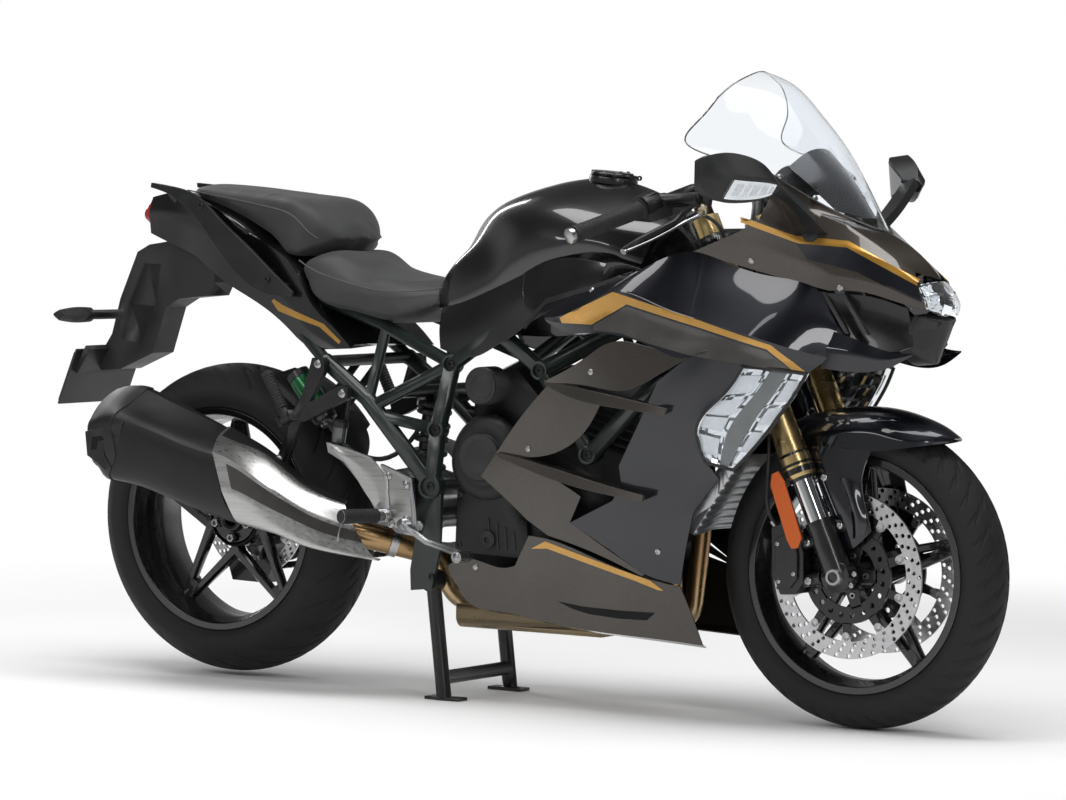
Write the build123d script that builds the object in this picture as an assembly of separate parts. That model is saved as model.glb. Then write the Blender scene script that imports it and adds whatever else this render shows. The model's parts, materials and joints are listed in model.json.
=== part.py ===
"""Sport touring motorcycle: an assembly of separate pieces with real joints.

Frame: X forward, Y to the rider's left, Z up, millimetres. The origin lies on the ground, under
the middle of the machine's bounding box. The machine stands upright on its centre stand, with the
front tyre on the ground and the rear tyre just off it.
"""
import math
import os
from build123d import *

# ---------------------------------------------------------------- driving dimensions
WHEELBASE = 1480.0
FRONT_AXLE_X = 787.5
RAKE = 24.7                    # steering head angle from the vertical, degrees
FORK_OFFSET = 31.8             # axle line ahead of the steering axis

FRONT_TYRE_R = 300.0
FRONT_TYRE_HALF = 60.0
REAR_TYRE_R = 320.5
REAR_TYRE_HALF = 95.0
REAR_LIFT = 8.0                # rear tyre off the ground on the centre stand
SEAT_R = 222.0                 # bead seat radius of a 17 inch rim
FLANGE_R = 231.0
FRONT_RIM_HALF = 52.0
REAR_RIM_HALF = 85.0
RIM_WALL = 7.0
SPOKES = 5

FORK_HALF_TRACK = 105.0
STANCHION_R = 21.5
FORK_TUBE_R = 27.0
STANCHION_TOP = 420.0          # upper end of the stanchion, up the leg from the axle
AXLE_R = 12.5
AXLE_RUNNING = 0.3             # radial room between a turning bore and its axle
FRONT_DISC_R = 160.0
REAR_DISC_R = 125.0
DISC_BAND = 33.0
DISC_THICK = 5.0
FRONT_DISC_Y = 72.0

FRAME_TUBE_R = 17.0
CASE_HALF = 140.0             # half width of the crankcase
PANEL = 3.0                    # wall of a moulded body panel
CLEAR = 0.3                    # room between a soft piece and what it sits on
STAND_TUBE_R = 15.0

REAR_AXLE_X = FRONT_AXLE_X - WHEELBASE
REAR_AXLE_Z = REAR_TYRE_R + REAR_LIFT
FRONT_AXLE_Z = FRONT_TYRE_R
RAKE_SIN = math.sin(math.radians(RAKE))
RAKE_COS = math.cos(math.radians(RAKE))
UP_FORK = Vector(-RAKE_SIN, 0, RAKE_COS)
AXIS_GROUND_X = FRONT_AXLE_X + FRONT_AXLE_Z * RAKE_SIN / RAKE_COS - FORK_OFFSET / RAKE_COS


# ---------------------------------------------------------------- shape helpers
def rod(start, end, radius):
    """Straight round bar between two points."""
    start, end = Vector(*start), Vector(*end)
    run = end - start
    return Part() + Solid.make_cylinder(radius, run.length, Plane(origin=start, z_dir=run))


def pipe(points, radius, bend, bore=0.0):
    """Round tube along straight runs joined by tangent bends."""
    path = FilletPolyline(*points, radius=bend)
    start = Plane(origin=path @ 0, z_dir=path % 0)
    tube = sweep(start * Circle(radius), path=path)
    if bore:
        tube -= sweep(start * Circle(bore), path=path)
    return tube


def side_plate(outline, y_low, y_high):
    """Plate with the given X-Z outline, between two Y positions."""
    face = make_face(Polyline(*[(x, y_low, z) for x, z in outline], close=True))
    return extrude(face, amount=y_high - y_low, dir=(0, 1, 0))


def both_sides(shape):
    """The shape and its mirror image over the centre plane."""
    return Part() + [*shape.solids(), *mirror(shape, about=Plane.XZ).solids()]


def oval(plane, half_width, up, down, power, count=20):
    """Closed smooth super-ellipse, taller above its centre than below or the other way round."""
    points = []
    for step in range(count):
        angle = 2 * math.pi * step / count
        c, s = math.cos(angle), math.sin(angle)
        across = half_width * math.copysign(abs(c) ** (2 / power), c)
        tall = (up if s > 0 else down) * math.copysign(abs(s) ** (2 / power), s)
        points.append(plane.from_local_coords((across, tall, 0)))
    return Wire([Edge.make_spline(points, periodic=True)])


def hull_loft(stations, power=2.5):
    """Smooth body through super-elliptic sections, each (x, z low, z high, half width)."""
    wires = []
    for x, low, high, half in stations:
        middle = (low + high) / 2
        plane = Plane(origin=(x, 0, middle), x_dir=(0, 1, 0), z_dir=(1, 0, 0))
        wires.append(oval(plane, half, high - middle, middle - low, power))
    return Part() + Solid.make_loft(wires)


def ring(radius_in, radius_out, y_low, y_high):
    """Flat ring about the Y axis."""
    disc = Solid.make_cylinder(radius_out, y_high - y_low, Plane((0, y_low, 0), z_dir=(0, 1, 0)))
    hole = Solid.make_cylinder(radius_in, y_high - y_low, Plane((0, y_low, 0), z_dir=(0, 1, 0)))
    return Part() + (disc - hole)


def plug(radius, y_low, y_high):
    """Plain disc about the Y axis."""
    return Part() + Solid.make_cylinder(radius, y_high - y_low, Plane((0, y_low, 0), z_dir=(0, 1, 0)))


def turned(profile):
    """Solid of revolution about Y from a closed list of (y, radius) corners."""
    face = make_face(Polyline(*[(0, y, r) for y, r in profile], close=True))
    return revolve(face, axis=Axis.Y)


# ---------------------------------------------------------------- surfaces between guide curves
def guide(points):
    """Smooth edge through the points, or a straight one."""
    return Spline(*points) if len(points) > 2 else Line(*points)


def rounded(rows, steps=3):
    """More guide rows in between, each on the curve that the given rows set across them."""
    last = len(rows) - 1
    dense = []
    for place in range(last * steps + 1):
        low = min(place // steps, last - 1)
        t = place / steps - low
        before, a, b, after = (rows[max(0, min(last, low + shift))] for shift in (-1, 0, 1, 2))
        row = []
        for p, q, r, s in zip(before, a, b, after):
            point = []
            for w, x, y, z in zip(p, q, r, s):
                point.append(0.5 * (2 * x + (y - w) * t + (2 * w - 5 * x + 4 * y - z) * t * t
                                    + (3 * x - w - 3 * y + z) * t ** 3))
            row.append(tuple(point))
        dense.append(row)
    return dense


def ruled(rows, corners, closed=False):
    """Straight-ruled faces from each guide row to the next, broken at the corner columns."""
    faces = []
    pairs = list(zip(rows, rows[1:])) + ([(rows[-1], rows[0])] if closed else [])
    stops = [0, *corners, len(rows[0]) - 1]
    for first, second in pairs:
        for start, end in zip(stops, stops[1:]):
            one, other = first[start:end + 1], second[start:end + 1]
            if one != other:
                faces.append(Face.make_surface_from_curves(guide(one), guide(other)))
    return faces


def closed(faces):
    """Solid enclosed by the faces, whichever way round they were sewn."""
    solid = Solid(Shell(faces))
    if solid.volume < 0:
        solid = Solid(Shell(solid.faces()[::-1]))
    return Part() + solid


def skin(rows, wall, corners=()):
    """Moulded panel: the surface over the guide rows, and its copy moved by the wall."""
    inner = [[tuple(Vector(*p) + Vector(*wall)) for p in row] for row in rows]
    faces = ruled(rows, corners) + ruled(inner, corners)
    for edge in (0, -1):
        faces += ruled([rows[edge], inner[edge]], corners)
        for a, b, c, d in zip(rows, rows[1:], inner[1:], inner):
            faces.append(Face(Wire.make_polygon([a[edge], b[edge], c[edge], d[edge]], close=True)))
    return closed(faces)


def body(rows, corners=()):
    """Solid whose guide rows run lengthwise all round it, with faceted ends."""
    faces = ruled(rows, corners, closed=True)
    for end in (0, -1):
        loop = [Vector(*row[end]) for row in rows]
        centre = sum(loop, Vector(0, 0, 0)) * (1 / len(loop))
        for a, b in zip(loop, loop[1:] + loop[:1]):
            if (a - b).length > 1e-6:
                faces.append(Face(Wire.make_polygon([a, b, centre], close=True)))
    return closed(faces)


def whole(rows):
    """Guide rows of the right half, centre row first, followed by their mirror images."""
    left = [[(x, -y, z) for x, y, z in row] for row in rows[1:]]
    return rows + left[::-1]


def shifted(rows, move):
    return [[tuple(Vector(*p) + Vector(*move)) for p in row] for row in rows]


def from_front_axle(rows):
    """Guide rows typed from the front axle, at their place on the machine."""
    return shifted(rows, (FRONT_AXLE_X, 0, FRONT_AXLE_Z))


def at_front(shape):
    return Pos(FRONT_AXLE_X, 0, FRONT_AXLE_Z) * shape


def at_rear(shape):
    return Pos(REAR_AXLE_X, 0, REAR_AXLE_Z) * shape


def fork_point(along, y):
    """Point on a fork leg, measured up the leg from the axle."""
    base = Vector(FRONT_AXLE_X, y, FRONT_AXLE_Z)
    return tuple(base + UP_FORK * along)


def head_point(along, forward=0.0, y=0.0):
    """Point by the steering axis, measured up it from the ground and forward of it."""
    base = Vector(AXIS_GROUND_X, y, 0) + UP_FORK * along
    return tuple(base + Vector(RAKE_COS, 0, RAKE_SIN) * forward)


# ---------------------------------------------------------------- wheels
def tyre(radius, half, rim_half):
    """Road tyre: flat bead, bulged wall and a round crown."""
    bead = rim_half - 7.4
    shoulder = radius - half * 0.575
    inner = SEAT_R + 0.2
    wall = Spline((0, rim_half - 2, FLANGE_R + 0.5), (0, half - 1.0, FLANGE_R + 14), (0, half - 2, shoulder))
    crown = ThreePointArc((0, half - 2, shoulder), (0, 0, radius), (0, 2 - half, shoulder))
    other = Spline((0, 2 - half, shoulder), (0, 1.0 - half, FLANGE_R + 14), (0, 2 - rim_half, FLANGE_R + 0.5))
    base = Polyline((0, 2 - rim_half, FLANGE_R + 0.5), (0, -bead, FLANGE_R + 0.5), (0, -bead, inner),
                    (0, bead, inner), (0, bead, FLANGE_R + 0.5), (0, rim_half - 2, FLANGE_R + 0.5))
    face = make_face([wall.edge(), crown.edge(), other.edge(), *base.edges()])
    return revolve(face, axis=Axis.Y)


def rim(rim_half, hub_half, hub_r, bore, spoke_y, spoke_thick):
    """Cast wheel: barrel with flanges, and five A-shaped spokes on a hub."""
    lip = rim_half - 7.2
    well = SEAT_R - 16.0
    barrel = turned([(-rim_half, FLANGE_R), (-lip, FLANGE_R), (-lip, SEAT_R), (-lip + 14, SEAT_R),
                     (-lip + 22, well + RIM_WALL), (lip - 22, well + RIM_WALL), (lip - 14, SEAT_R),
                     (lip, SEAT_R), (lip, FLANGE_R), (rim_half, FLANGE_R), (rim_half, SEAT_R - RIM_WALL),
                     (lip - 12, SEAT_R - RIM_WALL), (lip - 22, well), (22 - lip, well),
                     (12 - lip, SEAT_R - RIM_WALL), (-rim_half, SEAT_R - RIM_WALL)])
    hub = ring(bore, hub_r, -hub_half, hub_half)
    wheel = barrel + hub
    root, tip = hub_r - 4, well + 3
    leg = [(-24, root), (24, root), (15, tip), (-15, tip)]
    window = [(-11, root + 22), (11, root + 22), (4, root + 88), (-4, root + 88)]
    spoke = side_plate([(x, z) for x, z in leg], spoke_y - spoke_thick / 2, spoke_y + spoke_thick / 2)
    spoke -= side_plate(window, spoke_y - spoke_thick, spoke_y + spoke_thick)
    for number in range(SPOKES):
        wheel += Rot(0, 360 / SPOKES * number, 0) * spoke
    return wheel


def disc(radius, y, bore):
    """Brake disc: bright band on a spider carrier."""
    low, high = y - DISC_THICK / 2, y + DISC_THICK / 2
    band = ring(radius - DISC_BAND, radius, low, high)
    carrier = ring(bore, radius - DISC_BAND - 30, low, high)
    arms = Part()
    for number in range(10):
        arm = Box(12, DISC_THICK, 36, align=(Align.CENTER, Align.CENTER, Align.MIN))
        arms += Rot(0, 36 * number, 0) * Pos(0, y, radius - DISC_BAND - 33) * arm
    return band + carrier + arms


FRONT_HUB_R = 34.0
REAR_HUB_R = 62.0


def front_wheel_parts():
    bore = AXLE_R + AXLE_RUNNING
    wheel = rim(FRONT_RIM_HALF, 66.0, FRONT_HUB_R, bore, 0.0, 26.0)
    discs = disc(FRONT_DISC_R, FRONT_DISC_Y, bore + 8) + disc(FRONT_DISC_R, -FRONT_DISC_Y, bore + 8)
    neck = ring(bore, bore + 7.5, -78.0, 78.0)
    return {"front_tyre": at_front(tyre(FRONT_TYRE_R, FRONT_TYRE_HALF, FRONT_RIM_HALF)),
            "front_rim": at_front(wheel + neck),
            "front_discs": at_front(discs)}


REAR_AXLE_R = 24.0


def rear_wheel_parts():
    """Wheel on a single-sided hub: spokes near the right, disc and sprocket on the left."""
    bore = REAR_AXLE_R + AXLE_RUNNING
    wheel = rim(REAR_RIM_HALF, 24.0, REAR_HUB_R, bore, -8.0, 30.0)
    disc_y = 52.0
    brake = disc(REAR_DISC_R, disc_y, bore)
    sprocket = ring(bore, SPROCKET_R - 9.0, CHAIN_Y - 4, CHAIN_Y + 4)
    for number in range(6):
        sprocket -= Rot(0, 60 * number + 30, 0) * Pos(0, 0, 62) * plug(18, CHAIN_Y - 6, CHAIN_Y + 6)
    spool = ring(bore, bore + 9, 24.0, disc_y - DISC_THICK / 2)
    return {"rear_tyre": at_rear(tyre(REAR_TYRE_R, REAR_TYRE_HALF, REAR_RIM_HALF)),
            "rear_rim": at_rear(wheel + spool),
            "rear_disc": at_rear(brake),
            "rear_sprocket": at_rear(sprocket)}


# ---------------------------------------------------------------- final drive
CHAIN_Y = 148.0
SPROCKET_R = 111.0
PINION_R = 46.0
PINION_X, PINION_Z = -75.0, 360.0
PITCH = 15.875


def chain():
    """Closed roller chain round both sprockets, its edge scalloped link by link."""
    far = Vector(REAR_AXLE_X, 0, REAR_AXLE_Z)
    near = Vector(PINION_X, 0, PINION_Z)
    span = (near - far).length
    lean = math.atan2(near.Z - far.Z, near.X - far.X)
    wrap = math.asin((SPROCKET_R - PINION_R) / span)
    run = span * math.cos(wrap)

    def place(distance, out):
        """Point at a distance along the loop and out of its line."""
        arc_far = SPROCKET_R * (math.pi + 2 * wrap)
        arc_near = PINION_R * (math.pi - 2 * wrap)
        top = lean + math.pi / 2 - wrap
        low = lean - math.pi / 2 + wrap
        if distance < run:
            base = far + Vector(math.cos(top), 0, math.sin(top)) * (SPROCKET_R + out)
            along = Vector(math.cos(lean - wrap), 0, math.sin(lean - wrap))
            return base + along * distance
        if distance < run + arc_near:
            angle = top - (distance - run) / PINION_R
            return near + Vector(math.cos(angle), 0, math.sin(angle)) * (PINION_R + out)
        if distance < 2 * run + arc_near:
            base = near + Vector(math.cos(low), 0, math.sin(low)) * (PINION_R + out)
            along = Vector(-math.cos(lean + wrap), 0, -math.sin(lean + wrap))
            return base + along * (distance - run - arc_near)
        angle = low - (distance - 2 * run - arc_near) / SPROCKET_R
        return far + Vector(math.cos(angle), 0, math.sin(angle)) * (SPROCKET_R + out)

    loop = 2 * run + PINION_R * (math.pi - 2 * wrap) + SPROCKET_R * (math.pi + 2 * wrap)
    links = round(loop / PITCH)
    outer, inner = [], []
    for number in range(links):
        start = loop * number / links
        for share, bulge in ((0.0, 7.0), (0.5, 4.8)):
            point = start + share * loop / links
            p, q = place(point, bulge), place(point, -bulge)
            outer.append((p.X, p.Z))
            inner.append((q.X, q.Z))
    solid = side_plate(outer, CHAIN_Y - 8, CHAIN_Y + 8)
    return solid - side_plate(inner, CHAIN_Y - 9, CHAIN_Y + 9)


# ---------------------------------------------------------------- rear suspension
PIVOT_X, PIVOT_Z = -158.0, 372.0


def swingarm():
    """Single-sided arm on the left: pivot tube, boxed beam and an eccentric hub ring."""
    hub_ring = Pos(REAR_AXLE_X, 0, REAR_AXLE_Z) * ring(REAR_AXLE_R + 24, 66, 104, 134)
    outline = [(PIVOT_X + 30, PIVOT_Z - 34), (PIVOT_X + 30, PIVOT_Z + 34), (PIVOT_X - 150, PIVOT_Z + 78),
               (REAR_AXLE_X + 60, REAR_AXLE_Z + 58), (REAR_AXLE_X + 20, REAR_AXLE_Z + 50),
               (REAR_AXLE_X + 20, REAR_AXLE_Z - 50), (REAR_AXLE_X + 90, REAR_AXLE_Z - 46),
               (PIVOT_X - 140, PIVOT_Z - 52)]
    beam = side_plate(outline, 104, 134)
    window = side_plate([(PIVOT_X - 60, PIVOT_Z + 8), (PIVOT_X - 150, PIVOT_Z + 38),
                         (PIVOT_X - 250, PIVOT_Z + 8), (PIVOT_X - 140, PIVOT_Z - 18)], 100, 140)
    beam = (beam - window) + hub_ring
    beam -= Pos(REAR_AXLE_X, 0, REAR_AXLE_Z) * plug(REAR_AXLE_R + 24, 90, 140)
    cross = rod((PIVOT_X, -118, PIVOT_Z), (PIVOT_X, 110, PIVOT_Z), 32)
    bridge = side_plate([(PIVOT_X, PIVOT_Z + 30), (PIVOT_X - 120, PIVOT_Z + 66),
                         (PIVOT_X - 150, PIVOT_Z + 50), (PIVOT_X - 140, PIVOT_Z - 56),
                         (PIVOT_X, PIVOT_Z - 30)], -70, 106)
    hollow = side_plate([(PIVOT_X - 38, PIVOT_Z + 60), (PIVOT_X - 128, PIVOT_Z + 80),
                         (PIVOT_X - 128, PIVOT_Z - 60), (PIVOT_X - 38, PIVOT_Z - 60)], -44, 64)
    spindle = Pos(REAR_AXLE_X, 0, REAR_AXLE_Z) * plug(REAR_AXLE_R, -34, 162)
    carrier = Pos(REAR_AXLE_X, 0, REAR_AXLE_Z) * ring(REAR_AXLE_R - 1, REAR_AXLE_R + 24, 100, 134)
    shock_bolt = rod((-240, -50, 330), (-240, 70, 330), 8)
    return beam + cross + (bridge - hollow) + shock_bolt + spindle + carrier


def rear_shock():
    """Single shock in front of the wheel, with its remote reservoir."""
    low, high = Vector(-240, 0, 330), Vector(-207, 0, 612)
    axis = (high - low).normalized()
    body = rod(low, high, 24)
    for turn in range(7):
        centre = low + axis * (72 + 28 * turn)
        body += Part() + Solid.make_torus(30, 6.5, Plane(origin=centre, z_dir=axis))
    body += rod(low + axis * 50, low + axis * 62, 37) + rod(low + axis * 250, low + axis * 262, 37)
    reservoir = rod((-470, -118, 640), (-395, -118, 545), 24)
    reservoir += rod((-376, -150, 668), (-452, -118, 618), 8)
    return Part() + [*body.solids(), *reservoir.solids()]


# ---------------------------------------------------------------- frame
NODE_TOP = (-70, 150, 674)
NODE_MID = (-93, 165, 543)
NODE_LOW = (-102, 170, 430)
NODE_FRONT = (149, 165, 670)
NODE_CREST = (34, 150, 745)
NODE_HANGER = (269, 176, 511)
HEAD_KINK = (425, 165, 668)
RAIL_KINK = (-271, 150, 594)
RAIL_TOP = (-376, 150, 668)
HEAD_LOW, HEAD_HIGH = 850.0, 990.0    # along the steering axis, from the ground
HEAD_R = 30.0
STEM_R = 15.0


def frame():
    """Tubular trellis: head tube, side trellis on both sides and the seat subframe."""
    head_back_high = head_point(HEAD_HIGH - 30, -HEAD_R, 20)
    head_back_low = head_point(HEAD_LOW + 30, -HEAD_R, 20)
    side = Part()
    runs = [(head_back_high, NODE_FRONT, FRAME_TUBE_R), (head_back_low, HEAD_KINK, FRAME_TUBE_R),
            (HEAD_KINK, NODE_HANGER, FRAME_TUBE_R),
            (NODE_FRONT, NODE_HANGER, FRAME_TUBE_R - 2), (NODE_FRONT, NODE_CREST, FRAME_TUBE_R - 1),
            (NODE_CREST, NODE_TOP, FRAME_TUBE_R - 1),
            (NODE_TOP, NODE_MID, FRAME_TUBE_R), (NODE_MID, NODE_LOW, FRAME_TUBE_R),
            (NODE_TOP, (-245, 150, 590), FRAME_TUBE_R - 4), (NODE_MID, (-232, 152, 563), FRAME_TUBE_R - 5),
            (NODE_LOW, RAIL_KINK, FRAME_TUBE_R), (RAIL_KINK, RAIL_TOP, FRAME_TUBE_R - 1),
            (NODE_TOP, (-250, 120, 742), FRAME_TUBE_R - 4), (RAIL_KINK, (-250, 120, 742), 11),
            (RAIL_TOP, (-640, 95, 880), 13), ((-250, 120, 742), (-440, 110, 800), 12)]
    for start, end, radius in runs:
        side += rod(start, end, radius)
    for node in (NODE_TOP, NODE_MID, NODE_LOW, NODE_CREST, NODE_FRONT, NODE_HANGER, HEAD_KINK, RAIL_KINK, RAIL_TOP):
        side += Pos(*node) * Sphere(FRAME_TUBE_R)
    for node, radius in ((NODE_TOP, 19), (NODE_MID, 19), (NODE_LOW, 25), (NODE_FRONT, 19), (NODE_HANGER, 19)):
        side += rod((node[0], node[1] - 12, node[2]), (node[0], node[1] + 12, node[2]), radius)
        side -= rod((node[0], node[1] + 2, node[2]), (node[0], node[1] + 30, node[2]), radius - 4)
    hanger = side_plate([(-206, 404), (-204, 454), (-128, 442), (-80, 425), (-84, 300), (-100, 226), (-150, 220), (-152, 262),
                         (-140, 330), (-190, 356)], 160, 170)
    side += hanger
    side += rod((NODE_HANGER[0], CASE_HALF, NODE_HANGER[2]), NODE_HANGER, 11)
    head = rod(head_point(HEAD_LOW), head_point(HEAD_HIGH), HEAD_R)
    both = head + side + mirror(side, about=Plane.XZ)
    for x, z, half in ((-102, 430, 170), (-207, 612, 152), (-376, 668, 150), (-640, 880, 95), (34, 745, 150)):
        both += rod((x, -half, z), (x, half, z), 12)
    both += both_sides(rod((STAND_X, 98, STAND_Z), (STAND_X, 165, STAND_Z), 14))
    both += rod((PIVOT_X, -165, PIVOT_Z), (PIVOT_X, 165, PIVOT_Z), 9)
    both -= rod(head_point(HEAD_LOW - 5), head_point(HEAD_HIGH + 5), STEM_R + AXLE_RUNNING)
    return both


# ---------------------------------------------------------------- engine
def engine_block():
    """Crankcase, forward-leaning cylinders and head: one heavy mass at its real size."""
    case = side_plate([(-56, 300), (-60, 470), (60, 540), (150, 520), (330, 430), (345, 330), (325, 290)],
                      -CASE_HALF, CASE_HALF)
    case += side_plate([(-50, 250), (-56, 300), (325, 290), (300, 235), (60, 206)], -96, 96)
    barrels = side_plate([(160, 500), (205, 660), (380, 615), (335, 425)], -128, 128)
    head = side_plate([(200, 640), (214, 700), (384, 668), (370, 602)], -118, 118)
    return case + barrels + head


def engine_covers():
    """Egg-shaped clutch cover with its disc, sump cover, generator cover and round cover."""
    face = CASE_HALF
    egg = [(1.0, 0), (0.97, 16), (0.86, 25), (0.62, 29)]
    wires = []
    for share, out in egg:
        plane = Plane(origin=(16, -face - out, 482), x_dir=(1, 0, 0), z_dir=(0, -1, 0))
        wires.append(oval(plane, 84 * share, 95 * share, 76 * share, 2.0))
    clutch = Part() + Solid.make_loft(wires) + rod((12, -face - 20, 494), (12, -face - 34, 494), 46)
    lower = side_plate([(-56, 302), (-52, 430), (60, 420), (110, 380), (118, 302)], -face - 14, -face)
    right = clutch + lower
    generator = rod((215, face, 430), (215, face + 26, 430), 72) + rod((215, face + 26, 430), (215, face + 32, 430), 54)
    pinion_cover = side_plate([(-76, 300), (-76, 420), (20, 440), (50, 380), (20, 300)], face, face + 28)
    tunnel = side_plate([(-200, 424), (-60, 424), (-14, 400), (-14, 316), (-60, 292), (-200, 292)], face - 1, face + 20)
    pinion_cover -= tunnel
    blower = rod((9, -120, 634), (9, -168, 634), 38) + side_plate([(-40, 490), (-35, 650), (60, 670), (120, 610),
                                                                (110, 520)], -120, 120)
    return Part() + [*right.solids(), *generator.solids(), *pinion_cover.solids(), *blower.solids()]


def radiator():
    """Curved cross-flow core behind the front wheel, with horizontal ribs, and its two stays."""
    low = [(497, -165, 366), (484, -95, 366), (455, 0, 366), (484, 95, 366), (497, 165, 366)]
    high = [(586, -165, 498), (568, -95, 498), (530, 0, 498), (568, 95, 498), (586, 165, 498)]
    core = body([low, high, *shifted([high, low], (-24, 0, 16))])
    ribs = 9
    for number in range(ribs):
        share = (number + 0.5) / ribs
        line = [tuple(Vector(*a) * (1 - share) + Vector(*b) * share) for a, b in zip(low, high)]
        nose, up = shifted([line], (3.5, 0, -2.4))[0], shifted([line], (2.6, 0, 3.6))[0]
        down = shifted([line], (-2.8, 0, -4.0))[0]
        core += body([down, nose, up, *shifted([up, down], (-6, 0, 4))])
    stays = rod(HEAD_KINK, (566, 158, 500), 8)
    return core + both_sides(stays)


def exhaust_headers():
    """Four header pipes sweeping under the engine to a collector, and the link to the silencer."""
    pipes = Part()
    for y in (-96, -32, 32, 96):
        inner = y * 0.55
        pipes += pipe([(372, y, 640), (414, y, 590), (404, y * 0.9, 350), (392, inner, 178), (200, inner, 168)],
                      19, 45)
    collector = Part() + Solid.make_box(330, 130, 62, Plane((-110, -65, 140)))
    collector = fillet(collector.edges().filter_by(Axis.X), 24)
    link = pipe([(-60, -30, 178), (-125, -40, 210), (-165, -50, 286), (-300, -165, 330), (-420, -196, 372),
                 (-545, -206, 405)], 27, 50)
    return pipes + collector + link


# ---------------------------------------------------------------- silencer
def muffler():
    """Silencer of softened hexagonal section, with the outlet in its rear cap."""
    rows = [[(-872, -178, 588), (-835, -172, 599), (-757, -170, 583), (-623, -168, 532), (-590, -168, 519)],
            [(-876, -236, 570), (-843, -238, 574), (-765, -238, 553), (-610, -240, 512), (-572, -240, 502)],
            [(-875, -276, 535), (-841, -284, 545), (-767, -286, 543), (-625, -286, 505), (-554, -286, 488)],
            [(-872, -290, 512), (-836, -301, 520), (-768, -302, 524), (-640, -302, 490), (-540, -302, 466)],
            [(-862, -290, 458), (-817, -301, 464), (-762, -302, 466), (-640, -302, 432), (-523, -302, 400)],
            [(-852, -276, 438), (-832, -292, 432), (-785, -294, 424), (-640, -294, 388), (-505, -292, 360)],
            [(-847, -250, 428), (-836, -262, 418), (-790, -264, 408), (-640, -264, 370), (-496, -262, 336)],
            [(-850, -200, 428), (-830, -188, 418), (-780, -186, 406), (-640, -184, 368), (-498, -182, 336)],
            [(-866, -168, 500), (-835, -160, 505), (-765, -158, 490), (-640, -158, 450), (-545, -158, 425)]]
    bore = rod((-900, -226, 520), (-800, -222, 492), 28)
    return body(rows) - bore


def muffler_shield():
    """Bright shroud tapering from the silencer to the link pipe, open towards the wheel."""
    rows = [[(-594, -182, 529), (-550, -184, 512), (-494, -186, 488), (-434, -184, 452), (-379, -180, 420),
             (-304, -174, 390)],
            [(-574, -246, 511), (-530, -245, 498), (-472, -238, 480), (-419, -230, 446), (-362, -217, 408),
             (-294, -194, 382)],
            [(-544, -306, 484), (-494, -301, 466), (-449, -289, 436), (-394, -270, 400), (-339, -244, 367),
             (-264, -206, 340)],
            [(-519, -307, 406), (-474, -302, 394), (-424, -290, 372), (-369, -270, 348), (-314, -244, 324),
             (-239, -205, 306)],
            [(-494, -290, 346), (-444, -286, 336), (-399, -278, 324), (-352, -264, 306), (-294, -240, 292),
             (-216, -198, 279)],
            [(-490, -242, 336), (-442, -240, 328), (-396, -234, 318), (-349, -224, 301), (-292, -208, 288),
             (-212, -188, 278)]]
    return skin(rows, (0, PANEL, 0))


# ---------------------------------------------------------------- tank, seats and tail
def fuel_tank():
    """Tank with a humped crest, waisted at the knees."""
    crest = [(-165, 0, 836), (-120, 0, 902), (-92, 0, 956), (-43, 0, 991), (29, 0, 1018), (127, 0, 1043),
             (200, 0, 1047), (270, 0, 1034), (385, 0, 985)]
    shoulder = [(-162, -42, 834), (-108, -58, 888), (-70, -64, 927), (-30, -80, 964), (28, -95, 993),
                (100, -104, 1008), (198, -115, 1002), (262, -121, 980), (370, -95, 950)]
    side = [(-158, -76, 815), (-112, -94, 860), (-60, -105, 884), (3, -120, 896), (72, -146, 928),
            (120, -155, 941), (180, -159, 947), (250, -158, 942), (360, -125, 905)]
    low = [(-154, -86, 786), (-110, -108, 787), (-60, -121, 800), (0, -130, 822), (40, -137, 836),
           (80, -146, 854), (150, -156, 880), (220, -160, 900), (350, -128, 870)]
    floor = [(-150, -60, 776), (-108, -70, 765), (-52, -74, 748), (0, -76, 738), (50, -76, 733),
             (110, -76, 733), (180, -74, 742), (255, -68, 765), (345, -60, 815)]
    keel = [(-150, 0, 776), (-108, 0, 765), (-52, 0, 748), (0, 0, 738), (50, 0, 733), (110, 0, 733),
            (180, 0, 742), (255, 0, 765), (345, 0, 815)]
    pad = Pos(CAP_X, 0, CAP_Z) * Rot(0, CAP_TILT, 0) * Cylinder(46, 14)
    lug = Pos(CAP_HINGE[0], 0, CAP_HINGE[2] - 4) * Box(9, 16, 20)
    pin = rod((CAP_HINGE[0], -14, CAP_HINGE[2]), (CAP_HINGE[0], 14, CAP_HINGE[2]), CAP_PIN_R)
    right = rounded([crest, shoulder, side, low], 2) + [floor]
    left = [[(x, -y, z) for x, y, z in row] for row in right[1:]]
    return body([*right, keel, *left[::-1]]) + pad + lug + pin


CAP_X, CAP_Z, CAP_TILT = 205.0, 1044.0, 6.0

CAP_HINGE = (258.0, 0.0, 1048.0)
CAP_PIN_R = 2.5


def fuel_cap():
    """Flush filler lid on the tank's crest, with two eyes round the hinge pin at its front."""
    lid = Pos(CAP_X, 0, CAP_Z) * Rot(0, CAP_TILT, 0) * Pos(-4, 0, 7 + CLEAR + 4) * Cylinder(42, 8)
    for y in (-11, 11):
        lid += rod((CAP_X + 30, y, CAP_Z + 9), (CAP_HINGE[0], y, CAP_HINGE[2]), 2.9)
        lid += rod((CAP_HINGE[0], y - 2.4, CAP_HINGE[2]), (CAP_HINGE[0], y + 2.4, CAP_HINGE[2]), 5)
    return lid - rod((CAP_HINGE[0], -20, CAP_HINGE[2]), (CAP_HINGE[0], 20, CAP_HINGE[2]), CAP_PIN_R + CLEAR)


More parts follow.
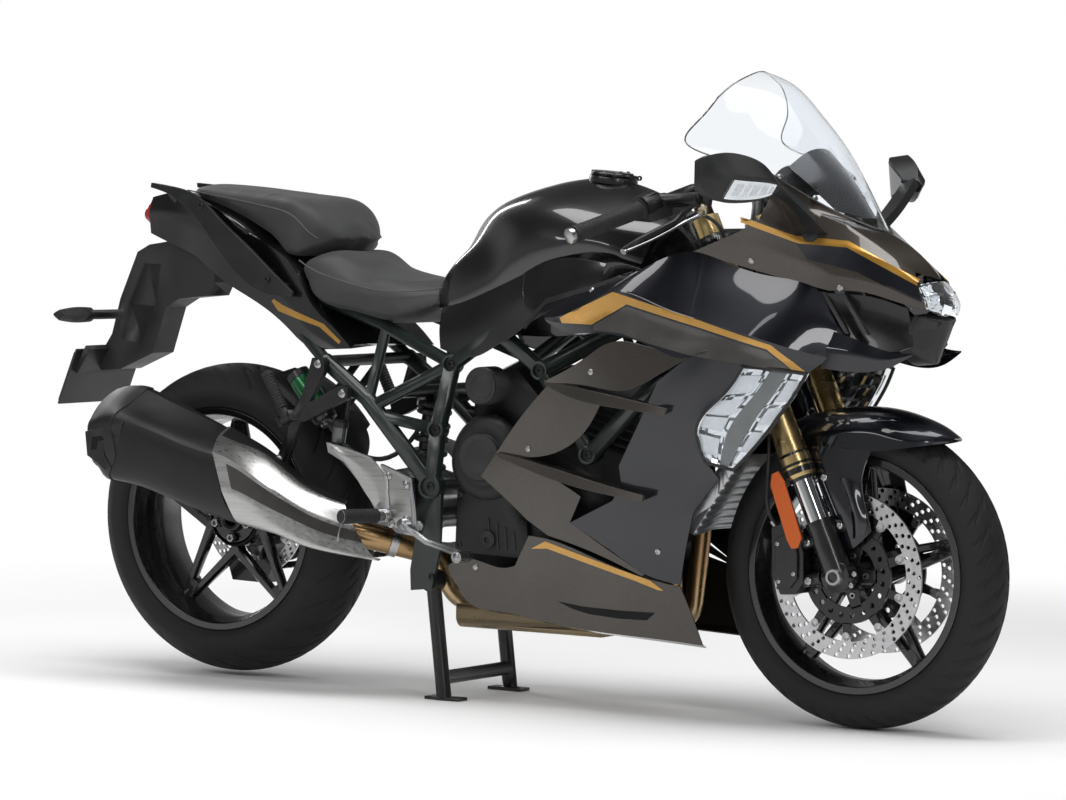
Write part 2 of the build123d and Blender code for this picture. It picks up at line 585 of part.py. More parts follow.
def rider_seat():
    """Dished rider's seat with a step at its rear and skirts that drop at the sides."""
    top = [(-452, 0, 880), (-404, 0, 890), (-330, 0, 866), (-260, 0, 845), (-222, 0, 838), (-183, 0, 838),
           (-140, 0, 842)]
    edge = [(-452, -108, 880), (-404, -113, 887), (-332, -116, 850), (-260, -114, 834), (-222, -102, 831),
            (-172, -74, 833), (-136, -52, 838)]
    side = [(-454, -138, 868), (-422, -144, 853), (-336, -147, 828), (-270, -146, 815), (-222, -140, 812),
            (-170, -112, 815), (-130, -84, 822)]
    skirt = [(-454, -146, 850), (-414, -150, 793), (-340, -154, 772), (-265, -155, 763), (-214, -154, 761),
             (-166, -138, 772), (-128, -108, 790)]
    floor = [(-445, -60, 838), (-410, -80, 800), (-335, -98, 766), (-262, -105, 750), (-212, -100, 752),
             (-166, -78, 768), (-130, -50, 788)]
    return body(whole(rounded([top, edge, side, skirt], 2) + [floor]))


def passenger_seat():
    """Raised passenger seat with a bolster at its front."""
    top = [(-792, 0, 1020), (-700, 0, 1016), (-600, 0, 1006), (-520, 0, 997), (-470, 0, 989), (-425, 0, 962),
           (-368, 0, 915)]
    edge = [(-788, -58, 1016), (-700, -82, 1011), (-600, -95, 1003), (-520, -104, 995), (-465, -108, 984),
            (-420, -98, 950), (-383, -70, 909)]
    side = [(-780, -78, 1004), (-700, -104, 996), (-610, -114, 984), (-530, -124, 972), (-468, -131, 952),
            (-438, -122, 922), (-408, -96, 902)]
    low = [(-775, -84, 996), (-700, -106, 984), (-612, -116, 952), (-530, -130, 905), (-468, -140, 873),
           (-447, -136, 882), (-415, -101, 894)]
    floor = [(-770, -40, 986), (-700, -45, 968), (-612, -50, 935), (-530, -55, 900), (-468, -55, 876),
             (-447, -55, 880), (-405, -50, 890)]
    return body(whole(rounded([top, edge, side, low], 2) + [floor]))


def tail_cowl():
    """Tail unit: tapered body under the seats, pinched along its flanks and open underneath."""
    deck = [(-322, -100, 704), (-365, -100, 745), (-415, -100, 790), (-470, -100, 868), (-540, -100, 902),
            (-612, -96, 945), (-732, -84, 985), (-800, -58, 1000), (-878, -40, 992)]
    upper = [(-315, -151, 696), (-360, -151, 738), (-411, -150, 778), (-465, -147, 858), (-535, -140, 901),
             (-600, -130, 928), (-732, -107, 995), (-792, -88, 1003), (-878, -68, 990)]
    crease = [(-348, -154, 694), (-390, -154, 718), (-440, -152, 752), (-500, -148, 815), (-560, -139, 850),
              (-640, -127, 890), (-740, -110, 940), (-800, -100, 955), (-880, -78, 960)]
    lower = [(-382, -149, 692), (-419, -149, 696), (-470, -146, 728), (-527, -140, 765), (-600, -129, 798),
             (-664, -120, 827), (-754, -100, 876), (-800, -96, 892), (-872, -82, 915)]
    belly = [(-366, -104, 700), (-414, -104, 712), (-470, -100, 746), (-527, -95, 784), (-600, -88, 818),
             (-664, -82, 845), (-754, -70, 886), (-800, -62, 898), (-866, -50, 918)]
    keel = [(-366, 0, 706), (-414, 0, 730), (-470, 0, 770), (-527, 0, 806), (-600, 0, 838), (-664, 0, 862),
            (-754, 0, 892), (-800, 0, 902), (-866, 0, 920)]
    ridge = [(x, 0, z) for x, y, z in deck]
    right = [ridge, deck, upper, crease, lower, belly]
    left = [[(x, -y, z) for x, y, z in row] for row in right[1:]]
    return body([*right, keel, *left[::-1]])


RAIL_THICK = 9.0


def grab_rails():
    """Blade-like rails beside the tail, each standing off it on two feet."""
    high = [(-450, -168, 806), (-500, -176, 850), (-564, -175, 901), (-640, -157, 948), (-717, -132, 994),
            (-800, -106, 1013), (-872, -84, 1020)]
    low = [(-450, -170, 796), (-531, -179, 808), (-600, -177, 855), (-665, -160, 912), (-734, -134, 963),
           (-812, -107, 998), (-872, -86, 1010)]
    blade = body([high, low, *shifted([low, high], (0, RAIL_THICK, 0))])
    feet = rod((-480, -138, 816), (-480, -170, 816), 9) + rod((-530, -138, 846), (-530, -172, 846), 9)
    feet += rod((-800, -84, 980), (-812, -100, 1004), 8)
    return both_sides(blade + feet)


def tail_lamp():
    return hull_loft([(-876, 918, 989, 70), (-893, 930, 987, 66), (-907, 941, 974, 60)], 3.0)


def plate_holder():
    """Long arm down to the plate, with the rear indicators on stalks."""
    arm = side_plate([(-740, 884), (-847, 900), (-910, 890), (-941, 874), (-985, 775), (-1006, 700),
                      (-1047, 640), (-1034, 622), (-983, 626), (-898, 663), (-866, 759), (-831, 779),
                      (-755, 787), (-741, 815)], -36, 36)
    flute = side_plate([(-880, 850), (-925, 850), (-965, 765), (-985, 690), (-930, 680), (-895, 760)], 26, 60)
    arm -= both_sides(flute)
    bracket = side_plate([(-1026, 676), (-1058, 622), (-1048, 616), (-1014, 668)], -100, 100)
    stalk = rod((-985, -34, 742), (-1000, -120, 742), 10)
    lamp = body([[(-1002, -112, 756), (-1012, -160, 757), (-1021, -196, 752)],
                 [(-984, -112, 742), (-992, -160, 742), (-1006, -196, 742)],
                 [(-1002, -112, 728), (-1012, -160, 727), (-1021, -196, 732)],
                 [(-1020, -112, 742), (-1030, -160, 742), (-1036, -196, 742)]])
    side = stalk + lamp
    return arm + bracket + side + mirror(side, about=Plane.XZ)


def number_plate():
    plate = Box(4, 230, 125)
    return Pos(-1062.23, 0, 610) * Rot(0, 22, 0) * plate


def side_covers():
    """Gloss panels below the tank's knees, and the strips that meet the side cowls."""
    knee = skin([[(-128, -104, 784), (-60, -124, 799), (0, -133, 821), (45, -141, 838), (96, -151, 858)],
                 [(-112, -138, 742), (-35, -150, 748), (25, -160, 768), (75, -170, 792), (112, -178, 812)],
                 [(-101, -150, 704), (-7, -165, 692), (46, -176, 715), (114, -186, 752), (150, -190, 790)]],
                (0, PANEL, 0))
    strip = skin([[(96, -152, 860), (150, -159, 884), (229, -168, 892), (300, -176, 884)],
                  [(112, -179, 812), (150, -188, 800), (214, -191, 834), (300, -189, 868)],
                  [(130, -190, 762), (180, -200, 786), (236, -202, 814), (303, -202, 838)]], (0, PANEL, 0))
    return both_sides(knee + strip)


# ---------------------------------------------------------------- cowls
def tongues(spots, reach=14):
    """Tabs behind the right wall, each across a seam, so that neighbouring panels lie on one another."""
    tabs = [Pos(x, y + PANEL, z) * Box(2 * reach, TONGUE, 2 * reach) for x, y, z in spots]
    return Part() + tabs


TONGUE = 5.0


def boss(x, y_from, y_to, z, radius=7):
    """Round post across the machine, from something inside the fairing out to a panel's wall."""
    return rod((x, y_from, z), (x, y_to, z), radius)


def side_cowls():
    """Upper side panels with their ridge, and the winglets beside the headlamp."""
    top = [(177, -200, 784), (235, -203, 815), (303, -203, 839), (389, -198, 874), (489, -172, 911),
           (562, -155, 890), (648, -140, 868), (734, -122, 847), (774, -124, 799)]
    hollow = [(177, -202, 780), (228, -213, 798), (294, -215, 822), (369, -214, 853), (472, -204, 860),
              (555, -198, 838), (640, -185, 816), (722, -170, 796), (790, -138, 765)]
    ridge = [(177, -204, 776), (222, -222, 780), (285, -226, 804), (349, -229, 831), (456, -235, 805),
             (547, -236, 783), (633, -228, 762), (706, -212, 741), (783, -152, 716)]
    step = [(178, -203, 772), (230, -214, 765), (292, -220, 778), (345, -224, 792), (447, -231, 768),
            (536, -233, 747), (608, -229, 743), (676, -212, 720), (764, -160, 702)]
    low = [(180, -202, 768), (239, -210, 748), (300, -219, 750), (341, -225, 749), (437, -237, 730),
           (525, -240, 710), (584, -237, 730), (647, -224, 700), (745, -170, 686)]
    panel = skin(rounded([top, hollow, ridge], 2) + [step, low], (0, PANEL, 0))
    upper = [(782, -141, 768), (839, -135, 751), (886, -115, 733), (931, -100, 729)]
    outer = [(775, -156, 735), (830, -146, 726), (886, -121, 717), (932, -101, 727)]
    lower = [(768, -158, 698), (815, -141, 692), (887, -115, 700), (931, -99, 725)]
    inner = [(778, -138, 730), (835, -129, 722), (886, -109, 717), (930, -97, 727)]
    winglet = body([upper, outer, lower, inner])
    return both_sides(panel + winglet + tongues([(548, -238, 722), (700, -128, 857), (425, -237, 734)]))


def louvre_panels():
    """Middle panels: three plates, with two long fins standing out between them."""
    plate_top = skin([[(194, -224, 654), (287, -234, 700), (353, -238, 735), (440, -238, 728), (523, -238, 713)],
                      [(196, -222, 650), (300, -231, 647), (389, -238, 643), (460, -241, 676), (523, -238, 709)]],
                     (0, PANEL, 0))
    plate_mid = skin([[(55, -182, 504), (104, -194, 560), (150, -205, 606), (198, -214, 650)],
                      [(66, -182, 500), (190, -198, 508), (281, -213, 560), (322, -222, 618)]], (0, PANEL, 0))
    plate_low = skin([[(54, -184, 502), (160, -193, 478), (262, -196, 430), (231, -184, 378), (310, -181, 332),
                       (396, -174, 285)],
                      [(19, -180, 457), (82, -176, 410), (123, -174, 377), (173, -174, 348), (279, -176, 321),
                       (390, -173, 280)]], (0, PANEL, 0), corners=(2, 3))
    fin_one = body([[(184, -214, 656), (285, -238, 643), (390, -250, 628), (486, -252, 613)],
                    [(184, -214, 646), (267, -238, 622), (369, -250, 609), (480, -251, 599)],
                    [(190, -200, 644), (272, -212, 622), (372, -220, 609), (470, -226, 602)],
                    [(190, -200, 656), (290, -212, 643), (392, -220, 628), (478, -226, 612)]])
    fin_two = body([[(62, -186, 507), (188, -212, 488), (315, -230, 463), (430, -240, 443)],
                    [(62, -186, 497), (186, -212, 466), (314, -230, 443), (426, -239, 431)],
                    [(70, -176, 496), (190, -188, 466), (318, -196, 443), (412, -200, 432)],
                    [(70, -176, 507), (192, -188, 488), (318, -196, 463), (416, -200, 442)]])
    return both_sides(plate_top + plate_mid + plate_low + fin_one + fin_two)


def front_side_panels():
    """Dark panels behind and below the cornering lamps, down to the belly."""
    rear = [(459, -243, 663), (440, -240, 628), (422, -236, 596), (391, -227, 546), (361, -219, 496),
            (363, -212, 458), (338, -204, 426), (285, -195, 402), (231, -187, 377)]
    second = [(523, -240, 709), (490, -239, 650), (465, -234, 598), (440, -225, 545), (420, -215, 490),
              (420, -209, 446), (400, -203, 405), (360, -195, 370), (318, -184, 331)]
    third = [(580, -233, 727), (548, -234, 660), (512, -230, 598), (490, -223, 548), (484, -212, 495),
             (478, -207, 452), (455, -201, 400), (427, -192, 345), (399, -176, 285)]
    front = [(632, -217, 698), (592, -222, 641), (553, -228, 604), (537, -225, 577), (550, -214, 512),
             (576, -205, 482), (520, -202, 414), (497, -190, 340), (476, -172, 268)]
    panel = skin([rear, second, third, front], (0, PANEL, 0), corners=(3, 4, 5, 6))
    return both_sides(panel + tongues([(572, -226, 634), (360, -181, 304), (425, -236, 600)])
                      + boss(524, -158, -202, 428))


def lower_cowl():
    """Belly panel under the engine on each side, turned in along its bottom."""
    upper = [(-78, -148, 272), (-42, -150, 289), (57, -150, 276), (84, -152, 282), (126, -169, 345),
             (172, -174, 341), (277, -177, 312), (395, -176, 279), (476, -172, 265)]
    middle = [(-72, -147, 252), (-28, -147, 252), (52, -147, 246), (102, -150, 250), (160, -159, 262),
              (235, -162, 254), (320, -163, 240), (415, -162, 224), (494, -159, 214)]
    lower = [(-58, -140, 233), (-34, -133, 199), (40, -131, 187), (107, -131, 178), (175, -134, 170),
             (244, -138, 164), (339, -142, 160), (430, -144, 157), (510, -142, 152)]
    under = [(-46, -118, 226), (-28, -110, 192), (40, -108, 180), (107, -106, 171), (175, -106, 163),
             (244, -108, 157), (339, -110, 152), (430, -112, 148), (500, -112, 144)]
    return both_sides(skin([upper, middle, lower, under], (0, PANEL, 1), corners=(3, 4)))


def cornering_lamps():
    """Bulged lamp blocks in the side panels, pointed at their upper front end."""
    rear = [(632, -217, 697), (592, -223, 641), (553, -229, 604), (537, -226, 577), (551, -215, 512)]
    bulge = [(695, -205, 694), (668, -211, 650), (630, -215, 604), (604, -214, 562), (584, -210, 504)]
    front = [(746, -176, 686), (728, -182, 652), (698, -189, 608), (661, -196, 558), (606, -203, 499)]
    return both_sides(skin(rounded([rear, bulge, front], 2), (-10, 26, 0)))


def upper_cowl():
    """Nose fairing: creased shell from the screen's foot down to the seam over the winglets."""
    seam = [(488, -170, 911), (575, -152, 888), (660, -136, 866), (758, -116, 843), (833, -98, 840),
            (885, -82, 825), (941, -62, 810)]
    flank = [(581, -165, 949), (640, -153, 921), (700, -141, 899), (764, -119, 877), (840, -100, 864),
             (890, -84, 847), (934, -67, 828)]
    stripe = [(630, -166, 973), (674, -153, 953), (718, -140, 934), (785, -107, 930), (845, -86, 906),
              (885, -72, 886), (921, -63, 862)]
    crease = [(652, -162, 1013), (683, -136, 1003), (714, -111, 993), (776, -85, 968), (837, -66, 928),
              (872, -56, 905), (906, -46, 882)]
    foot = [(656, -166, 1062), (673, -131, 1044), (749, -70, 991), (822, 0, 955), (868, 0, 931), (902, 0, 906),
            (938, 0, 868)]
    half = skin([seam, flank, stripe, crease, foot], (-1.6, 1.9, -1.6), corners=(3,))
    return half + mirror(half, about=Plane.XZ)


def headlamp():
    """Slim central lamp that fills the mouth of the nose."""
    brow = [(860, 0, 880), (910, 0, 876), (937, 0, 864)]
    corner = [(860, -62, 862), (905, -62, 866), (921, -62, 858)]
    side = [(860, -66, 835), (905, -72, 838), (935, -68, 829)]
    cheek = [(860, -62, 806), (905, -66, 808), (943, -61, 809)]
    lip = [(860, -30, 790), (905, -30, 792), (956, -26, 797)]
    chin = [(860, 0, 792), (905, 0, 796), (967, 0, 805)]
    lens = [(860, 0, 820), (905, 0, 820), (974, 0, 820)]
    right = [brow, corner, side, cheek, lip, chin]
    left = [[(x, -y, z) for x, y, z in row] for row in right[1:-1]]
    return body(right + left[::-1])


def windscreen():
    """Tall clear screen, curled over at its sides."""
    centre = [(822, 0, 957), (763, 0, 1053), (713, 0, 1120), (657, 0, 1182), (590, 0, 1241), (540, 0, 1260)]
    inner = [(749, -70, 993), (712, -80, 1068), (668, -86, 1128), (620, -84, 1180), (572, -74, 1228),
             (536, -60, 1247)]
    outer = [(673, -131, 1046), (645, -142, 1088), (600, -149, 1128), (560, -143, 1165), (541, -124, 1200),
             (529, -102, 1230)]
    edge = [(656, -166, 1064), (600, -182, 1084), (512, -195, 1106), (481, -189, 1126), (501, -168, 1166),
            (520, -134, 1208)]
    half = skin(rounded([centre, inner, outer, edge], 2), (-2.2, 0, -2.2))
    return half + mirror(half, about=Plane.XZ)


def instrument_cowl():
    """Dash panel on its stay, the chin under the headlamp, and the dark ducts beside it."""
    dash = body([[(655, -105, 1058), (668, -60, 1082), (672, 0, 1090), (668, 60, 1082), (655, 105, 1058)],
                 [(655, -105, 1030), (672, -60, 1026), (680, 0, 1024), (672, 60, 1026), (655, 105, 1030)],
                 [(625, -100, 1030), (628, -60, 1022), (630, 0, 1020), (628, 60, 1022), (625, 100, 1030)],
                 [(622, -100, 1050), (618, -60, 1072), (616, 0, 1080), (618, 60, 1072), (622, 100, 1050)]])
    stay = rod(head_point(HEAD_HIGH - 60, HEAD_R - 2), (660, 0, 905), 11) + rod((660, 0, 905), (650, 0, 1030), 11)
    stay += rod((660, 0, 905), (872, 0, 830), 11)
    stay -= rod(head_point(HEAD_LOW - 5), head_point(HEAD_HIGH + 5), HEAD_R)
    chin = body([[(925, -62, 796), (945, -50, 791), (953, 0, 785), (945, 50, 791), (925, 62, 796)],
                 [(903, -68, 757), (912, -52, 728), (930, 0, 706), (912, 52, 728), (903, 68, 757)],
                 [(880, -64, 750), (885, -50, 722), (895, 0, 702), (885, 50, 722), (880, 64, 750)],
                 [(880, -60, 800), (885, -50, 800), (890, 0, 800), (885, 50, 800), (880, 60, 800)]])
    neck = rod((872, 0, 826), (893, 0, 770), 14)
    return dash + stay + chin + neck


def mirrors():
    """Mirror shells with built-in indicators, on tapering arms from the nose."""
    top = [(733, -280, 1053), (722, -300, 1079), (687, -334, 1100), (660, -370, 1101), (636, -392, 1092)]
    front = [(748, -280, 1042), (741, -300, 1050), (718, -335, 1056), (685, -372, 1060), (642, -396, 1062)]
    bottom = [(738, -282, 1030), (722, -302, 1017), (690, -345, 1008), (658, -376, 1014), (636, -393, 1037)]
    rear_low = [(702, -282, 1030), (672, -302, 1021), (642, -345, 1014), (628, -376, 1020), (620, -391, 1041)]
    rear_top = [(702, -281, 1051), (672, -300, 1074), (640, -334, 1094), (628, -370, 1095), (620, -390, 1086)]
    rows = [top, front, bottom, rear_low, rear_top]
    arm = body([[(739, -110, 962), (744, -178, 1003), (724, -288, 1060)],
                [(752, -107, 948), (749, -190, 990), (737, -288, 1048)],
                [(726, -122, 938), (728, -215, 1000), (714, -288, 1034)],
                [(696, -136, 948), (703, -225, 1014), (694, -288, 1048)]])
    return both_sides(body(rows) + arm)


# ---------------------------------------------------------------- fork and bars
def fork_upper():
    """Outer fork tubes with the two clamps and the steering stem."""
    legs = Part()
    for y in (-FORK_HALF_TRACK, FORK_HALF_TRACK):
        legs += rod(fork_point(210, y), fork_point(740, y), FORK_TUBE_R)
        legs += rod(fork_point(210, y), fork_point(252, y), FORK_TUBE_R + 2.5)
    for low, high in ((HEAD_LOW - 34, HEAD_LOW - 4), (HEAD_HIGH + 4, HEAD_HIGH + 28)):
        legs += rod(head_point(low), head_point(high), 34)
        for y in (-FORK_HALF_TRACK, FORK_HALF_TRACK):
            legs += rod(head_point(low, FORK_OFFSET, y), head_point(high, FORK_OFFSET, y), FORK_TUBE_R + 8)
        base = Plane(origin=head_point(low, FORK_OFFSET / 2), x_dir=(0, 1, 0), z_dir=UP_FORK)
        legs += extrude(base * Rectangle(2 * FORK_HALF_TRACK, 40), amount=high - low)
    for y in (-FORK_HALF_TRACK, FORK_HALF_TRACK):
        legs -= rod(fork_point(200, y), fork_point(STANCHION_TOP, y), STANCHION_R)
    legs += rod(head_point(HEAD_LOW - 20), head_point(HEAD_HIGH + 10), STEM_R)
    return legs


def fork_lower():
    """Bright stanchions, axle lugs, fender lugs and the front axle."""
    legs = Part()
    for y in (-FORK_HALF_TRACK, FORK_HALF_TRACK):
        legs += rod(fork_point(100, y), fork_point(STANCHION_TOP, y), STANCHION_R)
        legs += rod(fork_point(0, y), fork_point(111, y), 26)
        legs += rod((FRONT_AXLE_X, y - 18, FRONT_AXLE_Z), (FRONT_AXLE_X, y + 18, FRONT_AXLE_Z), 30)
    legs += rod((FRONT_AXLE_X, -128, FRONT_AXLE_Z), (FRONT_AXLE_X, 128, FRONT_AXLE_Z), AXLE_R)
    lug = at_front(side_plate([(-60, 75), (2, 85), (12, 104), (-58, 112)], BLADE_Y + 2, BLADE_Y + 12))
    return legs + both_sides(lug)


def front_fender():
    """Fender over the tyre, with blades outside the discs down to lugs on the fork."""
    crest = [(-147, 0, 290), (-80, 0, 312), (-18, 0, 320), (60, 0, 318), (118, 0, 305), (168, 0, 286),
             (196, 0, 268)]
    crown = [(-147, -40, 284), (-78, -46, 301), (-18, -50, 308), (60, -50, 307), (112, -47, 294),
             (160, -38, 278), (194, -12, 268)]
    shoulder = [(-128, -66, 262), (-75, -75, 268), (-18, -80, 274), (56, -80, 277), (108, -77, 265),
                (155, -58, 262), (192, -18, 263)]
    hem = [(-118, -72, 240), (-78, -79, 238), (-18, -84, 244), (50, -85, 240), (104, -80, 246),
           (152, -61, 254), (190, -16, 260)]
    arch = skin(from_front_axle(rounded([crest, crown, shoulder, hem], 2)), (0, 2.4, -2.4))
    rear = [(-80, -84, 244), (-70, -88, 206), (-26, -91, 107), (0, -89, 52)]
    swell = [(-20, -87, 244), (-22, -93, 196), (14, -96, 100), (24, -92, 56)]
    front = [(52, -86, 240), (34, -87, 186), (46, -90, 131), (58, -90, 88)]
    blade = skin(from_front_axle([rear, swell, front]), (0, PANEL, 0))
    half = arch + blade
    return half + mirror(half, about=Plane.XZ)


BLADE_Y = 83.0


def front_calipers():
    y = FRONT_DISC_Y
    block = side_plate([(640, 385), (690, 372), (700, 280), (665, 255), (640, 300)], -26, 26)
    slot = Pos(FRONT_AXLE_X, 0, FRONT_AXLE_Z) * plug(FRONT_DISC_R + 3, -6, 6)
    caliper = Pos(0, y, 0) * (block - slot)
    lug = side_plate([(690, 340), (700, 290), (760, 285), (765, 320)], 84, 98)
    return both_sides(caliper + lug)


BAR_IN = (417.0, 240.0, 992.0)
BAR_END = (352.0, 387.0, 941.0)


def handlebars():
    """Risers, bars, switch housings, master cylinders and levers."""
    clamp = head_point(HEAD_HIGH + 28, 20, 80)
    bar = pipe([(clamp[0], 80, clamp[2] + 24), (470, 120, 1034), BAR_IN], 11, 20)
    riser = rod(clamp, (clamp[0] - 6, 80, clamp[2] + 30), 16)
    housing = rod((430, 212, 1003), BAR_IN, 27)
    master = rod((434, 206, 1008), (520, 205, 1012), 14)
    lever = pipe([(505, 202, 1000), (500, 260, 968), (468, 330, 935), (452, 362, 915)], 6, 30)
    side = bar + riser + housing + master + lever
    return side + mirror(side, about=Plane.XZ) + rod((clamp[0], -80, clamp[2] + 12), (clamp[0], 80, clamp[2] + 12), 9)


def hand_grips():
    grip = rod(BAR_IN, BAR_END, 17)
    return both_sides(grip)


# ---------------------------------------------------------------- stands and pegs
STAND_X, STAND_Z, STAND_Y = -128.0, 238.0, 122.0
STAND_FOOT_X = -98.0
STAND_CROSS_Z = 44.0
STAND_FOOT_IN = 0.95            # feet set in from the legs, clear of the chain when folded


def centre_stand():
    """Two legs past their upright, a cross tube and a foot plate under each leg."""
    foot_z = 6.0
    legs = Part()
    for y in (-STAND_Y, STAND_Y):
        legs += rod((STAND_X, y, STAND_Z), (STAND_FOOT_X, y, foot_z / 2), STAND_TUBE_R)
        legs += rod((STAND_X, y - 15, STAND_Z), (STAND_X, y + 15, STAND_Z), 22)
        legs += Pos(STAND_FOOT_X, y * STAND_FOOT_IN, foot_z / 2) * Box(80, 34, foot_z)
    cross_x = STAND_X + (STAND_FOOT_X - STAND_X) * (STAND_Z - STAND_CROSS_Z) / (STAND_Z - foot_z)
    legs += rod((cross_x, -STAND_Y, STAND_CROSS_Z), (cross_x, STAND_Y, STAND_CROSS_Z), STAND_TUBE_R - 1)
    legs -= Pos(STAND_FOOT_X, 0, -20) * Box(120, 400, 40)
    return legs - rod((STAND_X, -160, STAND_Z), (STAND_X, 160, STAND_Z), 14.3)


SIDE_PIVOT = (-108.0, 188.0, 236.0)
SIDE_FOLDED = Vector(-0.99, 0.06, 0.13)
SIDE_LEG = 215.0
SIDE_AXIS = Vector(-0.1154, -0.8711, -0.4771)


def side_stand():
    start = Vector(*SIDE_PIVOT)
    end = start + SIDE_FOLDED * SIDE_LEG
    leg = rod(tuple(start), tuple(end), 12)
    foot = Pos(*end) * Rot(0, 0, 0) * Box(44, 10, 40)
    eye = rod(start - SIDE_AXIS * 10.5, start + SIDE_AXIS * 10.5, 17.7)
    return leg + foot + eye


def peg_brackets():
    """V-shaped passenger peg hangers and the clevises that carry the pegs."""
    outline = [(-386, 676), (-358, 676), (-356, 650), (-392, 586), (-320, 622), (-298, 618), (-300, 596), (-400, 548),
               (-432, 540), (-436, 562), (-410, 600)]
    pads = rod((-371, 160, 664), (-371, 172, 664), 12) + rod((-311, 150, 607), (-311, 172, 607), 12)
    strap = side_plate([(-436, 552), (-410, 552), (-452, 455), (-476, 455)], -186, -172)
    clevis = mirror(peg_clevis(), about=Plane.XZ)
    return both_sides(side_plate(outline, 172, 186) + pads + clevis) + strap


def rider_footrests():
    """Hanger plates, heel guards, pegs and the pedal or lever ahead of each peg."""
    plate = side_plate([(-215, 470), (-140, 445), (-128, 330), (-175, 335), (-215, 370)], 178, 188)
    guard = side_plate([(-343, 508), (-300, 500), (-236, 483), (-196, 447), (-190, 382), (-222, 379),
                        (-250, 420), (-300, 470), (-338, 488)], 188, 194)
    peg = rod((-195, 186, 368), (-232, 300, 370), 13)
    pedal = pipe([(-150, 196, 352), (-90, 204, 322), (10, 214, 300)], 7, 30) + rod((10, 206, 300), (10, 250, 300), 9)
    pivot = rod((-150, 186, 352), (-150, 205, 352), 13)
    for x, z in ((-194, 442), (-148, 425), (-130, 350)):
        plate += rod((x, 170, z), (x, 178, z), 10)
    return both_sides(plate + guard + peg + pedal + pivot)


PEG_HINGE = Vector(-436, -200, 552)
PEG_AXIS = Vector(0.878, 0, 0.479)      # hinge line, level with the hanger's lower arm
PEG_EAR = 5.0


def peg_clevis():
    """Two ears and a pin that carry the right passenger peg."""
    base = Plane(origin=PEG_HINGE, x_dir=PEG_AXIS, z_dir=(0, 1, 0))
    ears = rod(PEG_HINGE - PEG_AXIS * 17, PEG_HINGE + PEG_AXIS * 17, 4)
    for side in (-1, 1):
        ears += base * Pos(side * (12.4 + PEG_EAR / 2), 0, 8) * Box(PEG_EAR, 22, 40)
    return ears


def passenger_peg():
    """Right passenger peg, folded up along the hanger."""
    folded = Vector(-0.479, -0.04, 0.878)
    peg = rod(PEG_HINGE - PEG_AXIS * 12, PEG_HINGE + PEG_AXIS * 12, 11)
    peg += rod(PEG_HINGE, PEG_HINGE + folded * 104, 11)
    return peg - rod(PEG_HINGE - PEG_AXIS * 13, PEG_HINGE + PEG_AXIS * 13, 4.3)


def rear_caliper():
    block = side_plate([(-756, 250), (-736, 192), (-650, 190), (-626, 246), (-690, 232)], 34, 72)
    block += rod((-690, 62, 212), (-690, 108, 276), 10)
    slot = Pos(REAR_AXLE_X, 0, REAR_AXLE_Z) * plug(REAR_DISC_R + 3, 46, 58)
    return block - slot


def rear_mudguard():
    outer = REAR_TYRE_R + 22
    profile = [(-104, 290), (-92, outer - 14), (0, outer), (92, outer - 14), (100, 290), (97, 290), (90, outer - 17),
               (0, outer - 3), (-90, outer - 17), (-101, 290)]
    keep = side_plate([(-560, 760), (-300, 640), (-300, 420), (-345, 420), (-420, 520), (-560, 620)], -110, 110)
    guard = at_rear(turned(profile)) & keep
    for y in (-40, 40):
        guard += rod((-376, y, 662), (-459, y, 564), 8)
    return guard


# ---------------------------------------------------------------- assembly
def build():
    pieces = {}
    pieces.update(front_wheel_parts())
    pieces.update(rear_wheel_parts())
    makers = (frame, engine_block, engine_covers, radiator, exhaust_headers, muffler, muffler_shield, swingarm,
              rear_shock, chain, rear_mudguard, rear_caliper, fuel_tank, fuel_cap, rider_seat, passenger_seat,
              tail_cowl, grab_rails, tail_lamp, plate_holder, number_plate, side_covers, upper_cowl, side_cowls,
              louvre_panels, front_side_panels, lower_cowl, cornering_lamps, headlamp, windscreen,
              instrument_cowl, mirrors, rider_footrests, peg_brackets, fork_upper, fork_lower, front_fender,
              front_calipers, handlebars, hand_grips, centre_stand, side_stand)
    for make in makers:
        pieces[make.__name__] = make()
    pieces["passenger_peg_right"] = passenger_peg()
    pieces["passenger_peg_left"] = mirror(passenger_peg(), about=Plane.XZ)
    for name, neighbours in SEATS.items():
        for neighbour in neighbours:
            pieces[name] -= pieces[neighbour]
        pieces[name] = Part() + [solid for solid in pieces[name].solids() if solid.volume > CRUMB]
    return pieces


CRUMB = 2500.0                 # smaller leftovers of a cut are dropped, cubic millimetres

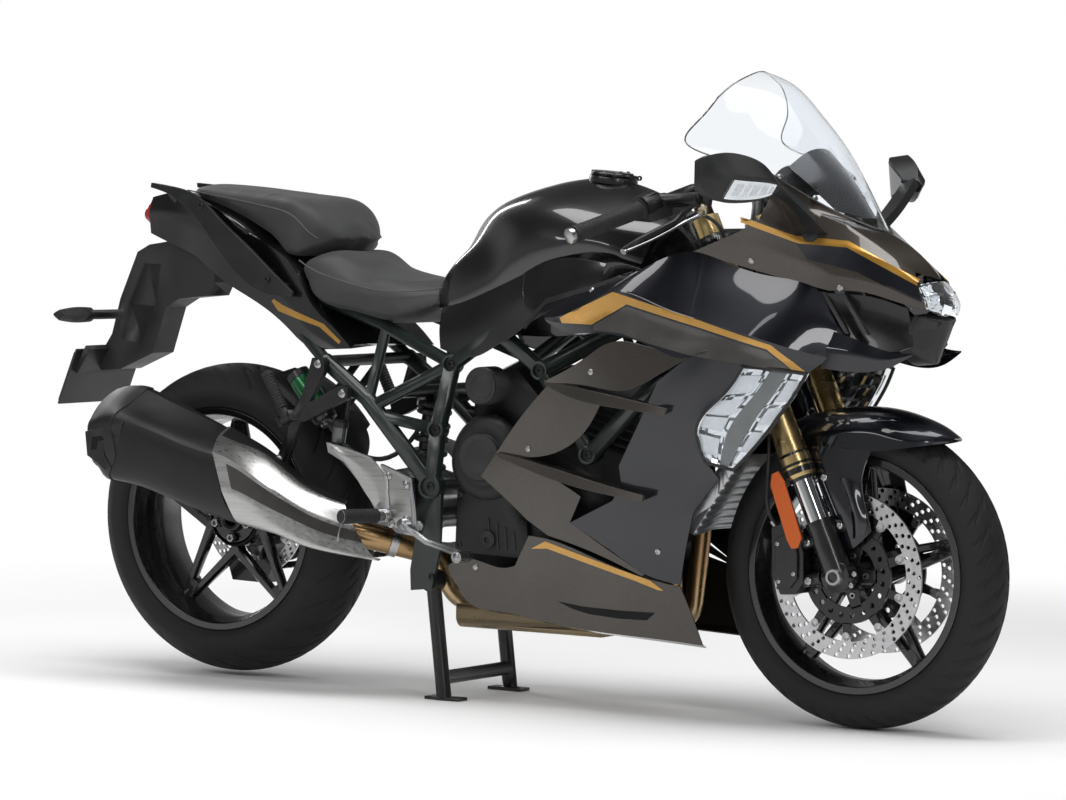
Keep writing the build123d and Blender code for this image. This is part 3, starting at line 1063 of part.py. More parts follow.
# each piece is cut to sit face to face on the neighbours named after it
SEATS = {
    "engine_covers": ("engine_block",),
    "fuel_tank": ("frame",),
    "rear_mudguard": ("frame",),
    "radiator": ("frame",),
    "front_side_panels": ("side_cowls", "radiator", "frame"),
    "upper_cowl": ("side_cowls",),
    "lower_cowl": ("front_side_panels",),
    "mirrors": ("upper_cowl", "windscreen", "side_cowls"),
    "front_fender": ("fork_lower", "fork_upper"),
    "headlamp": ("upper_cowl",),
    "windscreen": ("upper_cowl",),
    "instrument_cowl": ("headlamp", "upper_cowl", "windscreen"),
    "exhaust_headers": ("engine_block", "muffler"),
    "swingarm": ("frame",),
    "rear_shock": ("frame", "swingarm"),
    "rear_caliper": ("swingarm",),
    "rider_seat": ("frame", "fuel_tank"),
    "tail_cowl": ("frame", "rider_seat", "passenger_seat"),
    "passenger_seat": ("rider_seat",),
    "grab_rails": ("tail_cowl",),
    "front_calipers": ("fork_lower",),
    "handlebars": ("fork_upper",),
    "hand_grips": ("handlebars",),
    "plate_holder": ("tail_cowl", "tail_lamp", "number_plate"),
    "tail_lamp": ("tail_cowl",),
    "cornering_lamps": ("side_cowls", "front_side_panels"),
    "muffler_shield": ("exhaust_headers", "muffler"),
    "side_covers": ("fuel_tank", "side_cowls", "frame"),
    "louvre_panels": ("front_side_panels", "side_cowls", "lower_cowl", "frame"),
    "peg_brackets": ("frame", "muffler_shield"),
}


if __name__ == "__main__":
    os.makedirs("parts", exist_ok=True)
    for name, piece in build().items():
        export_step(piece, f"parts/{name}.step")
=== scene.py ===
"""Sport touring motorcycle: looks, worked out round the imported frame.

Points in the rows below are millimetres in the shared frame: X forward, Y to the rider's left,
Z up. Every shape is worked out as whole arrays and put into a mesh in metres.
"""
import json
import math

import bmesh
import bpy
import numpy as np
from bpy.props import FloatProperty, FloatVectorProperty, IntProperty, PointerProperty
from mathutils import Matrix, Vector

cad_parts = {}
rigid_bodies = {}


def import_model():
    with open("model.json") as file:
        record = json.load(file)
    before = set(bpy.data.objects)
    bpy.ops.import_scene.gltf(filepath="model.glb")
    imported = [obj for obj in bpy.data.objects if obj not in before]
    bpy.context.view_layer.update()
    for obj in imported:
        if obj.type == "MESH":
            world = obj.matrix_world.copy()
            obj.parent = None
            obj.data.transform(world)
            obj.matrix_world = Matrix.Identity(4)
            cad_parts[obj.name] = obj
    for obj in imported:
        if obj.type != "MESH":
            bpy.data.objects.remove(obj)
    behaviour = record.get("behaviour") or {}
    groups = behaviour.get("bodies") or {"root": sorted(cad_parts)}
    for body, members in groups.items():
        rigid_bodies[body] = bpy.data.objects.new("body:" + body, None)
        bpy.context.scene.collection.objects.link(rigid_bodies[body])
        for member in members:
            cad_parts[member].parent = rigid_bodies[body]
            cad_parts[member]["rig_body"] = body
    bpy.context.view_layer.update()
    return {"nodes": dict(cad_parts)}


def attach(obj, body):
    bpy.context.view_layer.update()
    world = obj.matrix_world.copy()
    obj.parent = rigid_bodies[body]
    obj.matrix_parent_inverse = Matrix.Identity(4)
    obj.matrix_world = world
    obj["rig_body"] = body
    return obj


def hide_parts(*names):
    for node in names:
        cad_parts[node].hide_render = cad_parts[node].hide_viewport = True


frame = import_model()

bl_info = {
    "name": "Sport touring motorcycle",
    "version": (1, 0, 0),
    "blender": (4, 5, 0),
    "location": "3D View > Sidebar > Motorcycle",
    "description": "Builds the surfaces, finishes and stage of a sport touring motorcycle",
    "category": "Add Mesh",
}

MM = 0.001
WALL = 3.0
RIGHT, LEFT = (0, -1, 0), (0, 1, 0)
BEVEL_ANGLE, CAD_ANGLE = 38, 32
LAID_ALONG, LAID_ACROSS, LAID_DEPTH = 24, 6, 0.6
FRONT_AXLE = np.array([787.5, 0.0, 300.0])
REAR_AXLE = np.array([-692.5, 0.0, 328.5])
RAKE = math.radians(24.7)
UP_FORK = np.array([-math.sin(RAKE), 0.0, math.cos(RAKE)])


# ------------------------------------------------------------------ settings
def colour(name, text, value):
    """A colour a maker may change."""
    return FloatVectorProperty(name=name, description=text, subtype="COLOR", size=3,
                               min=0.0, max=1.0, default=value)


def length(name, text, value, top=0.1):
    """A length a maker may change."""
    return FloatProperty(name=name, description=text, subtype="DISTANCE", unit="LENGTH",
                         min=0.0, max=top, default=value)


class PaintSettings(bpy.types.PropertyGroup):
    """Colours of the painted and plated pieces."""
    bronze: colour("Bronze grey", "Nose, middle panels, belly and tail", (0.034, 0.028, 0.022))
    blue_black: colour("Blue black", "Side cowls, front panels and fender", (0.0022, 0.0028, 0.0062))
    tank: colour("Tank black", "Tank and side covers", (0.0035, 0.0035, 0.0042))
    stripe: colour("Stripe gold", "Stripes on the cowls", (0.46, 0.235, 0.035))
    # painted highlight: the pale gold of the bright strips on the tank top
    painted_highlight: colour("Tank highlight", "Painted highlights along the tank top", (0.50, 0.38, 0.19))
    seat: colour("Seat cover", "Vinyl of both seats", (0.024, 0.0245, 0.026))
    frame_green: colour("Frame", "Trellis frame", (0.007, 0.0125, 0.0105))
    fork_gold: colour("Fork tubes", "Anodised outer tubes", (0.50, 0.37, 0.17))


class SizeSettings(bpy.types.PropertyGroup):
    """Sizes of the small details."""
    groove_depth: length("Groove depth", "How deep the tyre grooves are", 0.0035)
    groove_width: length("Groove width", "Half the width of a tyre groove", 0.0030)
    bolt_radius: length("Bolt radius", "Head of a panel bolt", 0.0060)
    stripe_height: length("Stripe height", "How far a stripe stands on its panel", 0.0005)
    edge_round: length("Edge rounding", "Rounding of moulded edges", 0.0009)
    disc_hole: length("Disc hole", "Radius of the holes in the front discs", 0.0042)
    tread_steps: IntProperty(name="Tread steps", description="Grid steps round a tyre",
                             default=720, min=120, max=900)
    swell_frames: IntProperty(name="Seat frames", description="Frames of the cushion simulation",
                              default=20, min=1, max=40)


# ------------------------------------------------------------------ shape arrays
def line(points, steps=6, corners=()):
    """Smooth line through the points: a natural cubic over the chord lengths, read at even
    steps between each two points. Corners split it into stretches."""
    points = np.asarray(points, float)
    if len(corners):
        stops = [0, *corners, len(points) - 1]
        parts = [line(points[a:b + 1], steps) for a, b in zip(stops, stops[1:])]
        return np.concatenate([parts[0], *[part[1:] for part in parts[1:]]])
    chord = np.maximum(np.linalg.norm(np.diff(points, axis=0), axis=1), 1e-6)
    count = len(points)
    bend = np.zeros_like(points)
    if count > 2:
        system = np.eye(count)
        inner = np.arange(1, count - 1)
        system[inner, inner - 1] = chord[:-1]
        system[inner, inner] = 2 * (chord[:-1] + chord[1:])
        system[inner, inner + 1] = chord[1:]
        bend[1:-1] = 6 * np.diff(np.diff(points, axis=0) / chord[:, None], axis=0)
        bend = np.linalg.solve(system, bend)
    share = np.arange((count - 1) * steps + 1) / steps
    low = np.minimum(share.astype(int), count - 2)
    h = chord[low][:, None]
    b = (share - low)[:, None] * h
    a = h - b
    return ((bend[low] * a ** 3 + bend[low + 1] * b ** 3) / (6 * h)
            + (points[low] / h - bend[low] * h / 6) * a
            + (points[low + 1] / h - bend[low + 1] * h / 6) * b)


def across(rows, steps, closed=False):
    """Rows in between: each point follows the cubic that its four nearest rows set."""
    count = len(rows)
    if count < 3 and not closed:
        share = np.linspace(0, 1, steps + 1)[:, None, None]
        return rows[0] * (1 - share) + rows[1] * share
    spans = count if closed else count - 1
    first = np.repeat(np.arange(spans), steps)
    t = np.tile(np.arange(steps) / steps, spans)
    if not closed:
        first, t = np.append(first, spans - 1), np.append(t, 1.0)
    t = t[:, None, None]

    def near(shift):
        place = first + shift
        return rows[place % count if closed else np.clip(place, 0, count - 1)]
    w, x, y, z = (near(shift) for shift in (-1, 0, 1, 2))
    return 0.5 * (2 * x + (y - w) * t + (2 * w - 5 * x + 4 * y - z) * t ** 2
                  + (3 * x - w - 3 * y + z) * t ** 3)


def net(rows, along=6, steps=5, corners=(), creases=(), closed=False):
    """Surface over guide rows: smooth along each row and across them, broken at the creases."""
    lines = np.array([line(row, along, corners) for row in rows])
    if closed:
        if not len(creases):
            return across(lines, steps, True)
        lines = np.concatenate([np.roll(lines, -creases[0], 0), lines[creases[0]:creases[0] + 1]])
        creases = [c - creases[0] for c in creases[1:]]
    stops = [0, *creases, len(lines) - 1]
    parts = [across(lines[a:b + 1], steps) for a, b in zip(stops, stops[1:])]
    grid = np.concatenate([parts[0], *[part[1:] for part in parts[1:]]])
    return grid[:-1] if closed else grid


def quads(rows, columns, wrap_rows=False, wrap_columns=False):
    """Corner numbers of the cells of a grid."""
    index = np.arange(rows * columns).reshape(rows, columns)
    if wrap_rows:
        index = np.vstack([index, index[:1]])
    if wrap_columns:
        index = np.hstack([index, index[:, :1]])
    cells = np.stack([index[:-1, :-1], index[:-1, 1:], index[1:, 1:], index[1:, :-1]], -1)
    return cells.reshape(-1, 4)


def normals(grid):
    """Unit normals of a grid, from the slopes along and across it."""
    slope_row, slope_column = np.gradient(grid, axis=0), np.gradient(grid, axis=1)
    normal = np.cross(slope_column, slope_row)
    size = np.linalg.norm(normal, axis=-1, keepdims=True)
    return normal / np.maximum(size, 1e-9)


def shape(points, faces, finish=0):
    """A shape: its points, its faces as corner numbers, and the finish they all take."""
    return {"points": np.asarray(points, float).reshape(-1, 3), "faces": list(map(list, faces)),
            "finish": finish}


def border(grid):
    """Edge of a grid, once round it."""
    return np.concatenate([grid[0], grid[1:, -1], grid[-1, -2::-1], grid[-2:0:-1, 0]])


def plate_between(top, low, finish=0):
    """Closed plate between two grids of the same size, the top one outermost."""
    if (normals(top).mean((0, 1)) @ (top - low).mean((0, 1))) < 0:
        top, low = top[::-1], low[::-1]
    rows, columns = top.shape[:2]
    outer = quads(rows, columns)
    rim = border(np.arange(rows * columns).reshape(rows, columns))
    after = np.roll(rim, -1)
    side = np.stack([after, rim, rim + rows * columns, after + rows * columns], -1)
    return shape(np.stack([top, low]), np.concatenate([outer, outer[:, ::-1] + rows * columns, side]),
                 finish)


def shell(grid, wall=WALL, outward=RIGHT, finish=0):
    """Closed plate: the grid, and its copy moved inward along the normals."""
    normal = normals(grid)
    if (normal.mean((0, 1)) @ np.asarray(outward, float)) < 0:
        grid, normal = grid[::-1], normal[::-1] * -1
    return plate_between(grid, grid - normal * wall, finish)


def lifted(grid, height, outward=RIGHT):
    """The grid moved along its normals, to the side that faces outward."""
    normal = normals(grid)
    sign = 1.0 if normal.mean((0, 1)) @ np.asarray(outward, float) > 0 else -1.0
    return grid + normal * height * sign


def tube_of(grid, finish=0):
    """Closed body: rows run lengthwise all round it, with a pole at each end."""
    rows, columns = grid.shape[:2]
    cells = quads(rows, columns, wrap_rows=True)
    ring = np.arange(rows) * columns
    after = np.roll(ring, -1)
    ends = grid.mean(0)[[0, -1]]
    first, last = rows * columns, rows * columns + 1
    caps = np.concatenate([np.stack([np.full(rows, first), ring, after], -1),
                           np.stack([np.full(rows, last), after + columns - 1, ring + columns - 1],
                                    -1)])
    return shape(np.concatenate([grid.reshape(-1, 3), ends]), [*cells.tolist(), *caps.tolist()], finish)


def swept(path, radius, sides=14, finish=0, squash=1.0):
    """Round bar or hose: circles square to the path, their radius given all along it."""
    path = np.asarray(path, float)
    radius = np.broadcast_to(radius, len(path)).astype(float)
    ahead = np.gradient(path, axis=0)
    ahead /= np.maximum(np.linalg.norm(ahead, axis=1, keepdims=True), 1e-9)
    guide = np.array([0.31, 0.48, 0.82])
    one = np.cross(ahead, guide)
    one /= np.linalg.norm(one, axis=1, keepdims=True)
    two = np.cross(ahead, one)
    angle = np.linspace(0, 2 * np.pi, sides, endpoint=False)[:, None, None]
    ring = np.cos(angle) * one + np.sin(angle) * two * squash
    return tube_of(path + ring * radius[:, None], finish)


def straight(start, end, radius, sides=16, finish=0):
    """Round bar between two points, its radius one number or one for each end."""
    path = np.linspace(np.asarray(start, float), np.asarray(end, float), 2)
    return swept(path, radius, sides, finish)


def turned(profile, origin, axis, steps):
    """Grid of a profile of (along, radius) carried round an axis: each point goes out along the
    axis and then square to it, on a circle of the given steps."""
    profile = np.asarray(profile, float)
    axis = np.asarray(axis, float) / np.linalg.norm(axis)
    side = np.cross(axis, [0.1, 0.2, 0.97])
    side /= np.linalg.norm(side)
    other = np.cross(axis, side)
    angle = np.linspace(0, 2 * np.pi, steps, endpoint=False)[:, None, None]
    out = np.cos(angle) * side + np.sin(angle) * other
    return np.asarray(origin, float) + profile[:, :1] * axis + out * profile[:, 1:]


def lathe(profile, origin, axis, steps=48, finish=0):
    """Turned body, with a pole at each end of its profile."""
    return tube_of(turned(profile, origin, axis, steps), finish)


def ring_of(profile, origin, axis, steps=64, finish=0):
    """Turned ring: a closed profile that never meets the axis."""
    return shape(turned(profile, origin, axis, steps), quads(steps, len(profile), True, True), finish)


def slab(outline, y_low, y_high, finish=0):
    """Flat plate: an outline in X and Z, carried between two Y positions."""
    outline = np.asarray(outline, float)
    count = len(outline)
    points = np.zeros((2, count, 3))
    points[:, :, [0, 2]] = outline
    points[0, :, 1], points[1, :, 1] = y_low, y_high
    ring = np.arange(count)
    after = np.roll(ring, -1)
    side = np.stack([ring, after, after + count, ring + count], -1).tolist()
    return shape(points, [ring[::-1].tolist(), (ring + count).tolist(), *side], finish)


def copies(made, places):
    """The shape repeated at each place, a 3 by 4 array of its turn and its move."""
    places = np.asarray(places, float)
    points = np.einsum("bij,nj->bni", places[:, :, :3], made["points"]) + places[:, None, :, 3]
    count = len(made["points"])
    faces = [[corner + count * number for corner in face]
             for number in range(len(places)) for face in made["faces"]]
    return shape(points, faces, made["finish"])


def aimed(points, axes):
    """Places whose third axis points along the given directions."""
    points, axes = np.atleast_2d(points).astype(float), np.atleast_2d(axes).astype(float)
    axes = np.broadcast_to(axes, points.shape)
    axes = axes / np.linalg.norm(axes, axis=1, keepdims=True)
    side = np.cross(axes, [0.13, 0.21, 0.97])
    side /= np.linalg.norm(side, axis=1, keepdims=True)
    other = np.cross(axes, side)
    return np.stack([side, other, axes, points], -1)


def spun(count, origin, start=0.0):
    """Places turned evenly about the Y axis through the origin."""
    angle = start + np.linspace(0, 2 * np.pi, count, endpoint=False)
    c, s, zero, one = np.cos(angle), np.sin(angle), np.zeros(count), np.ones(count)
    turn = np.stack([np.stack([c, zero, s], -1), np.stack([zero, one, zero], -1),
                     np.stack([-s, zero, c], -1)], 1)
    return np.concatenate([turn, np.broadcast_to(np.asarray(origin, float)[:, None], (count, 3, 1))], 2)


def bolts(spots, axes, radius=6.0, height=3.0, finish=0):
    """Button-head screws with a socket: one turned profile repeated at each spot."""
    head = lathe([(height * 0.45, 0.01), (height * 0.45, radius * 0.42), (height, radius * 0.46),
                  (height * 0.96, radius * 0.72), (height * 0.55, radius), (-1.5, radius)],
                 (0, 0, 0), (0, 0, 1), 18, finish)
    return copies(head, aimed(spots, axes))


def other_side(made):
    """The shape's mirror image over the centre plane."""
    return {"points": made["points"] * [1, -1, 1],
            "faces": [face[::-1] for face in made["faces"]], "finish": made["finish"]}


def both(shapes):
    """The shapes and their mirror images."""
    return [*shapes, *[other_side(made) for made in shapes]]


def moved(made, offset):
    """The shape at another place."""
    return {**made, "points": made["points"] + np.asarray(offset, float)}


def mirrored(rows):
    """The rows on the other side of the centre plane."""
    return [[(x, -y, z) for x, y, z in row] for row in rows]


def laid_on(grid, rows, height=0.5):
    """Thin plate over a panel: straight-edged rows of (x, z); each point takes its y and its
    facing from the panel's triangle that holds it, by its three area shares."""
    flat = net([[(x, 0, z) for x, z in row] for row in rows], LAID_ALONG, LAID_ACROSS,
               range(1, len(rows[0]) - 1))
    spots = flat.reshape(-1, 3)[:, [0, 2]]
    cells = quads(*grid.shape[:2])
    corners = np.concatenate([cells[:, :3], cells[:, [0, 2, 3]]])
    panel, facing = grid.reshape(-1, 3)[corners], normals(grid).reshape(-1, 3)[corners]
    first, second, third = (panel[:, number][:, [0, 2]] for number in range(3))
    edge, other = second - first, third - first
    area = edge[:, 0] * other[:, 1] - edge[:, 1] * other[:, 0]
    area = np.where(np.abs(area) < 1e-6, 1e-6, area)
    offset = spots[:, None] - first[None]
    one = (offset[..., 0] * other[:, 1] - offset[..., 1] * other[:, 0]) / area
    two = (edge[:, 0] * offset[..., 1] - edge[:, 1] * offset[..., 0]) / area
    share = np.stack([1 - one - two, one, two], -1)
    level = (share * panel[None, :, :, 1]).sum(-1)
    miss = np.maximum(-share.min(-1), 0) * np.sqrt(np.abs(area))
    chosen = np.argmin(np.where(miss < 1e-3, level - 1e5, miss * 100), axis=1)
    pick = np.arange(len(spots))
    normal = np.einsum("qk,qki->qi", share[pick, chosen], facing[chosen])
    normal /= np.linalg.norm(normal, axis=1, keepdims=True)
    normal *= -np.sign(normal[:, 1:2] + 1e-9)
    base = np.stack([spots[:, 0], level[pick, chosen], spots[:, 1]], -1)
    return plate_between((base + normal * height).reshape(flat.shape),
                         (base - normal * LAID_DEPTH).reshape(flat.shape))


# ------------------------------------------------------------------ pieces
def volume(made):
    """Signed volume of a closed shape: a sixth of the triple products of its faces' fans."""
    sides = np.array([len(face) for face in made["faces"]])
    total = 0.0
    for count in np.unique(sides):
        corners = made["points"][np.array([face for face in made["faces"] if len(face) == count])]
        fans = np.cross(corners[:, 1:-1], corners[:, 2:])
        total += (corners[:, :1] * fans).sum() / 6
    return total


def piece(name, shapes, slot, finishes=(), replaces=(), bevel=0.0, angle=38.0, body="root"):
    """One object from its shapes, smooth but for edges sharper than the angle. Its finishes are
    the named ones, or else its slot's."""
    points, faces, finish, count = [], [], [], 0
    for made in shapes:
        points.append(made["points"])
        step = -1 if volume(made) < 0 else 1
        faces.extend([[corner + count for corner in face][::step] for face in made["faces"]])
        finish.extend([made["finish"]] * len(made["faces"]))
        count += len(made["points"])
    mesh = bpy.data.meshes.new(name)
    mesh.from_pydata((np.concatenate(points) * MM).tolist(), [], faces)
    mesh.polygons.foreach_set("material_index", finish)
    mesh.shade_smooth()
    mesh.set_sharp_from_angle(angle=math.radians(angle))
    made = bpy.data.objects.new(name, mesh)
    bpy.context.scene.collection.objects.link(made)
    for material in finishes or (slot,):
        mesh.materials.append(FINISH[material])
    if bevel:
        edge = made.modifiers.new("rounded edges", "BEVEL")
        edge.width = bevel
        edge.segments = 2
        edge.limit_method = "ANGLE"
        edge.angle_limit = math.radians(BEVEL_ANGLE)
        edge.harden_normals = True
    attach(made, body)
    if replaces:
        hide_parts(*replaces)
    return made


def dress(node, slot, finish=None):
    """A merged, smoothly shaded copy of a CAD node that stands for it, in the named finish or
    else its slot's."""
    source = frame["nodes"][node]
    work = bmesh.new()
    work.from_mesh(source.data)
    bmesh.ops.remove_doubles(work, verts=work.verts, dist=2e-5)
    mesh = bpy.data.meshes.new(node + "_finished")
    work.to_mesh(mesh)
    work.free()
    mesh.shade_smooth()
    mesh.set_sharp_from_angle(angle=math.radians(CAD_ANGLE))
    mesh.materials.clear()
    mesh.materials.append(FINISH[finish or slot])
    made = bpy.data.objects.new(node + "_finished", mesh)
    bpy.context.scene.collection.objects.link(made)
    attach(made, source["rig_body"])
    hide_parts(node)
    return made


# ------------------------------------------------------------------ finishes
def add(tree, kind, feeds=None, **values):
    """A new shader node: what feeds its sockets, and the values of the others, an underscore in
    a socket's name standing for a space."""
    made = tree.nodes.new("ShaderNode" + kind)
    for place, value in values.items():
        made.inputs[place.replace("_", " ")].default_value = value
    for place, source in (feeds or {}).items():
        tree.links.new(source, made.inputs[place])
    return made


def combine(tree, operation, one, two, kind="Math"):
    """Result of a math node on two sources."""
    made = add(tree, kind, {0: one, 1: two})
    made.operation = operation
    return made.outputs["Value"]


def surface(name, base, second=None, blend_scale=6.0, stretch=(1, 1, 1), rough=(0.4, 0.5),
            metallic=0.0, coat=0.0, coat_rough=0.05, flake=0.0, bump=0.0, bump_scale=400.0,
            cells=False, specular=0.5, sheen=0.0, fine=None):
    """A finish on object coordinates: two near colours blended by a broad noise, flakes or wear
    by a fine one, roughness between two values, and a fine grain or cells for the bump."""
    made = bpy.data.materials.new(name)
    made.use_nodes = True
    tree = made.node_tree
    shader = tree.nodes["Principled BSDF"]
    place = add(tree, "TexCoord").outputs["Object"]
    turn = add(tree, "Mapping", {"Vector": place}, Scale=stretch)
    broad = add(tree, "TexNoise", {"Vector": turn.outputs["Vector"]}, Scale=blend_scale, Detail=5.0)
    second = second or tuple(min(1.0, value * 1.35 + 0.001) for value in base)
    ramp = add(tree, "ValToRGB", {"Fac": broad.outputs["Fac"]})
    for stop, spot, tone in zip(ramp.color_ramp.elements, (0.32, 0.70), (base, second)):
        stop.position, stop.color = spot, (*tone, 1)
    shade = ramp.outputs["Color"]
    if flake:
        specks = add(tree, "TexNoise", {"Vector": place}, Scale=1400.0, Detail=1.0)
        spread = add(tree, "MapRange", {"Value": specks.outputs["Fac"]}, From_Min=0.42, From_Max=0.72,
                     To_Min=1.0 - flake * 0.45, To_Max=1.0 + flake)
        lift = add(tree, "VectorMath", {0: shade})
        lift.operation = "SCALE"
        tree.links.new(spread.outputs["Result"], lift.inputs["Scale"])
        shade = lift.outputs["Vector"]
    tree.links.new(shade, shader.inputs["Base Color"])
    polish = add(tree, "MapRange", {"Value": broad.outputs["Fac"]}, From_Min=0.3, From_Max=0.7,
                 To_Min=rough[0], To_Max=rough[1])
    tree.links.new(polish.outputs["Result"], shader.inputs["Roughness"])
    if bump:
        spread = add(tree, "Mapping", {"Vector": place},
                     Scale=fine).outputs["Vector"] if fine else place
        grain = add(tree, "TexVoronoi" if cells else "TexNoise", {"Vector": spread}, Scale=bump_scale)
        relief = add(tree, "Bump", {"Height": grain.outputs["Distance" if cells else "Fac"]},
                     Strength=bump, Distance=0.0006)
        tree.links.new(relief.outputs["Normal"], shader.inputs["Normal"])
    shader.inputs["Metallic"].default_value = metallic
    shader.inputs["Coat Weight"].default_value = coat
    shader.inputs["Coat Roughness"].default_value = coat_rough
    shader.inputs["Specular IOR Level"].default_value = specular
    shader.inputs["Sheen Weight"].default_value = sheen
    made.diffuse_color = (*base, 1)
    return made


def clear(name, tint, rough=(0.0, 0.02), through=1.0, ior=1.45, ribs=0.0):
    """Clear moulding: tinted glass with a faint moulding ripple, or fine lens ribs."""
    made = surface(name, tint, tint, 9.0, rough=rough, bump=0.02 + ribs,
                   bump_scale=240.0 if ribs else 60.0, fine=(1, 1, 6) if ribs else None)
    shader = made.node_tree.nodes["Principled BSDF"]
    shader.inputs["Transmission Weight"].default_value = through
    shader.inputs["IOR"].default_value = ior
    return made


def of_kind(tree, kind):
    """The first node of a kind in a tree."""
    return next(made for made in tree.nodes if made.type == kind)


HEAT_TONES = ((0.0, (0.40, 0.33, 0.22)), (0.3, (0.42, 0.28, 0.14)), (0.6, (0.30, 0.17, 0.09)),
              (0.85, (0.16, 0.11, 0.12)), (1.0, (0.09, 0.09, 0.12)))


def heated(name):
    """Header tubes: titanium straw, bronze and a little blue, by height and a soft noise."""
    made = surface(name, (0.30, 0.21, 0.12), (0.36, 0.25, 0.14), 9.0, rough=(0.22, 0.36), metallic=1.0,
                   bump=0.05, bump_scale=220.0)
    tree = made.node_tree
    parts = add(tree, "SeparateXYZ", {"Vector": of_kind(tree, "TEX_COORD").outputs["Object"]})
    soft = of_kind(tree, "TEX_NOISE").outputs["Fac"]
    shifted = add(tree, "Math", {0: soft, 2: parts.outputs["Z"]})
    shifted.operation = "MULTIPLY_ADD"
    shifted.inputs[1].default_value = 0.16
    scale = add(tree, "MapRange", {"Value": shifted.outputs["Value"]}, From_Min=0.18, From_Max=0.72)
    ramp = add(tree, "ValToRGB", {"Fac": scale.outputs["Result"]})
    while len(ramp.color_ramp.elements) < len(HEAT_TONES):
        ramp.color_ramp.elements.new(0.5)
    for stop, (spot, tone) in zip(ramp.color_ramp.elements, HEAT_TONES):
        stop.position, stop.color = spot, (*tone, 1)
    tree.links.new(ramp.outputs["Color"], tree.nodes["Principled BSDF"].inputs["Base Color"])
    return made


FINISH = {}


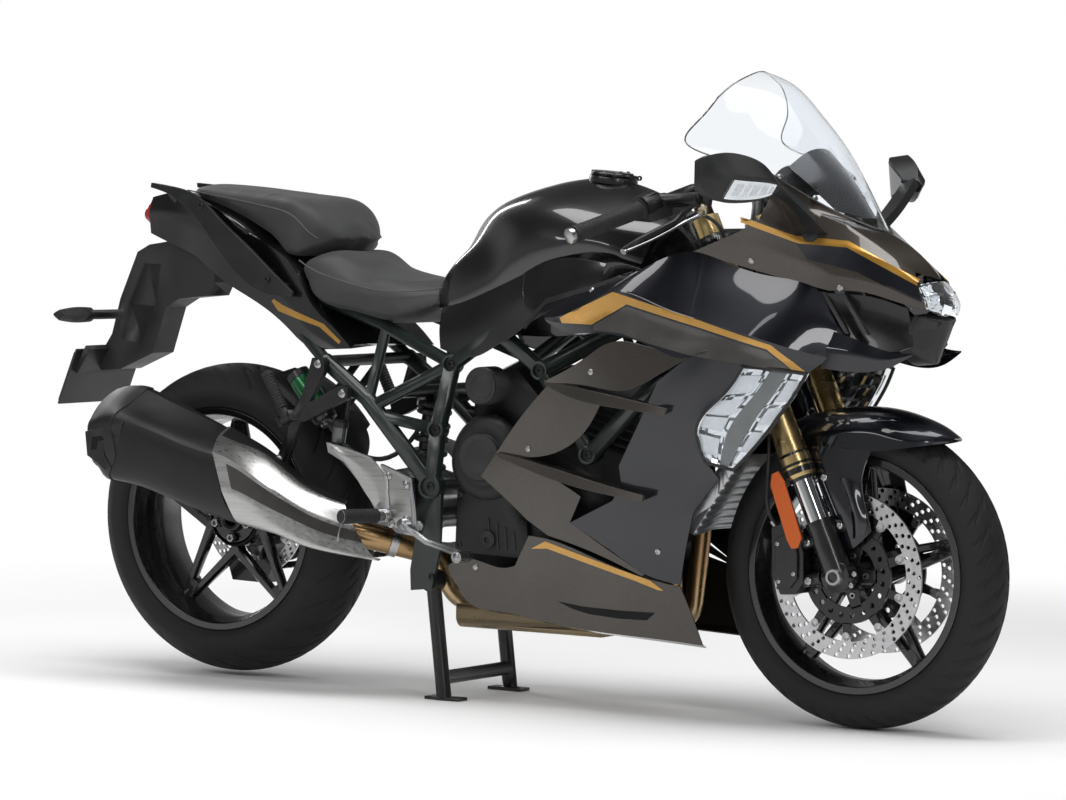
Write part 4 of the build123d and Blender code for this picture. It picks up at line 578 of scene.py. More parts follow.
def mix_finishes(paint):
    """Every finish of the machine, by its record slot or a plain name."""
    lacquer = dict(flake=0.8, coat=1.0, coat_rough=0.03, bump=0.015, bump_scale=160.0)
    metal = dict(metallic=1.0, bump=0.05)
    FINISH.update({"bronze_paint": surface("bronze lacquer", tuple(paint.bronze), rough=(0.30, 0.36),
                                           metallic=0.75, **lacquer),
                   "blue_black_paint": surface("blue black lacquer", tuple(paint.blue_black),
            (0.0034, 0.0044, 0.0100), rough=(0.28, 0.34), metallic=0.6, **lacquer),
                   "tank_black": surface("gloss black lacquer", tuple(paint.tank), rough=(0.24, 0.30),
                                         metallic=0.3, flake=0.5, coat=1.0, coat_rough=0.02, bump=0.01,
                                         bump_scale=140.0),
                   "stripe": surface("gold stripe", tuple(paint.stripe), (0.52, 0.28, 0.05), 30.0,
                                     rough=(0.28, 0.36), metallic=0.75, flake=0.35, coat=1.0),
                   # painted highlight: pale gold for the bright strips on the tank top
                   "painted_highlight": surface("painted highlight gold", tuple(paint.painted_highlight),
                                          blend_scale=30.0, rough=(0.28, 0.36), metallic=0.8, flake=0.3,
                                          coat=1.0), "grey_stripe":
                   surface("graphite stripe", (0.060, 0.058, 0.056), (0.082, 0.078, 0.072), 20.0,
                           rough=(0.30, 0.38), metallic=0.8, flake=0.5, coat=1.0),
                   "tyre": surface("road rubber", (0.0085, 0.0085, 0.0088), (0.014, 0.014, 0.0145),
                                   22.0, rough=(0.62, 0.80), bump=0.25, bump_scale=900.0,
                                   specular=0.35), "wheel_black":
                   surface("gloss black casting", (0.004, 0.004, 0.0048), (0.007, 0.007, 0.008), 14.0,
                           rough=(0.20, 0.30), coat=0.6, bump=0.03, bump_scale=300.0),
                   "disc_steel": surface("ground disc", (0.50, 0.50, 0.51), (0.60, 0.60, 0.61), 60.0,
                                         rough=(0.22, 0.34), bump_scale=900.0, **metal),
                   "chain_steel": surface("oiled steel", (0.10, 0.095, 0.088), (0.19, 0.18, 0.165),
                                          120.0, rough=(0.30, 0.50), bump_scale=500.0, **metal),
                   "frame_green": surface("powder coat", tuple(paint.frame_green),
                                          (0.010, 0.017, 0.014), 18.0, rough=(0.30, 0.42), bump=0.08,
                                          bump_scale=520.0, coat=0.25, coat_rough=0.2),
                   "engine_black": surface("cast engine black", (0.0085, 0.0085, 0.0090),
                                           (0.0150, 0.0150, 0.0155), 26.0, rough=(0.42, 0.56),
                                           metallic=0.35, bump=0.32, bump_scale=620.0),
                   "radiator_silver": surface("cooling core", (0.42, 0.43, 0.44), (0.50, 0.51, 0.52),
                                              40.0, rough=(0.32, 0.44), metallic=0.9, bump=0.5,
                                              bump_scale=300.0, fine=(0.2, 3, 3)),
                   "exhaust_bronze": heated("heat tinted tube"),
                   "silencer_black": surface("silencer black", (0.0085, 0.0085, 0.0088),
                                             (0.012, 0.012, 0.0125), 16.0, rough=(0.40, 0.48),
                                             metallic=0.3, bump=0.10, bump_scale=900.0),
                   "cap_grey": surface("end cap grey", (0.040, 0.040, 0.042), (0.056, 0.056, 0.058),
                                       24.0, rough=(0.34, 0.44), metallic=0.85, bump=0.05,
                                       bump_scale=500.0),
                   "silver_plate": surface("brushed plate", (0.40, 0.398, 0.392), (0.48, 0.476, 0.468),
                                           5.0, stretch=(1, 40, 40), rough=(0.26, 0.38), metallic=1.0),
                   "silver_cast": surface("satin casting", (0.34, 0.345, 0.35), (0.42, 0.425, 0.43),
                                          30.0, rough=(0.34, 0.46), bump_scale=600.0, **metal),
                   "shock_black": surface("shock black", (0.008, 0.010, 0.009), (0.014, 0.017, 0.015),
                                          30.0, rough=(0.30, 0.42), bump=0.05, bump_scale=400.0,
                                          coat=0.3), "shock_green":
                   surface("reservoir green", (0.010, 0.115, 0.035), (0.016, 0.16, 0.05), 24.0,
                           rough=(0.25, 0.36), metallic=0.6, bump=0.03, coat=0.6),
                   "black_plastic": surface("grained plastic", (0.0095, 0.0095, 0.0100),
                                            (0.0140, 0.0140, 0.0145), 16.0, rough=(0.44, 0.56),
                                            bump=0.22, bump_scale=950.0, cells=True),
                   # painted shade: a near-black for the insides of openings, slots and grooves, where
                   # only shade falls
                   "painted_shade": surface("painted shade black", (0.0022, 0.0022, 0.0024),
                                          (0.0036, 0.0036, 0.004), 16.0, rough=(0.6, 0.7), bump=0.1,
                                          bump_scale=700.0, specular=0.25),
                   "caliper_black": surface("satin black casting", (0.0075, 0.0075, 0.0080),
                                            (0.0120, 0.0120, 0.0125), 30.0, rough=(0.26, 0.36),
                                            metallic=0.3, bump=0.08, bump_scale=600.0, coat=0.4),
                   "cap_black": surface("filler cap", (0.010, 0.010, 0.011), (0.016, 0.016, 0.017),
                                        30.0, rough=(0.26, 0.36), metallic=0.5, bump=0.04,
                                        bump_scale=500.0, coat=0.3),
                   "seat_cover": surface("seat vinyl", tuple(paint.seat), (0.031, 0.0315, 0.033), 10.0,
                                         rough=(0.48, 0.60), bump=0.42, bump_scale=620.0, cells=True,
                                         sheen=0.12, specular=0.4),
                   "seam_thread": surface("seat thread", (0.050, 0.050, 0.052), (0.075, 0.075, 0.078),
                                          300.0, rough=(0.55, 0.7), bump=0.3, bump_scale=1500.0),
                   "rail_grey": surface("rail grey", (0.0200, 0.0205, 0.0215), (0.027, 0.0275, 0.0285),
                                        20.0, rough=(0.36, 0.46), metallic=0.5, bump=0.08,
                                        bump_scale=700.0),
                   "lamp_red": clear("red lens", (0.50, 0.010, 0.008), through=0.55, ribs=0.3),
                   "amber_lens": clear("orange reflector", (0.72, 0.14, 0.015), through=0.35,
                                       ribs=0.35), "plate_dark":
                   surface("blank plate", (0.020, 0.021, 0.023), (0.028, 0.029, 0.031), 22.0,
                           rough=(0.36, 0.46), bump=0.05, bump_scale=500.0),
                   "lamp_clear": clear("clear lens", (0.93, 0.95, 0.97)),
                   "reflector": surface("lamp reflector", (0.66, 0.68, 0.70), (0.78, 0.80, 0.82), 60.0,
                                        rough=(0.08, 0.18), metallic=1.0, bump=0.10, bump_scale=120.0),
                   "led": surface("white diode", (0.75, 0.77, 0.80), (0.85, 0.87, 0.90), 200.0,
                                  rough=(0.12, 0.2), bump=0.1, bump_scale=600.0, coat=1.0),
                   "smoked": surface("smoked strip", (0.055, 0.062, 0.062), (0.080, 0.088, 0.088), 30.0,
                                     rough=(0.16, 0.24), bump=0.08, bump_scale=300.0, coat=1.0),
                   "screen_clear": clear("clear screen", (0.90, 0.925, 0.955), ior=1.20),
                   "fork_gold": surface("anodised tube", tuple(paint.fork_gold), (0.55, 0.41, 0.20),
                                        6.0, stretch=(1, 1, 4), rough=(0.24, 0.34), bump_scale=300.0,
                                        **metal), "fork_chrome":
                   surface("hard chrome", (0.66, 0.67, 0.68), (0.72, 0.73, 0.74), 8.0,
                           rough=(0.06, 0.12), bump_scale=80.0, metallic=1.0, bump=0.01),
                   "bar_black": surface("satin black bar", (0.0085, 0.0085, 0.009),
                                        (0.013, 0.013, 0.0135), 24.0, rough=(0.30, 0.42), bump=0.06,
                                        bump_scale=600.0, metallic=0.3),
                   "lever": surface("polished lever", (0.30, 0.305, 0.31), (0.38, 0.385, 0.39), 60.0,
                                    rough=(0.18, 0.28), bump_scale=500.0, **metal),
                   "brass": surface("gold master cylinder", (0.36, 0.31, 0.22), (0.42, 0.37, 0.27),
                                    30.0, rough=(0.28, 0.38), bump_scale=500.0, **metal),
                   "grip_rubber": surface("grip rubber", (0.0100, 0.0100, 0.0104),
                                          (0.0150, 0.0150, 0.0155), 30.0, rough=(0.6, 0.75), bump=0.3,
                                          bump_scale=900.0),
                   "stand_black": surface("stand black", (0.0075, 0.0080, 0.0080),
                                          (0.0120, 0.0125, 0.0125), 24.0, rough=(0.34, 0.46), bump=0.08,
                                          bump_scale=500.0, coat=0.2),
                   "hose": surface("braided hose", (0.0120, 0.0120, 0.0125), (0.030, 0.030, 0.031),
                                   700.0, rough=(0.45, 0.6), bump=0.5, bump_scale=1100.0, cells=True),
                   "bolt_steel": surface("zinc bolt", (0.36, 0.36, 0.355), (0.46, 0.46, 0.455), 200.0,
                                         rough=(0.22, 0.34), bump_scale=600.0, **metal),
                   "bolt_black": surface("black bolt", (0.012, 0.012, 0.0125), (0.020, 0.020, 0.021),
                                         200.0, rough=(0.28, 0.40), bump=0.04, metallic=0.5),
                   "mirror_glass": surface("mirror glass", (0.62, 0.64, 0.66), (0.66, 0.68, 0.70), 3.0,
                                           rough=(0.02, 0.05), metallic=1.0, bump=0.005,
                                           bump_scale=10.0),
                   "dial": surface("dial face", (0.006, 0.007, 0.008), (0.010, 0.011, 0.012), 30.0,
                                   rough=(0.10, 0.16), bump=0.01, coat=1.0),})


# ------------------------------------------------------------------ stage
CAMERA_TARGET = np.array([0.0242, 0.0, 0.6010])
CAMERA_AWAY = 9.7476
CAMERA_ROUND = math.radians(32.431)
CAMERA_UP = math.radians(3.028)
CAMERA_ROLL = math.radians(0.872)
FLOOR_HALF = 60.0
WHITE_FROM, WHITE_TO = 1.7, 3.4
SOFT_GREY = 0.40


def place_camera():
    """Long lens level with the machine, turned round it, and rolled a little."""
    data = bpy.data.cameras.new("camera")
    data.sensor_width = 36.0
    data.lens = 164.53
    data.clip_end = 300.0
    camera = bpy.data.objects.new("camera", data)
    bpy.context.scene.collection.objects.link(camera)
    flat, rise = math.cos(CAMERA_UP), math.sin(CAMERA_UP)
    back = np.array([math.sin(CAMERA_ROUND) * flat, -math.cos(CAMERA_ROUND) * flat, rise])
    right = np.array([math.cos(CAMERA_ROUND), math.sin(CAMERA_ROUND), 0.0])
    upward = np.cross(back, right)
    c, s = math.cos(CAMERA_ROLL), math.sin(CAMERA_ROLL)
    turned = np.stack([right * c + upward * s, upward * c - right * s, back], 1)
    matrix = Matrix(np.vstack([np.hstack([turned, (CAMERA_TARGET + back * CAMERA_AWAY)[:, None]]),
                               [[0, 0, 0, 1]]]).tolist())
    camera.matrix_world = matrix
    bpy.context.scene.camera = camera


def lay_floor():
    """Pale floor: it takes the shadow near the machine and goes to plain white further out."""
    edge = np.array([-FLOOR_HALF, FLOOR_HALF])
    grid = np.stack([*np.meshgrid(edge, edge, indexing="ij"), np.full((2, 2), -0.0006)], -1)
    mesh = bpy.data.meshes.new("floor")
    mesh.from_pydata(grid.reshape(-1, 3).tolist(), [], [[0, 2, 3, 1]])
    floor = bpy.data.objects.new("floor", mesh)
    bpy.context.scene.collection.objects.link(floor)
    made = surface("pale floor", (0.90, 0.90, 0.90), (0.92, 0.92, 0.92), 2.0, rough=(0.8, 0.9),
                   specular=0.1)
    tree = made.node_tree
    far = add(tree, "VectorMath", {0: of_kind(tree, "TEX_COORD").outputs["Object"]})
    far.operation = "LENGTH"
    fade = add(tree, "MapRange", {"Value": far.outputs["Value"]}, From_Min=WHITE_FROM,
               From_Max=WHITE_TO)
    fade.interpolation_type = "SMOOTHSTEP"
    path = add(tree, "LightPath").outputs
    seen = combine(tree, "MAXIMUM", path["Is Camera Ray"], path["Is Transmission Ray"])
    share = combine(tree, "MULTIPLY", seen, fade.outputs["Result"])
    mix = add(tree, "MixShader", {"Fac": share, 1: tree.nodes["Principled BSDF"].outputs["BSDF"],
                                  2: add(tree, "Emission").outputs["Emission"]})
    tree.links.new(mix.outputs["Shader"], tree.nodes["Material Output"].inputs["Surface"])
    mesh.materials.append(made)


def light_world():
    """Surroundings: white to the lens and through glass, a soft grey to matt surfaces, and to
    glossy ones a grey that falls with height to a dim ceiling."""
    world = bpy.data.worlds.new("studio")
    bpy.context.scene.world = world
    world.use_nodes = True
    tree = world.node_tree
    path = add(tree, "LightPath").outputs
    parts = add(tree, "SeparateXYZ", {"Vector": add(tree, "TexCoord").outputs["Generated"]})
    height = add(tree, "MapRange", {"Value": parts.outputs["Z"]}, From_Min=0.05, From_Max=0.40,
                 To_Min=0.38, To_Max=0.08)
    height.interpolation_type = "SMOOTHSTEP"
    plain = combine(tree, "MAXIMUM", path["Is Camera Ray"], path["Is Transmission Ray"])
    glossy = combine(tree, "MULTIPLY", path["Is Glossy Ray"], height.outputs["Result"])
    seen = combine(tree, "MAXIMUM", plain, glossy)
    soft = add(tree, "Math", {0: path["Is Glossy Ray"]})
    soft.operation = "MULTIPLY_ADD"
    soft.inputs[1].default_value, soft.inputs[2].default_value = -SOFT_GREY, SOFT_GREY
    back = tree.nodes["Background"]
    back.inputs["Color"].default_value = (1, 1, 1, 1)
    tree.links.new(combine(tree, "MAXIMUM", seen, soft.outputs["Value"]), back.inputs["Strength"])


LAMPS = (
    # name, place, aimed at, width, depth, watts
    ("overhead", (0.2, -0.4, 3.6), (0.0, 0.0, 0.6), 4.2, 1.5, 105.0),
    ("front strip", (3.6, -2.6, 2.3), (0.4, 0.0, 0.7), 0.5, 2.6, 34.0),
    ("side strip", (-1.2, -4.2, 2.9), (-0.1, 0.0, 0.6), 4.4, 0.4, 42.0),
    ("rear strip", (-3.4, 1.6, 2.4), (-0.5, 0.0, 0.7), 0.5, 2.6, 30.0),
)


def hang_lamps():
    """Rectangular soft lamps, each turned to face its aim."""
    for name, spot, aim, width, depth, watts in LAMPS:
        data = bpy.data.lights.new(name, "AREA")
        data.shape = "RECTANGLE"
        data.size, data.size_y = width, depth
        data.energy = watts
        lamp = bpy.data.objects.new(name, data)
        bpy.context.scene.collection.objects.link(lamp)
        lamp.location = spot
        lamp.rotation_mode = "QUATERNION"
        lamp.rotation_quaternion = (Vector(aim) - Vector(spot)).to_track_quat("-Z", "Y")


# ------------------------------------------------------------------ cowls
SIDE_COWL = [
    [(177, -200, 784), (235, -203, 815), (303, -203, 839), (389, -198, 874), (489, -172, 911),
     (562, -155, 890), (648, -140, 868), (734, -122, 847), (774, -124, 799)],
    [(177, -202, 780), (228, -213, 798), (294, -215, 822), (369, -214, 853), (472, -204, 860),
     (555, -198, 838), (640, -185, 816), (722, -170, 796), (790, -138, 765)],
    [(177, -204, 776), (222, -222, 780), (285, -226, 804), (349, -229, 831), (456, -235, 805),
     (547, -236, 783), (633, -228, 762), (706, -212, 741), (783, -152, 716)],
    [(178, -203, 772), (230, -214, 765), (292, -220, 778), (345, -224, 792), (447, -231, 768),
     (536, -233, 747), (608, -229, 743), (676, -212, 720), (764, -160, 702)],
    [(180, -202, 768), (239, -210, 748), (300, -219, 750), (341, -225, 749), (437, -237, 730),
     (525, -240, 710), (584, -233, 724), (647, -222, 700), (745, -170, 686)]]
WINGLET = [
    [(782, -141, 768), (839, -135, 751), (886, -115, 733), (931, -100, 729)],
    [(775, -156, 735), (830, -146, 726), (886, -121, 717), (932, -101, 727)],
    [(768, -158, 698), (815, -141, 692), (887, -115, 700), (931, -99, 725)],
    [(778, -138, 730), (835, -129, 722), (886, -109, 717), (930, -97, 727)]]
PLATE_TOP = [
    [(194, -224, 654), (287, -234, 700), (353, -238, 735), (440, -238, 728), (523, -238, 713)],
    [(196, -222, 650), (300, -231, 647), (389, -238, 643), (460, -241, 676), (523, -238, 709)]]
PLATE_MIDDLE = [
    [(55, -182, 504), (104, -194, 560), (150, -205, 606), (198, -214, 650)],
    [(66, -182, 500), (190, -198, 508), (281, -213, 560), (322, -222, 618)]]
PLATE_LOW = [
    [(54, -184, 502), (160, -193, 478), (262, -196, 430), (231, -184, 378), (310, -181, 332),
     (396, -174, 285)],
    [(19, -180, 457), (82, -176, 410), (123, -174, 377), (173, -174, 348), (279, -176, 321),
     (390, -173, 280)]]
FIN_UPPER = [
    [(184, -214, 656), (285, -238, 643), (390, -250, 628), (486, -252, 613)],
    [(184, -214, 646), (267, -238, 622), (369, -250, 609), (480, -251, 599)],
    [(190, -200, 644), (272, -212, 622), (372, -220, 609), (470, -226, 602)],
    [(190, -200, 656), (290, -212, 643), (392, -220, 628), (478, -226, 612)]]
FIN_LOWER = [
    [(62, -186, 507), (188, -212, 488), (315, -230, 463), (430, -240, 443)],
    [(62, -186, 497), (186, -212, 466), (314, -230, 443), (426, -239, 431)],
    [(70, -176, 496), (190, -188, 466), (318, -196, 443), (412, -200, 432)],
    [(70, -176, 507), (192, -188, 488), (318, -196, 463), (416, -200, 442)]]
FRONT_PANEL = [
    [(459, -243, 663), (440, -240, 628), (422, -236, 596), (391, -227, 546), (361, -219, 496),
     (363, -212, 458), (338, -204, 426), (285, -195, 402), (231, -187, 377)],
    [(523, -240, 709), (490, -239, 650), (465, -234, 598), (440, -225, 545), (420, -215, 490),
     (420, -209, 446), (400, -203, 405), (360, -195, 370), (318, -184, 331)],
    [(580, -233, 727), (548, -234, 660), (512, -230, 598), (490, -223, 548), (484, -212, 495),
     (478, -207, 452), (455, -201, 400), (427, -192, 345), (399, -176, 285)],
    [(632, -217, 698), (592, -222, 641), (553, -228, 604), (537, -225, 577), (550, -214, 512),
     (576, -205, 482), (520, -202, 414), (497, -190, 340), (476, -172, 268)]]
BELLY = [
    [(-78, -148, 272), (-42, -150, 289), (57, -150, 276), (84, -152, 282), (126, -169, 345),
     (172, -174, 341), (277, -177, 312), (395, -176, 279), (476, -172, 265)],
    [(-72, -147, 252), (-28, -147, 252), (52, -147, 246), (102, -150, 250), (160, -159, 262),
     (235, -162, 254), (320, -163, 240), (415, -162, 224), (494, -159, 214)],
    [(-58, -140, 233), (-34, -133, 199), (40, -131, 187), (107, -131, 178), (175, -134, 170),
     (244, -138, 164), (339, -142, 160), (430, -144, 157), (510, -142, 152)],
    [(-46, -118, 226), (-28, -110, 192), (40, -108, 180), (107, -106, 171), (175, -106, 163),
     (244, -108, 157), (339, -110, 152), (430, -112, 148), (500, -112, 144)]]
NOSE = [
    [(488, -170, 911), (575, -152, 888), (660, -136, 866), (758, -116, 843), (833, -98, 840),
     (885, -82, 825), (941, -62, 810)],
    [(581, -165, 949), (640, -153, 921), (700, -141, 899), (764, -119, 877), (840, -100, 864),
     (890, -84, 847), (934, -67, 828)],
    [(630, -166, 973), (674, -153, 953), (718, -140, 934), (785, -107, 930), (845, -86, 906),
     (885, -72, 886), (921, -63, 862)],
    [(652, -162, 1013), (683, -136, 1003), (714, -111, 993), (776, -85, 968), (837, -66, 928),
     (872, -56, 905), (906, -46, 882)],
    [(656, -166, 1062), (673, -131, 1044), (749, -70, 991), (822, 0, 955), (868, 0, 931), (902, 0, 906),
     (938, 0, 868)]]
SIDE_STRIPE = [
    [(223, 777), (285, 804), (348, 831), (544, 783), (692, 740), (743, 690)],
    [(224, 767), (295, 766), (379, 808), (545, 769), (682, 732), (725, 690)]]
SIDE_BAND = [
    [(300, 765), (379, 804), (545, 765), (680, 728), (722, 691)],
    [(300, 755), (365, 752), (437, 734), (525, 716), (720, 690)]]
BELLY_STRIPE = [
    [(130, 319), (167, 336), (410, 274), (437, 256)],
    [(130, 319), (170, 322), (376, 271), (425, 256)]]
BELLY_SLOT = [
    [(185, 217), (242, 211), (327, 209), (412, 210)],
    [(216, 205), (257, 197), (325, 193), (391, 194)]]
NOSE_STRIPE = [
    [(600, 980), (700, 946), (790, 938), (920, 868)], [(594, 970), (706, 932), (790, 926), (921, 856)]]
NOSE_BAND = [[(700, 933), (790, 925), (921, 855)], [(722, 902), (812, 880), (934, 824)]]


def screws_on(grid, spots, radius=5.5, finish=0):
    """Screw heads set on a panel at (x, z) places, by the nearest point of its grid."""
    panel, facing = grid.reshape(-1, 3), normals(grid).reshape(-1, 3)
    spots = np.atleast_2d(spots).astype(float)
    away = ((spots[:, None, :] - panel[None][:, :, [0, 2]]) ** 2).sum(-1).argmin(1)
    normal = facing[away] * -np.sign(facing[away][:, 1:2])
    return bolts(panel[away], normal, radius, 2.4, finish)


def make_cowls(sizes):
    """Closed plates over the guide rows, with their stripes and screws."""
    height = sizes.stripe_height / MM
    edge = sizes.edge_round
    bolt = sizes.bolt_radius / MM
    side = net(SIDE_COWL, 7, 6, creases=(2, 3))
    winglet = net(WINGLET, 8, 5, creases=(0, 1, 2, 3), closed=True)
    piece("side_cowls_skin", both([shell(side), tube_of(winglet)]), "blue_black_paint",
          replaces=["side_cowls"], bevel=edge)
    piece("side_stripes", both([laid_on(side, SIDE_STRIPE, height)]), "bronze_paint", ["stripe"])
    piece("side_bands", both([laid_on(side, SIDE_BAND, height * 0.7)]), "bronze_paint", ["grey_stripe"])
    plates = [net(PLATE_TOP, 8, 6), net(PLATE_MIDDLE, 8, 6), net(PLATE_LOW, 8, 6, corners=(2, 3))]
    fins = [net(rows, 10, 4, creases=(0, 1, 2, 3), closed=True) for rows in (FIN_UPPER, FIN_LOWER)]
    piece("louvre_skins", both([*[shell(grid) for grid in plates], *[tube_of(grid) for grid in fins]]),
          "bronze_paint", replaces=["louvre_panels"], bevel=edge)
    panel = net(FRONT_PANEL, 6, 6, corners=(3, 4, 5, 6))
    piece("front_panel_skins", both([shell(panel)]), "blue_black_paint", replaces=["front_side_panels"],
          bevel=edge)
    belly = net(BELLY, 7, 5, corners=(3, 4), creases=(1, 2))
    piece("belly_skins", both([shell(belly)]), "bronze_paint", replaces=["lower_cowl"], bevel=edge)
    piece("belly_stripes", both([laid_on(belly, BELLY_STRIPE, height)]), "bronze_paint", ["stripe"])
    # the belly slots are dark plates on the panel: painted shade where the openings are
    piece("belly_slots", both([laid_on(belly, BELLY_SLOT, 0.7)]), "bronze_paint", ["painted_shade"])
    nose = net(NOSE, 7, 6, corners=(3,), creases=(1, 2, 3))
    piece("nose_skin", both([shell(nose, 2.6)]), "bronze_paint", replaces=["upper_cowl"], bevel=edge)
    piece("nose_stripes", both([laid_on(nose, NOSE_STRIPE, height)]), "bronze_paint", ["stripe"])
    piece("nose_bands", both([laid_on(nose, NOSE_BAND, height * 0.7)]), "bronze_paint",
          ["blue_black_paint"])
    screws = [screws_on(nose, [(604, 893), (777, 850)], bolt), screws_on(side, [(282, 839)], bolt),
              screws_on(panel, [(436, 328)], bolt), screws_on(belly, [(-7, 277)], bolt),
              screws_on(plates[0], [(300, 676)], bolt), screws_on(plates[1], [(140, 520)], bolt)]
    piece("panel_screws", both(screws), "silver_cast", ["bolt_steel"])


# ------------------------------------------------------------------ tank and tail
TANK = [
    [(-165, 0, 836), (-120, 0, 902), (-92, 0, 956), (-43, 0, 991), (29, 0, 1018), (127, 0, 1043),
     (200, 0, 1047), (270, 0, 1034), (385, 0, 985)],
    [(-162, -42, 834), (-108, -58, 888), (-70, -64, 927), (-30, -80, 964), (28, -95, 993),
     (100, -104, 1008), (198, -115, 1002), (262, -121, 980), (370, -95, 950)],
    [(-158, -76, 815), (-112, -94, 860), (-60, -105, 884), (3, -120, 896), (72, -146, 928),
     (120, -155, 941), (180, -159, 947), (250, -158, 942), (360, -125, 905)],
    [(-154, -86, 786), (-110, -108, 787), (-60, -121, 800), (0, -130, 822), (40, -137, 836),
     (80, -146, 854), (150, -156, 880), (220, -160, 900), (350, -128, 870)],
    [(-150, -60, 776), (-108, -70, 765), (-52, -74, 748), (0, -76, 738), (50, -76, 733),
     (110, -76, 733), (180, -74, 742), (255, -68, 765), (345, -60, 815)]]
TANK_KEEL = [(x, 0, z) for x, _, z in TANK[4]]
KNEE_COVER = [
    [(-128, -104, 784), (-60, -124, 799), (0, -133, 821), (45, -141, 838), (96, -151, 858)],
    [(-112, -138, 742), (-35, -150, 748), (25, -160, 768), (75, -170, 792), (112, -178, 812)],
    [(-101, -150, 704), (-7, -165, 692), (46, -176, 715), (114, -186, 752), (150, -190, 790)]]
COVER_STRIP = [
    [(96, -152, 860), (150, -159, 884), (229, -168, 892), (300, -176, 884)],
    [(112, -179, 812), (150, -188, 800), (214, -191, 834), (300, -189, 868)],
    [(130, -190, 762), (180, -200, 786), (236, -202, 814), (303, -202, 838)]]
TAIL = [
    [(-322, -100, 704), (-365, -100, 745), (-415, -100, 790), (-470, -100, 868), (-540, -100, 902),
     (-612, -96, 945), (-732, -84, 985), (-800, -58, 1000), (-878, -40, 992)],
    [(-315, -151, 696), (-360, -151, 738), (-411, -150, 778), (-465, -147, 858), (-535, -140, 901),
     (-600, -130, 928), (-732, -107, 995), (-792, -88, 1003), (-878, -68, 990)],
    [(-348, -154, 694), (-390, -154, 718), (-440, -152, 752), (-500, -148, 815), (-560, -139, 850),
     (-640, -127, 890), (-740, -110, 940), (-800, -100, 955), (-880, -78, 960)],
    [(-382, -149, 692), (-419, -149, 696), (-470, -146, 728), (-527, -140, 765), (-600, -129, 798),
     (-664, -120, 827), (-754, -100, 876), (-800, -96, 892), (-872, -82, 915)],
    [(-366, -104, 700), (-414, -104, 712), (-470, -100, 746), (-527, -95, 784), (-600, -88, 818),
     (-664, -82, 845), (-754, -70, 886), (-800, -62, 898), (-866, -50, 918)]]
TAIL_KEEL = [(-366, 0, 706), (-414, 0, 730), (-470, 0, 770), (-527, 0, 806), (-600, 0, 838),
             (-664, 0, 862), (-754, 0, 892), (-800, 0, 902), (-866, 0, 920)]
RAIL = [
    [(-450, -168, 806), (-500, -176, 850), (-564, -175, 901), (-640, -157, 948), (-717, -132, 994),
     (-800, -106, 1013), (-872, -84, 1020)],
    [(-450, -170, 796), (-531, -179, 808), (-600, -177, 855), (-665, -160, 912), (-734, -134, 963),
     (-812, -107, 998), (-872, -86, 1010)]]
# painted highlights: bright strips along the upper shoulders of the tank, in (x, z)
TANK_HIGHLIGHT_TOP = [[(140, 1038), (192, 1036), (245, 1033)], [(126, 1029), (190, 1026), (249, 1020)]]
TANK_HIGHLIGHT_FRONT = [[(146, 1027), (240, 1014), (325, 1003)], [(134, 1024), (225, 1003), (324, 986)]]
TAIL_STRIPE = [[(-518, 785), (-500, 766), (-392, 737), (-344, 704)],
               [(-512, 790), (-486, 778), (-382, 743), (-340, 710)]]
BRACKET_STRIP = [
    [(117, 755), (172, 812), (278, 840), (389, 877)],
    [(124, 750), (174, 801), (280, 831), (389, 869)]]
CAP_TILT = math.radians(6)


def centred(rows, keel=None):
    """Right half rows, the keel under them, and their mirror images, in order round the body."""
    return [*rows, *([keel] if keel else []), *mirrored(rows[:0:-1])]


def make_tank(sizes):
    """Tank, filler ring, cap screws, painted highlight strips and side covers."""
    height = sizes.stripe_height / MM
    tank = net(centred(TANK, TANK_KEEL), 7, 5, creases=(4, 6), closed=True)
    half = net(TANK[:4], 7, 6)
    cap_up = np.array([math.sin(CAP_TILT), 0, math.cos(CAP_TILT)])
    pad = ring_of([(0, 44), (6.5, 44), (7, 45.5), (6.5, 47), (0, 48.5), (-6, 48.5), (-6, 44)],
                  (205, 0, 1044), cap_up)
    piece("tank_shell", [tube_of(tank)], "tank_black", replaces=["fuel_tank"])
    piece("tank_cap_ring", [pad], "tank_black", ["cap_black"])
    base = np.array([201.0, 0, 1044.0])
    turn = np.arange(6) * np.pi / 3 + 0.5
    spots = base + 15.6 * cap_up + np.stack([31 * np.cos(turn), 31 * np.sin(turn), np.zeros(6)], 1)
    piece("tank_cap_bolts", [bolts(spots, cap_up, 3.4, 1.6)], "cap_black", ["bolt_steel"],
          body="fuel_cap")
    # painted highlights laid on the tank top as pale gold strips
    strips = [laid_on(half, TANK_HIGHLIGHT_TOP, height), laid_on(half, TANK_HIGHLIGHT_FRONT, height)]
    piece("tank_painted_highlights", both(strips), "tank_black", ["painted_highlight"])
    knee, strip = net(KNEE_COVER, 7, 6), net(COVER_STRIP, 7, 5)
    piece("side_cover_skins", both([shell(knee), shell(strip)]), "tank_black", replaces=["side_covers"],
          bevel=sizes.edge_round)
    piece("cover_trims", both([laid_on(strip, BRACKET_STRIP, 1.2)]), "tank_black", ["rail_grey"])


